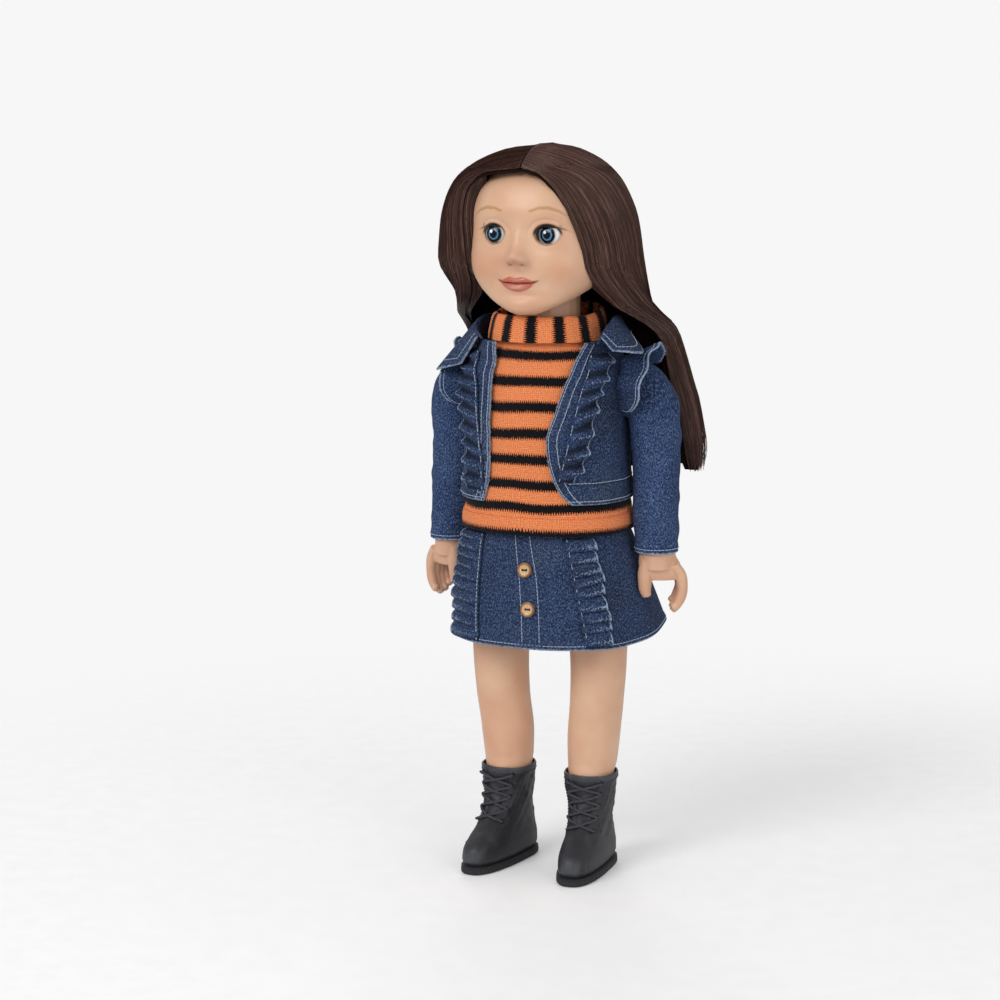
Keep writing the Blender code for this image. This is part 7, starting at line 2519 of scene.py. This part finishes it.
@dataclass
class Skirt(Garment):
    """Flared denim skirt: body, waistband, pleated strips, placket and buttons."""

    top: float = 218.39 * MM
    length: float = 70.0 * MM
    flare: float = 10.5 * MM
    fold: float = 1.8 * MM
    swing: float = 14.0 * MM
    waist: tuple[float, float] = (51.4 * MM, 37.54 * MM)
    band: float = 6.5 * MM
    gap: float = 0.6 * MM
    ruffle_wall: float = 1.0 * MM
    ruffle_stand: float = 2.6 * MM
    hangs_up: bool = False
    # Place down the skirt, then the placket's two stitched lines as shares of a turn
    placket: Shares = (
        (0.00, -0.0165, 0.0060),
        (0.03, -0.0153, 0.0069),
        (0.46, -0.0028, 0.0222),
        (0.91, 0.0028, 0.0278),
        (1.00, 0.0033, 0.0283),
    )
    # Where the left half's front would start to follow its leg, and where it would follow it fully
    fold_start: tuple[float, float, float] = (-15.0 * MM, -29.5 * MM, 231.6 * MM)
    fold_end: tuple[float, float, float] = (42.6 * MM, -89.0 * MM, 179.3 * MM)
    button_radius: float = 4.85 * MM
    button_height: float = 2.0 * MM
    left_ruffle: Shares = (
        (0.03, 0.072, 0.130),
        (0.40, 0.086, 0.143),
        (0.75, 0.099, 0.152),
        (0.97, 0.107, 0.158),
    )
    right_ruffle: Shares = (
        (0.03, -0.086, -0.165),
        (0.35, -0.083, -0.188),
        (0.75, -0.076, -0.168),
        (0.97, -0.070, -0.142),
    )

    def surface(self, share: Any, angle: Any, grow: Any = 0.0) -> Array:
        """Points on the skirt's outer face, from its top down to its hem."""
        share, angle = one_shape(share, angle)
        ease = np.maximum(share, 0.0) ** 0.85
        swing = np.maximum(0.0, np.cos(angle - math.radians(126.0))) ** 6
        side = self.swing * ease * swing
        fold = 0.5 * (1.0 - np.cos(angle)) * self.fold * ease * np.sin(9.0 * angle)
        z = self.top - share * self.length + 0.11 * self.length * ease * swing
        flat = joined(np.sin(angle) * 0.055, -np.cos(angle) * 0.045, z * 0.5)
        wave = 0.35 * MM * ripple(63, flat, 30.0 * MM, 2) * smooth_step(0.0, 0.2, share)
        w = self.waist[0] + self.flare * ease + fold + grow + wave
        d = self.waist[1] + self.flare * ease + fold + grow + wave
        x, y = oval(angle, w, w + side, d, d + side, 2.25)
        return joined(x, y, z)

    def attach(self, piece: Any, body: str) -> None:
        """Ride the body, or keep a piece fixed where it was built."""
        if body == "body":
            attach(piece, body)
            return
        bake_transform(piece)

    def body(self, band: Any) -> None:
        """Skirt body with its turned hem and overlapped placket, in two halves."""
        s = self.sizes
        rows, cols = np.linspace(0.0, 1.0, 90), 300
        turn = full_turn(cols)
        angles = turn - 0.30 * np.sin(turn)
        low = (1.0 - rows) * self.length
        doubled = 0.4 * MM * smooth_step(4.6 * MM, 4.1 * MM, low)[:, None] + 0.0 * angles[None]
        lines = read_shares(self.placket, rows) * TAU
        centred = np.mod(angles[None] + math.pi, TAU) - math.pi
        flap = smooth_step(-0.040, -0.030, centred - lines[0][:, None]) * smooth_step(
            0.040, 0.030, centred - lines[1][:, None]
        )
        doubled = doubled + 0.35 * MM * flap
        grid = self.surface(rows[:, None], angles[None], -s.denim_wall / 2.0 + doubled)
        wear = np.broadcast_to((smooth_step(0.8 * MM, 0.2 * MM, low) * 0.8)[:, None], grid.shape[:2])
        # The halves meet at the flap's edge and at the back's middle
        meet = cols - 10
        for side, first, last in ((Side.LEFT, meet - cols, cols // 2), (Side.RIGHT, cols // 2, meet)):
            pick, shell, threads = np.arange(first, last + 1), Shell(), Shell()
            half, leg = grid[:, pick % cols], side.word + "_leg"
            shell.add_cloth(half, s.denim_wall, False, wear=wear[:, pick % cols], fold=0.0 * wear[:, pick % cols])
            piece = self.keep(
                shell.build("skirt_denim_" + side.word, self.palette.denim, 50.0), leg, "denim", "skirt_body"
            )
            self.declare(piece, half, False, Hold.HUNG, ["torso"], others=[band] if side is Side.LEFT else [])
            if side is Side.LEFT:
                line = np.linspace(0.01, 0.985, 200)
                for seam in read_shares(self.placket, line):
                    self.sew(threads, line, TAU * seam, 0.4 * MM)
            ends = np.unwrap(angles[pick % cols][[0, -1]]) if side is Side.RIGHT else (angles[meet] - TAU, math.pi)
            self.sew(threads, np.full(350, 1.0 - 2.2 / 70.0), np.linspace(ends[0], ends[1], 350), 0.42 * MM)
            self.stitches(threads, "skirt_stitches_" + side.word, leg)

    def waistband(self) -> Any:
        """Waistband round the hips under the sweater."""
        angles = full_turn(200)
        z = np.linspace(self.top + 0.3 * MM, self.top + 0.3 * MM + self.band, 12)
        w, d = (v - self.sizes.denim_wall / 2 for v in self.waist)
        x, y = oval(angles, w, w, d, d, 2.25)
        grid = joined(x[None], y[None], z[:, None])
        shell = Shell().add_cloth(grid, self.sizes.denim_wall, True, wear=0.0 * grid[..., 0], fold=0.0 * grid[..., 0])
        return self.keep(shell.build("skirt_denim_band", self.palette.denim), "body", "denim", "skirt_waistband")

    def button(self, word: str, share: float, degrees: float) -> None:
        """Turned wooden button with a rim, a dish and two holes."""
        angle = math.radians(degrees)
        seat, out = self.surface(share, angle), self.outward(share, angle)
        r, h, low = self.button_radius, self.button_height, self.gap
        profile = [
            (low, 0.3 * r),
            (low, 0.84 * r),
            (low + 0.12 * h, 0.93 * r),
            (low + 0.32 * h, 0.985 * r),
            (low + 0.55 * h, r),
        ]
        profile += [
            (low + 0.78 * h, 0.975 * r), (low + 0.94 * h, 0.92 * r), (low + h, 0.85 * r), (low + 0.97 * h, 0.79 * r)
        ]
        profile += [
            (low + 0.84 * h, 0.72 * r), (low + 0.74 * h, 0.66 * r), (low + 0.66 * h, 0.5 * r), (low + 0.62 * h, 0.2 * r)
        ]
        shell = Shell()
        rings = turned(profile, seat, out, 56)
        rim = np.array([p[1] / r for p in profile])
        shell.add_rings(rings, wear=np.broadcast_to(smooth_step(0.62, 0.8, rim)[:, None], rings.shape[:2]))
        piece = shell.build("skirt_wood_button_" + word, self.palette.wood, 30.0)
        beside = unit(np.cross(out, (0.0, 0.0, 1.0)))
        threads = Shell()
        for shift in (1, -1):
            centre = seat + beside * shift * 0.26 * r
            hole = Shell().add_rings(turned([(-2.0 * h, 0.75 * MM), (2.0 * h, 0.75 * MM)], centre, out, 20))
            carve(piece, [hole])
        for shift in (-0.3, 0.0, 0.3):
            t = np.linspace(-1.0, 1.0, 12)
            bow = low + 0.62 * h + 0.35 * MM - 1.0 * MM * t**6
            path = seat + beside * t[:, None] * 0.25 * r + out * bow[:, None] + np.array([0, 0, 1.0]) * shift * MM
            threads.add_tubes(path[None], 0.17 * MM, 6, up=out)
        self.keep(piece, "left_leg", "button", "skirt_button_" + word)
        self.keep(threads.build("skirt_button_thread_" + word, self.palette.lace, 60.0), "left_leg", "button")

    def build(self) -> None:
        """Build the skirt."""
        self.body(self.waistband())
        pleated_strip(
            self, "skirt_left_pleats", "skirt_left_ruffle", self.left_ruffle, 9, 21, "skirt_body", 1.4, "left_leg"
        )
        pleated_strip(
            self, "skirt_right_pleats", "skirt_right_ruffle", self.right_ruffle, 10, 34, "skirt_body", 0.7, "right_leg"
        )
        self.button("upper", 0.316, 1.0)
        self.button("lower", 0.656, 3.5)


@dataclass
class Boots(Garment):
    """Lace-up ankle boots of coated fabric on rubber soles."""

    height: float = 62.0 * MM
    length: float = 73.0 * MM
    heel: float = 22.0 * MM
    half_width: float = 16.8 * MM
    spread: float = 28.5 * MM
    wall: float = 1.5 * MM
    sole: float = 4.5 * MM
    welt: float = 1.0 * MM
    lace: float = 0.9 * MM
    lace_rows: int = 4
    sections: Shares = (
        (0.075, 0.74, 0.94, 0.93, 2.7),
        (0.14, 0.83, 1.00, 1.00, 2.6),
        (0.23, 0.84, 0.975, 1.00, 2.5),
        (0.33, 0.80, 0.86, 0.98, 2.3),
        (0.43, 0.77, 0.67, 0.96, 2.1),
        (0.54, 0.78, 0.49, 0.93, 2.0),
        (0.68, 0.84, 0.38, 0.91, 2.0),
        (0.84, 0.93, 0.345, 0.88, 2.0),
        (1.00, 1.00, 0.345, 0.86, 2.0),
    )

    def ring(self, share: Any, grow: Any, turn: Array, level: float | None = None) -> Array:
        """Points round one boot on +X at a share of its height."""
        share, turn = one_shape(share, turn)
        width, front, back, power = read_shares(self.sections, share)
        w = width * self.half_width + grow
        x, y = oval(turn, w, w, front * (self.length - self.heel) + grow, back * self.heel + grow, power)
        out = math.radians(6.0)
        z = share * self.height if level is None else np.full(share.shape, level)
        return joined(self.spread + x * math.cos(out) - y * math.sin(out), x * math.sin(out) + y * math.cos(out), z)

    def surface(self, share: Any, angle: Any, grow: Any = 0.0) -> Array:
        """Points on the upper's outer face, with its stays and creases."""
        share, angle = one_shape(share, angle)
        turn = np.abs((angle + math.pi) % TAU - math.pi)
        limit = np.radians(20.0 + 14.0 * smooth_step(0.5, 0.95, share))
        stay = smooth_step(limit - 0.05, limit, turn) * smooth_step(limit + 0.62, limit + 0.56, turn) * smooth_step(
            0.40, 0.44, share
        )
        counter = smooth_step(2.05, 2.12, turn) * smooth_step(0.50, 0.47, share)
        cap = smooth_step(0.62, 0.56, turn) * smooth_step(0.315, 0.295, share)
        cuff = smooth_step(0.90, 0.93, share)
        tongue = smooth_step(limit, limit - 0.06, turn) * smooth_step(0.42, 0.46, share)
        flat = joined(np.sin(angle) * 0.02, -np.cos(angle) * 0.03, share * 0.09)
        crease = 0.30 * MM * ripple(8, flat, 14.0 * MM, 2) * smooth_step(0.25, 0.45, share) * smooth_step(
            1.0, 0.85, share
        )
        rise = 0.45 * MM * stay + 0.35 * MM * counter + 0.3 * MM * cap
        rise = rise + 0.35 * MM * cuff * (1.0 - tongue) - 0.5 * MM * tongue
        return self.ring(share, grow + rise + crease, angle)

    def upper(self, side: Side) -> None:
        """Upper with tongue, lace stays, heel counter, cuff and stitches."""
        cols = 150
        turn = full_turn(cols)
        turn = turn - 0.55 * np.sin(turn) * 0.8
        rows = np.linspace(0.075, 0.985, 110)
        outer = self.surface(rows[:, None], turn[None])
        inner = self.surface(np.linspace(0.985, 0.14, 30)[:, None], turn[None], -self.wall)
        lip = self.surface(1.0, turn, -0.3 * self.wall)[None]
        lip_in = self.surface(1.0, turn, -0.75 * self.wall)[None]
        floor = self.ring(0.14, -self.wall - 1.0 * MM, turn, 6.8 * MM)[None]
        outer[0, :, 2] = self.sole + 0.3 * MM
        rings = np.concatenate([outer, lip, lip_in, inner, floor])
        rings[..., 0] *= side.value
        run = np.broadcast_to(np.arange(len(rings))[:, None] * 0.0005, rings.shape[:2])
        cloth = joined(turn[None] * 0.02, run, 0.0)
        angle = np.abs((turn + math.pi) % TAU - math.pi)
        wear = np.zeros(rings.shape[:2])
        wear[:110] = 0.6 * smooth_step(0.5, 0.2, angle)[None] * smooth_step(0.30, 0.16, rows)[:, None]
        wear[104:112] = 0.5
        shell = Shell().add_rings(rings, cloth=cloth, wear=wear)
        word = side.word
        self.keep(
            shell.build(word + "_boot_body", self.palette.boot, 50.0), word + "_leg", "boot", word + "_boot_upper"
        )
        threads = Shell()
        line = np.linspace(0.44, 0.95, 120)
        limit = np.radians(20.0 + 14.0 * smooth_step(0.5, 0.95, line))
        thin = Thread(pitch=2.0 * MM, length=1.4 * MM, radius=0.2 * MM)
        for sign in (1, -1):
            for shift in (0.05, 0.55):
                a = sign * (limit + shift)
                thin.sew(threads, self.surface(line, a), self.outward(line, a))
        loop = np.linspace(0.0, TAU, 300)
        thin.sew(threads, self.surface(0.945, loop), self.outward(0.945 + 0 * loop, loop))
        a = np.linspace(-0.62, 0.62, 120)
        thin.sew(threads, self.surface(0.288 + 0 * a, a), self.outward(0.288 + 0 * a, a))
        piece = threads.build(word + "_boot_stitches", self.palette.lace, 60.0)
        piece.data.transform(Matrix.Scale(side.value, 4, (1.0, 0.0, 0.0)))
        self.keep(piece, word + "_leg", "boot")

    def soles(self, side: Side) -> None:
        """Moulded sole with its welt and ribbed edge."""
        turn = full_turn(160)
        heights = np.array([0.0, 0.12, 0.25, 0.55, 0.78, 0.82, 0.86, 0.97, 1.0]) * self.sole
        reach = np.array([0.35, 0.85, 0.95, 0.95, 0.9, 0.62, 0.92, 0.95, 0.7]) * self.welt
        rib = 0.16 * MM * np.sign(np.sin(turn * 46.0))
        rings = []
        for z, grow in zip(heights, reach):
            ribbed = rib if 0.1 * self.sole < z < 0.8 * self.sole else 0.0
            rings.append(self.ring(0.14, grow + ribbed, turn, float(z)))
        rings = np.stack(rings)
        rings[..., 0] *= side.value
        shell = Shell().add_rings(rings)
        word = side.word
        self.keep(
            shell.build(word + "_boot_tread", self.palette.sole, 30.0), word + "_leg", "boot_sole", word + "_boot_sole"
        )

    def laces(self, side: Side) -> None:
        """Two laces that cross up the front, with eyelets."""
        shell, rings = Shell(), Shell()
        spread = math.radians(38.0)
        first, last = 0.47, 0.93
        for start in (1, -1):
            t = np.linspace(0.0, 1.0, 150)
            share = first + (last - first) * t
            phase = (t * self.lace_rows) % 2.0
            swing = np.where(phase <= 1.0, 1.0 - 2.0 * phase, 2.0 * phase - 3.0)
            swing = np.sin(swing * math.pi / 2.0 * 0.98) * 0.55 + swing * 0.45
            lift = self.lace + 0.75 * MM + 0.4 * self.lace * start * np.cos(math.pi * 2.0 * phase)
            path = self.surface(share, start * spread * swing, lift)
            path[..., 0] *= side.value
            twist = joined(t * 0.2, 0.0, 0.0)
            shell.add_tubes(
                path[None], self.lace * (0.94 + 0.06 * np.sin(t * 260.0))[None], 10, up=(0, -1, 0.1), cloth=twist[None]
            )
        for row in range(self.lace_rows + 1):
            share = first + (last - first) * row / self.lace_rows
            for sign in (1, -1):
                seat, out = self.surface(share, sign * spread * 1.02), self.outward(share, sign * spread * 1.02)
                ring = turned(
                    [(-0.2 * MM, 1.5 * MM), (0.35 * MM, 1.5 * MM), (0.55 * MM, 1.25 * MM), (0.4 * MM, 0.9 * MM)],
                    seat,
                    out,
                    20,
                )
                ring[..., 0] *= side.value
                rings.add_rings(ring)
        word = side.word
        self.keep(
            shell.build(word + "_boot_lacing", self.palette.lace, 50.0),
            word + "_leg",
            "boot_lace",
            word + "_boot_laces",
        )
        self.keep(rings.build(word + "_boot_eyelets", self.palette.eyelet, 30.0), word + "_leg", "boot")

    def build(self) -> None:
        """Build both boots."""
        for side in Side:
            self.upper(side)
            self.soles(side)
            self.laces(side)


@dataclass
class Studio:
    """Camera of the photograph, soft lights and a pale paper sweep."""

    place: tuple[float, float, float] = (0.66216, -1.56750, 0.50506)
    turn: float = 23.942
    lift: float = 9.048
    roll: float = -0.335
    lens: float = 98.52

    def camera(self) -> None:
        """Stand the camera where the photograph was taken from."""
        az, el, roll = (math.radians(v) for v in (self.turn, self.lift, self.roll))
        back = np.array([math.sin(az) * math.cos(el), -math.cos(az) * math.cos(el), math.sin(el)])
        right = np.array([math.cos(az), math.sin(az), 0.0])
        up = np.cross(back, right)
        r = math.cos(roll) * right + math.sin(roll) * up
        u = -math.sin(roll) * right + math.cos(roll) * up
        data = bpy.data.cameras.new("camera")
        data.lens, data.sensor_width = self.lens, 36.0
        camera = bpy.data.objects.new("camera", data)
        camera.matrix_world = Matrix([[*v] for v in np.column_stack([r, u, back, self.place])] + [[0, 0, 0, 1]])
        bpy.context.scene.collection.objects.link(camera)
        bpy.context.scene.camera = camera

    @staticmethod
    def lamp(name: str, power: float, size: float, place: Array, aim: Array) -> Any:
        """Add one soft area lamp."""
        data = bpy.data.lights.new(name, "AREA")
        data.energy, data.shape, data.size = power, "DISK", size
        lamp = bpy.data.objects.new(name, data)
        lamp.location = place
        lamp.rotation_euler = (Vector(aim) - Vector(place)).to_track_quat("-Z", "Y").to_euler()
        bpy.context.scene.collection.objects.link(lamp)
        return lamp

    def build(self) -> None:
        """Set up the camera, the lights, the paper and the world."""
        self.camera()
        lamps = [
            self.lamp("key_lamp", 17.0, 1.1, (-0.55, -1.65, 1.35), (0, 0, 0.27)),
            self.lamp("fill_lamp", 7.0, 1.4, (1.6, -1.1, 0.7), (0, 0, 0.25)),
            self.lamp("back_lamp", 6.0, 0.9, (-0.7, 1.4, 1.2), (0, 0, 0.3)),
        ]
        shell = Shell()
        x = np.linspace(-6.0, 6.0, 3)
        y = np.array([-6.0, 0.0, 6.0])
        grid = joined(x[None], y[:, None], -0.4 * MM)
        shell.add(grid, grid_faces(3, 3, False))
        floor = shell.build("paper_floor", StudioPaper("studio_paper").build())
        floor.visible_shadow = False
        world = bpy.data.worlds.new("studio_world")
        world.use_nodes = True
        tree = world.node_tree
        tree.nodes.clear()
        rays = add_node(tree, "LightPath", out="Is Camera Ray")
        strength = add_node(tree, "MapRange", {"To Min": 0.5, "To Max": 0.93, "Value": rays})
        shade = add_node(tree, "Background", {"Color": (1.0, 1.0, 1.0, 1.0), "Strength": strength})
        add_node(tree, "OutputWorld", {"Surface": shade})
        bpy.context.scene.world = world
        bpy.context.scene.view_settings.view_transform = "Standard"


def main() -> None:
    """Dress the doll from its body outward and set the studio."""
    logging.basicConfig(level=logging.INFO, format="%(message)s")
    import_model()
    palette, sizes = Palette(), DollSizes()
    Studio().build()
    parts: list[Assembly] = [
        Head(sizes, palette), SleepEye(sizes, palette, side=Side.LEFT), SleepEye(sizes, palette, side=Side.RIGHT)
    ]
    parts += [Hair(sizes, palette), Limbs(sizes, palette), Sweater(sizes, palette), Jacket(sizes, palette)]
    parts += [Wing(sizes, palette, side=side) for side in Side] + [Sleeve(sizes, palette, side=side) for side in Side]
    parts += [Skirt(sizes, palette), Boots(sizes, palette)]
    for part in parts:
        part.build()
        for name in part.made:
            LOG.info("%s made %s", type(part).__name__, name)


if __name__ == "__main__":
    main()
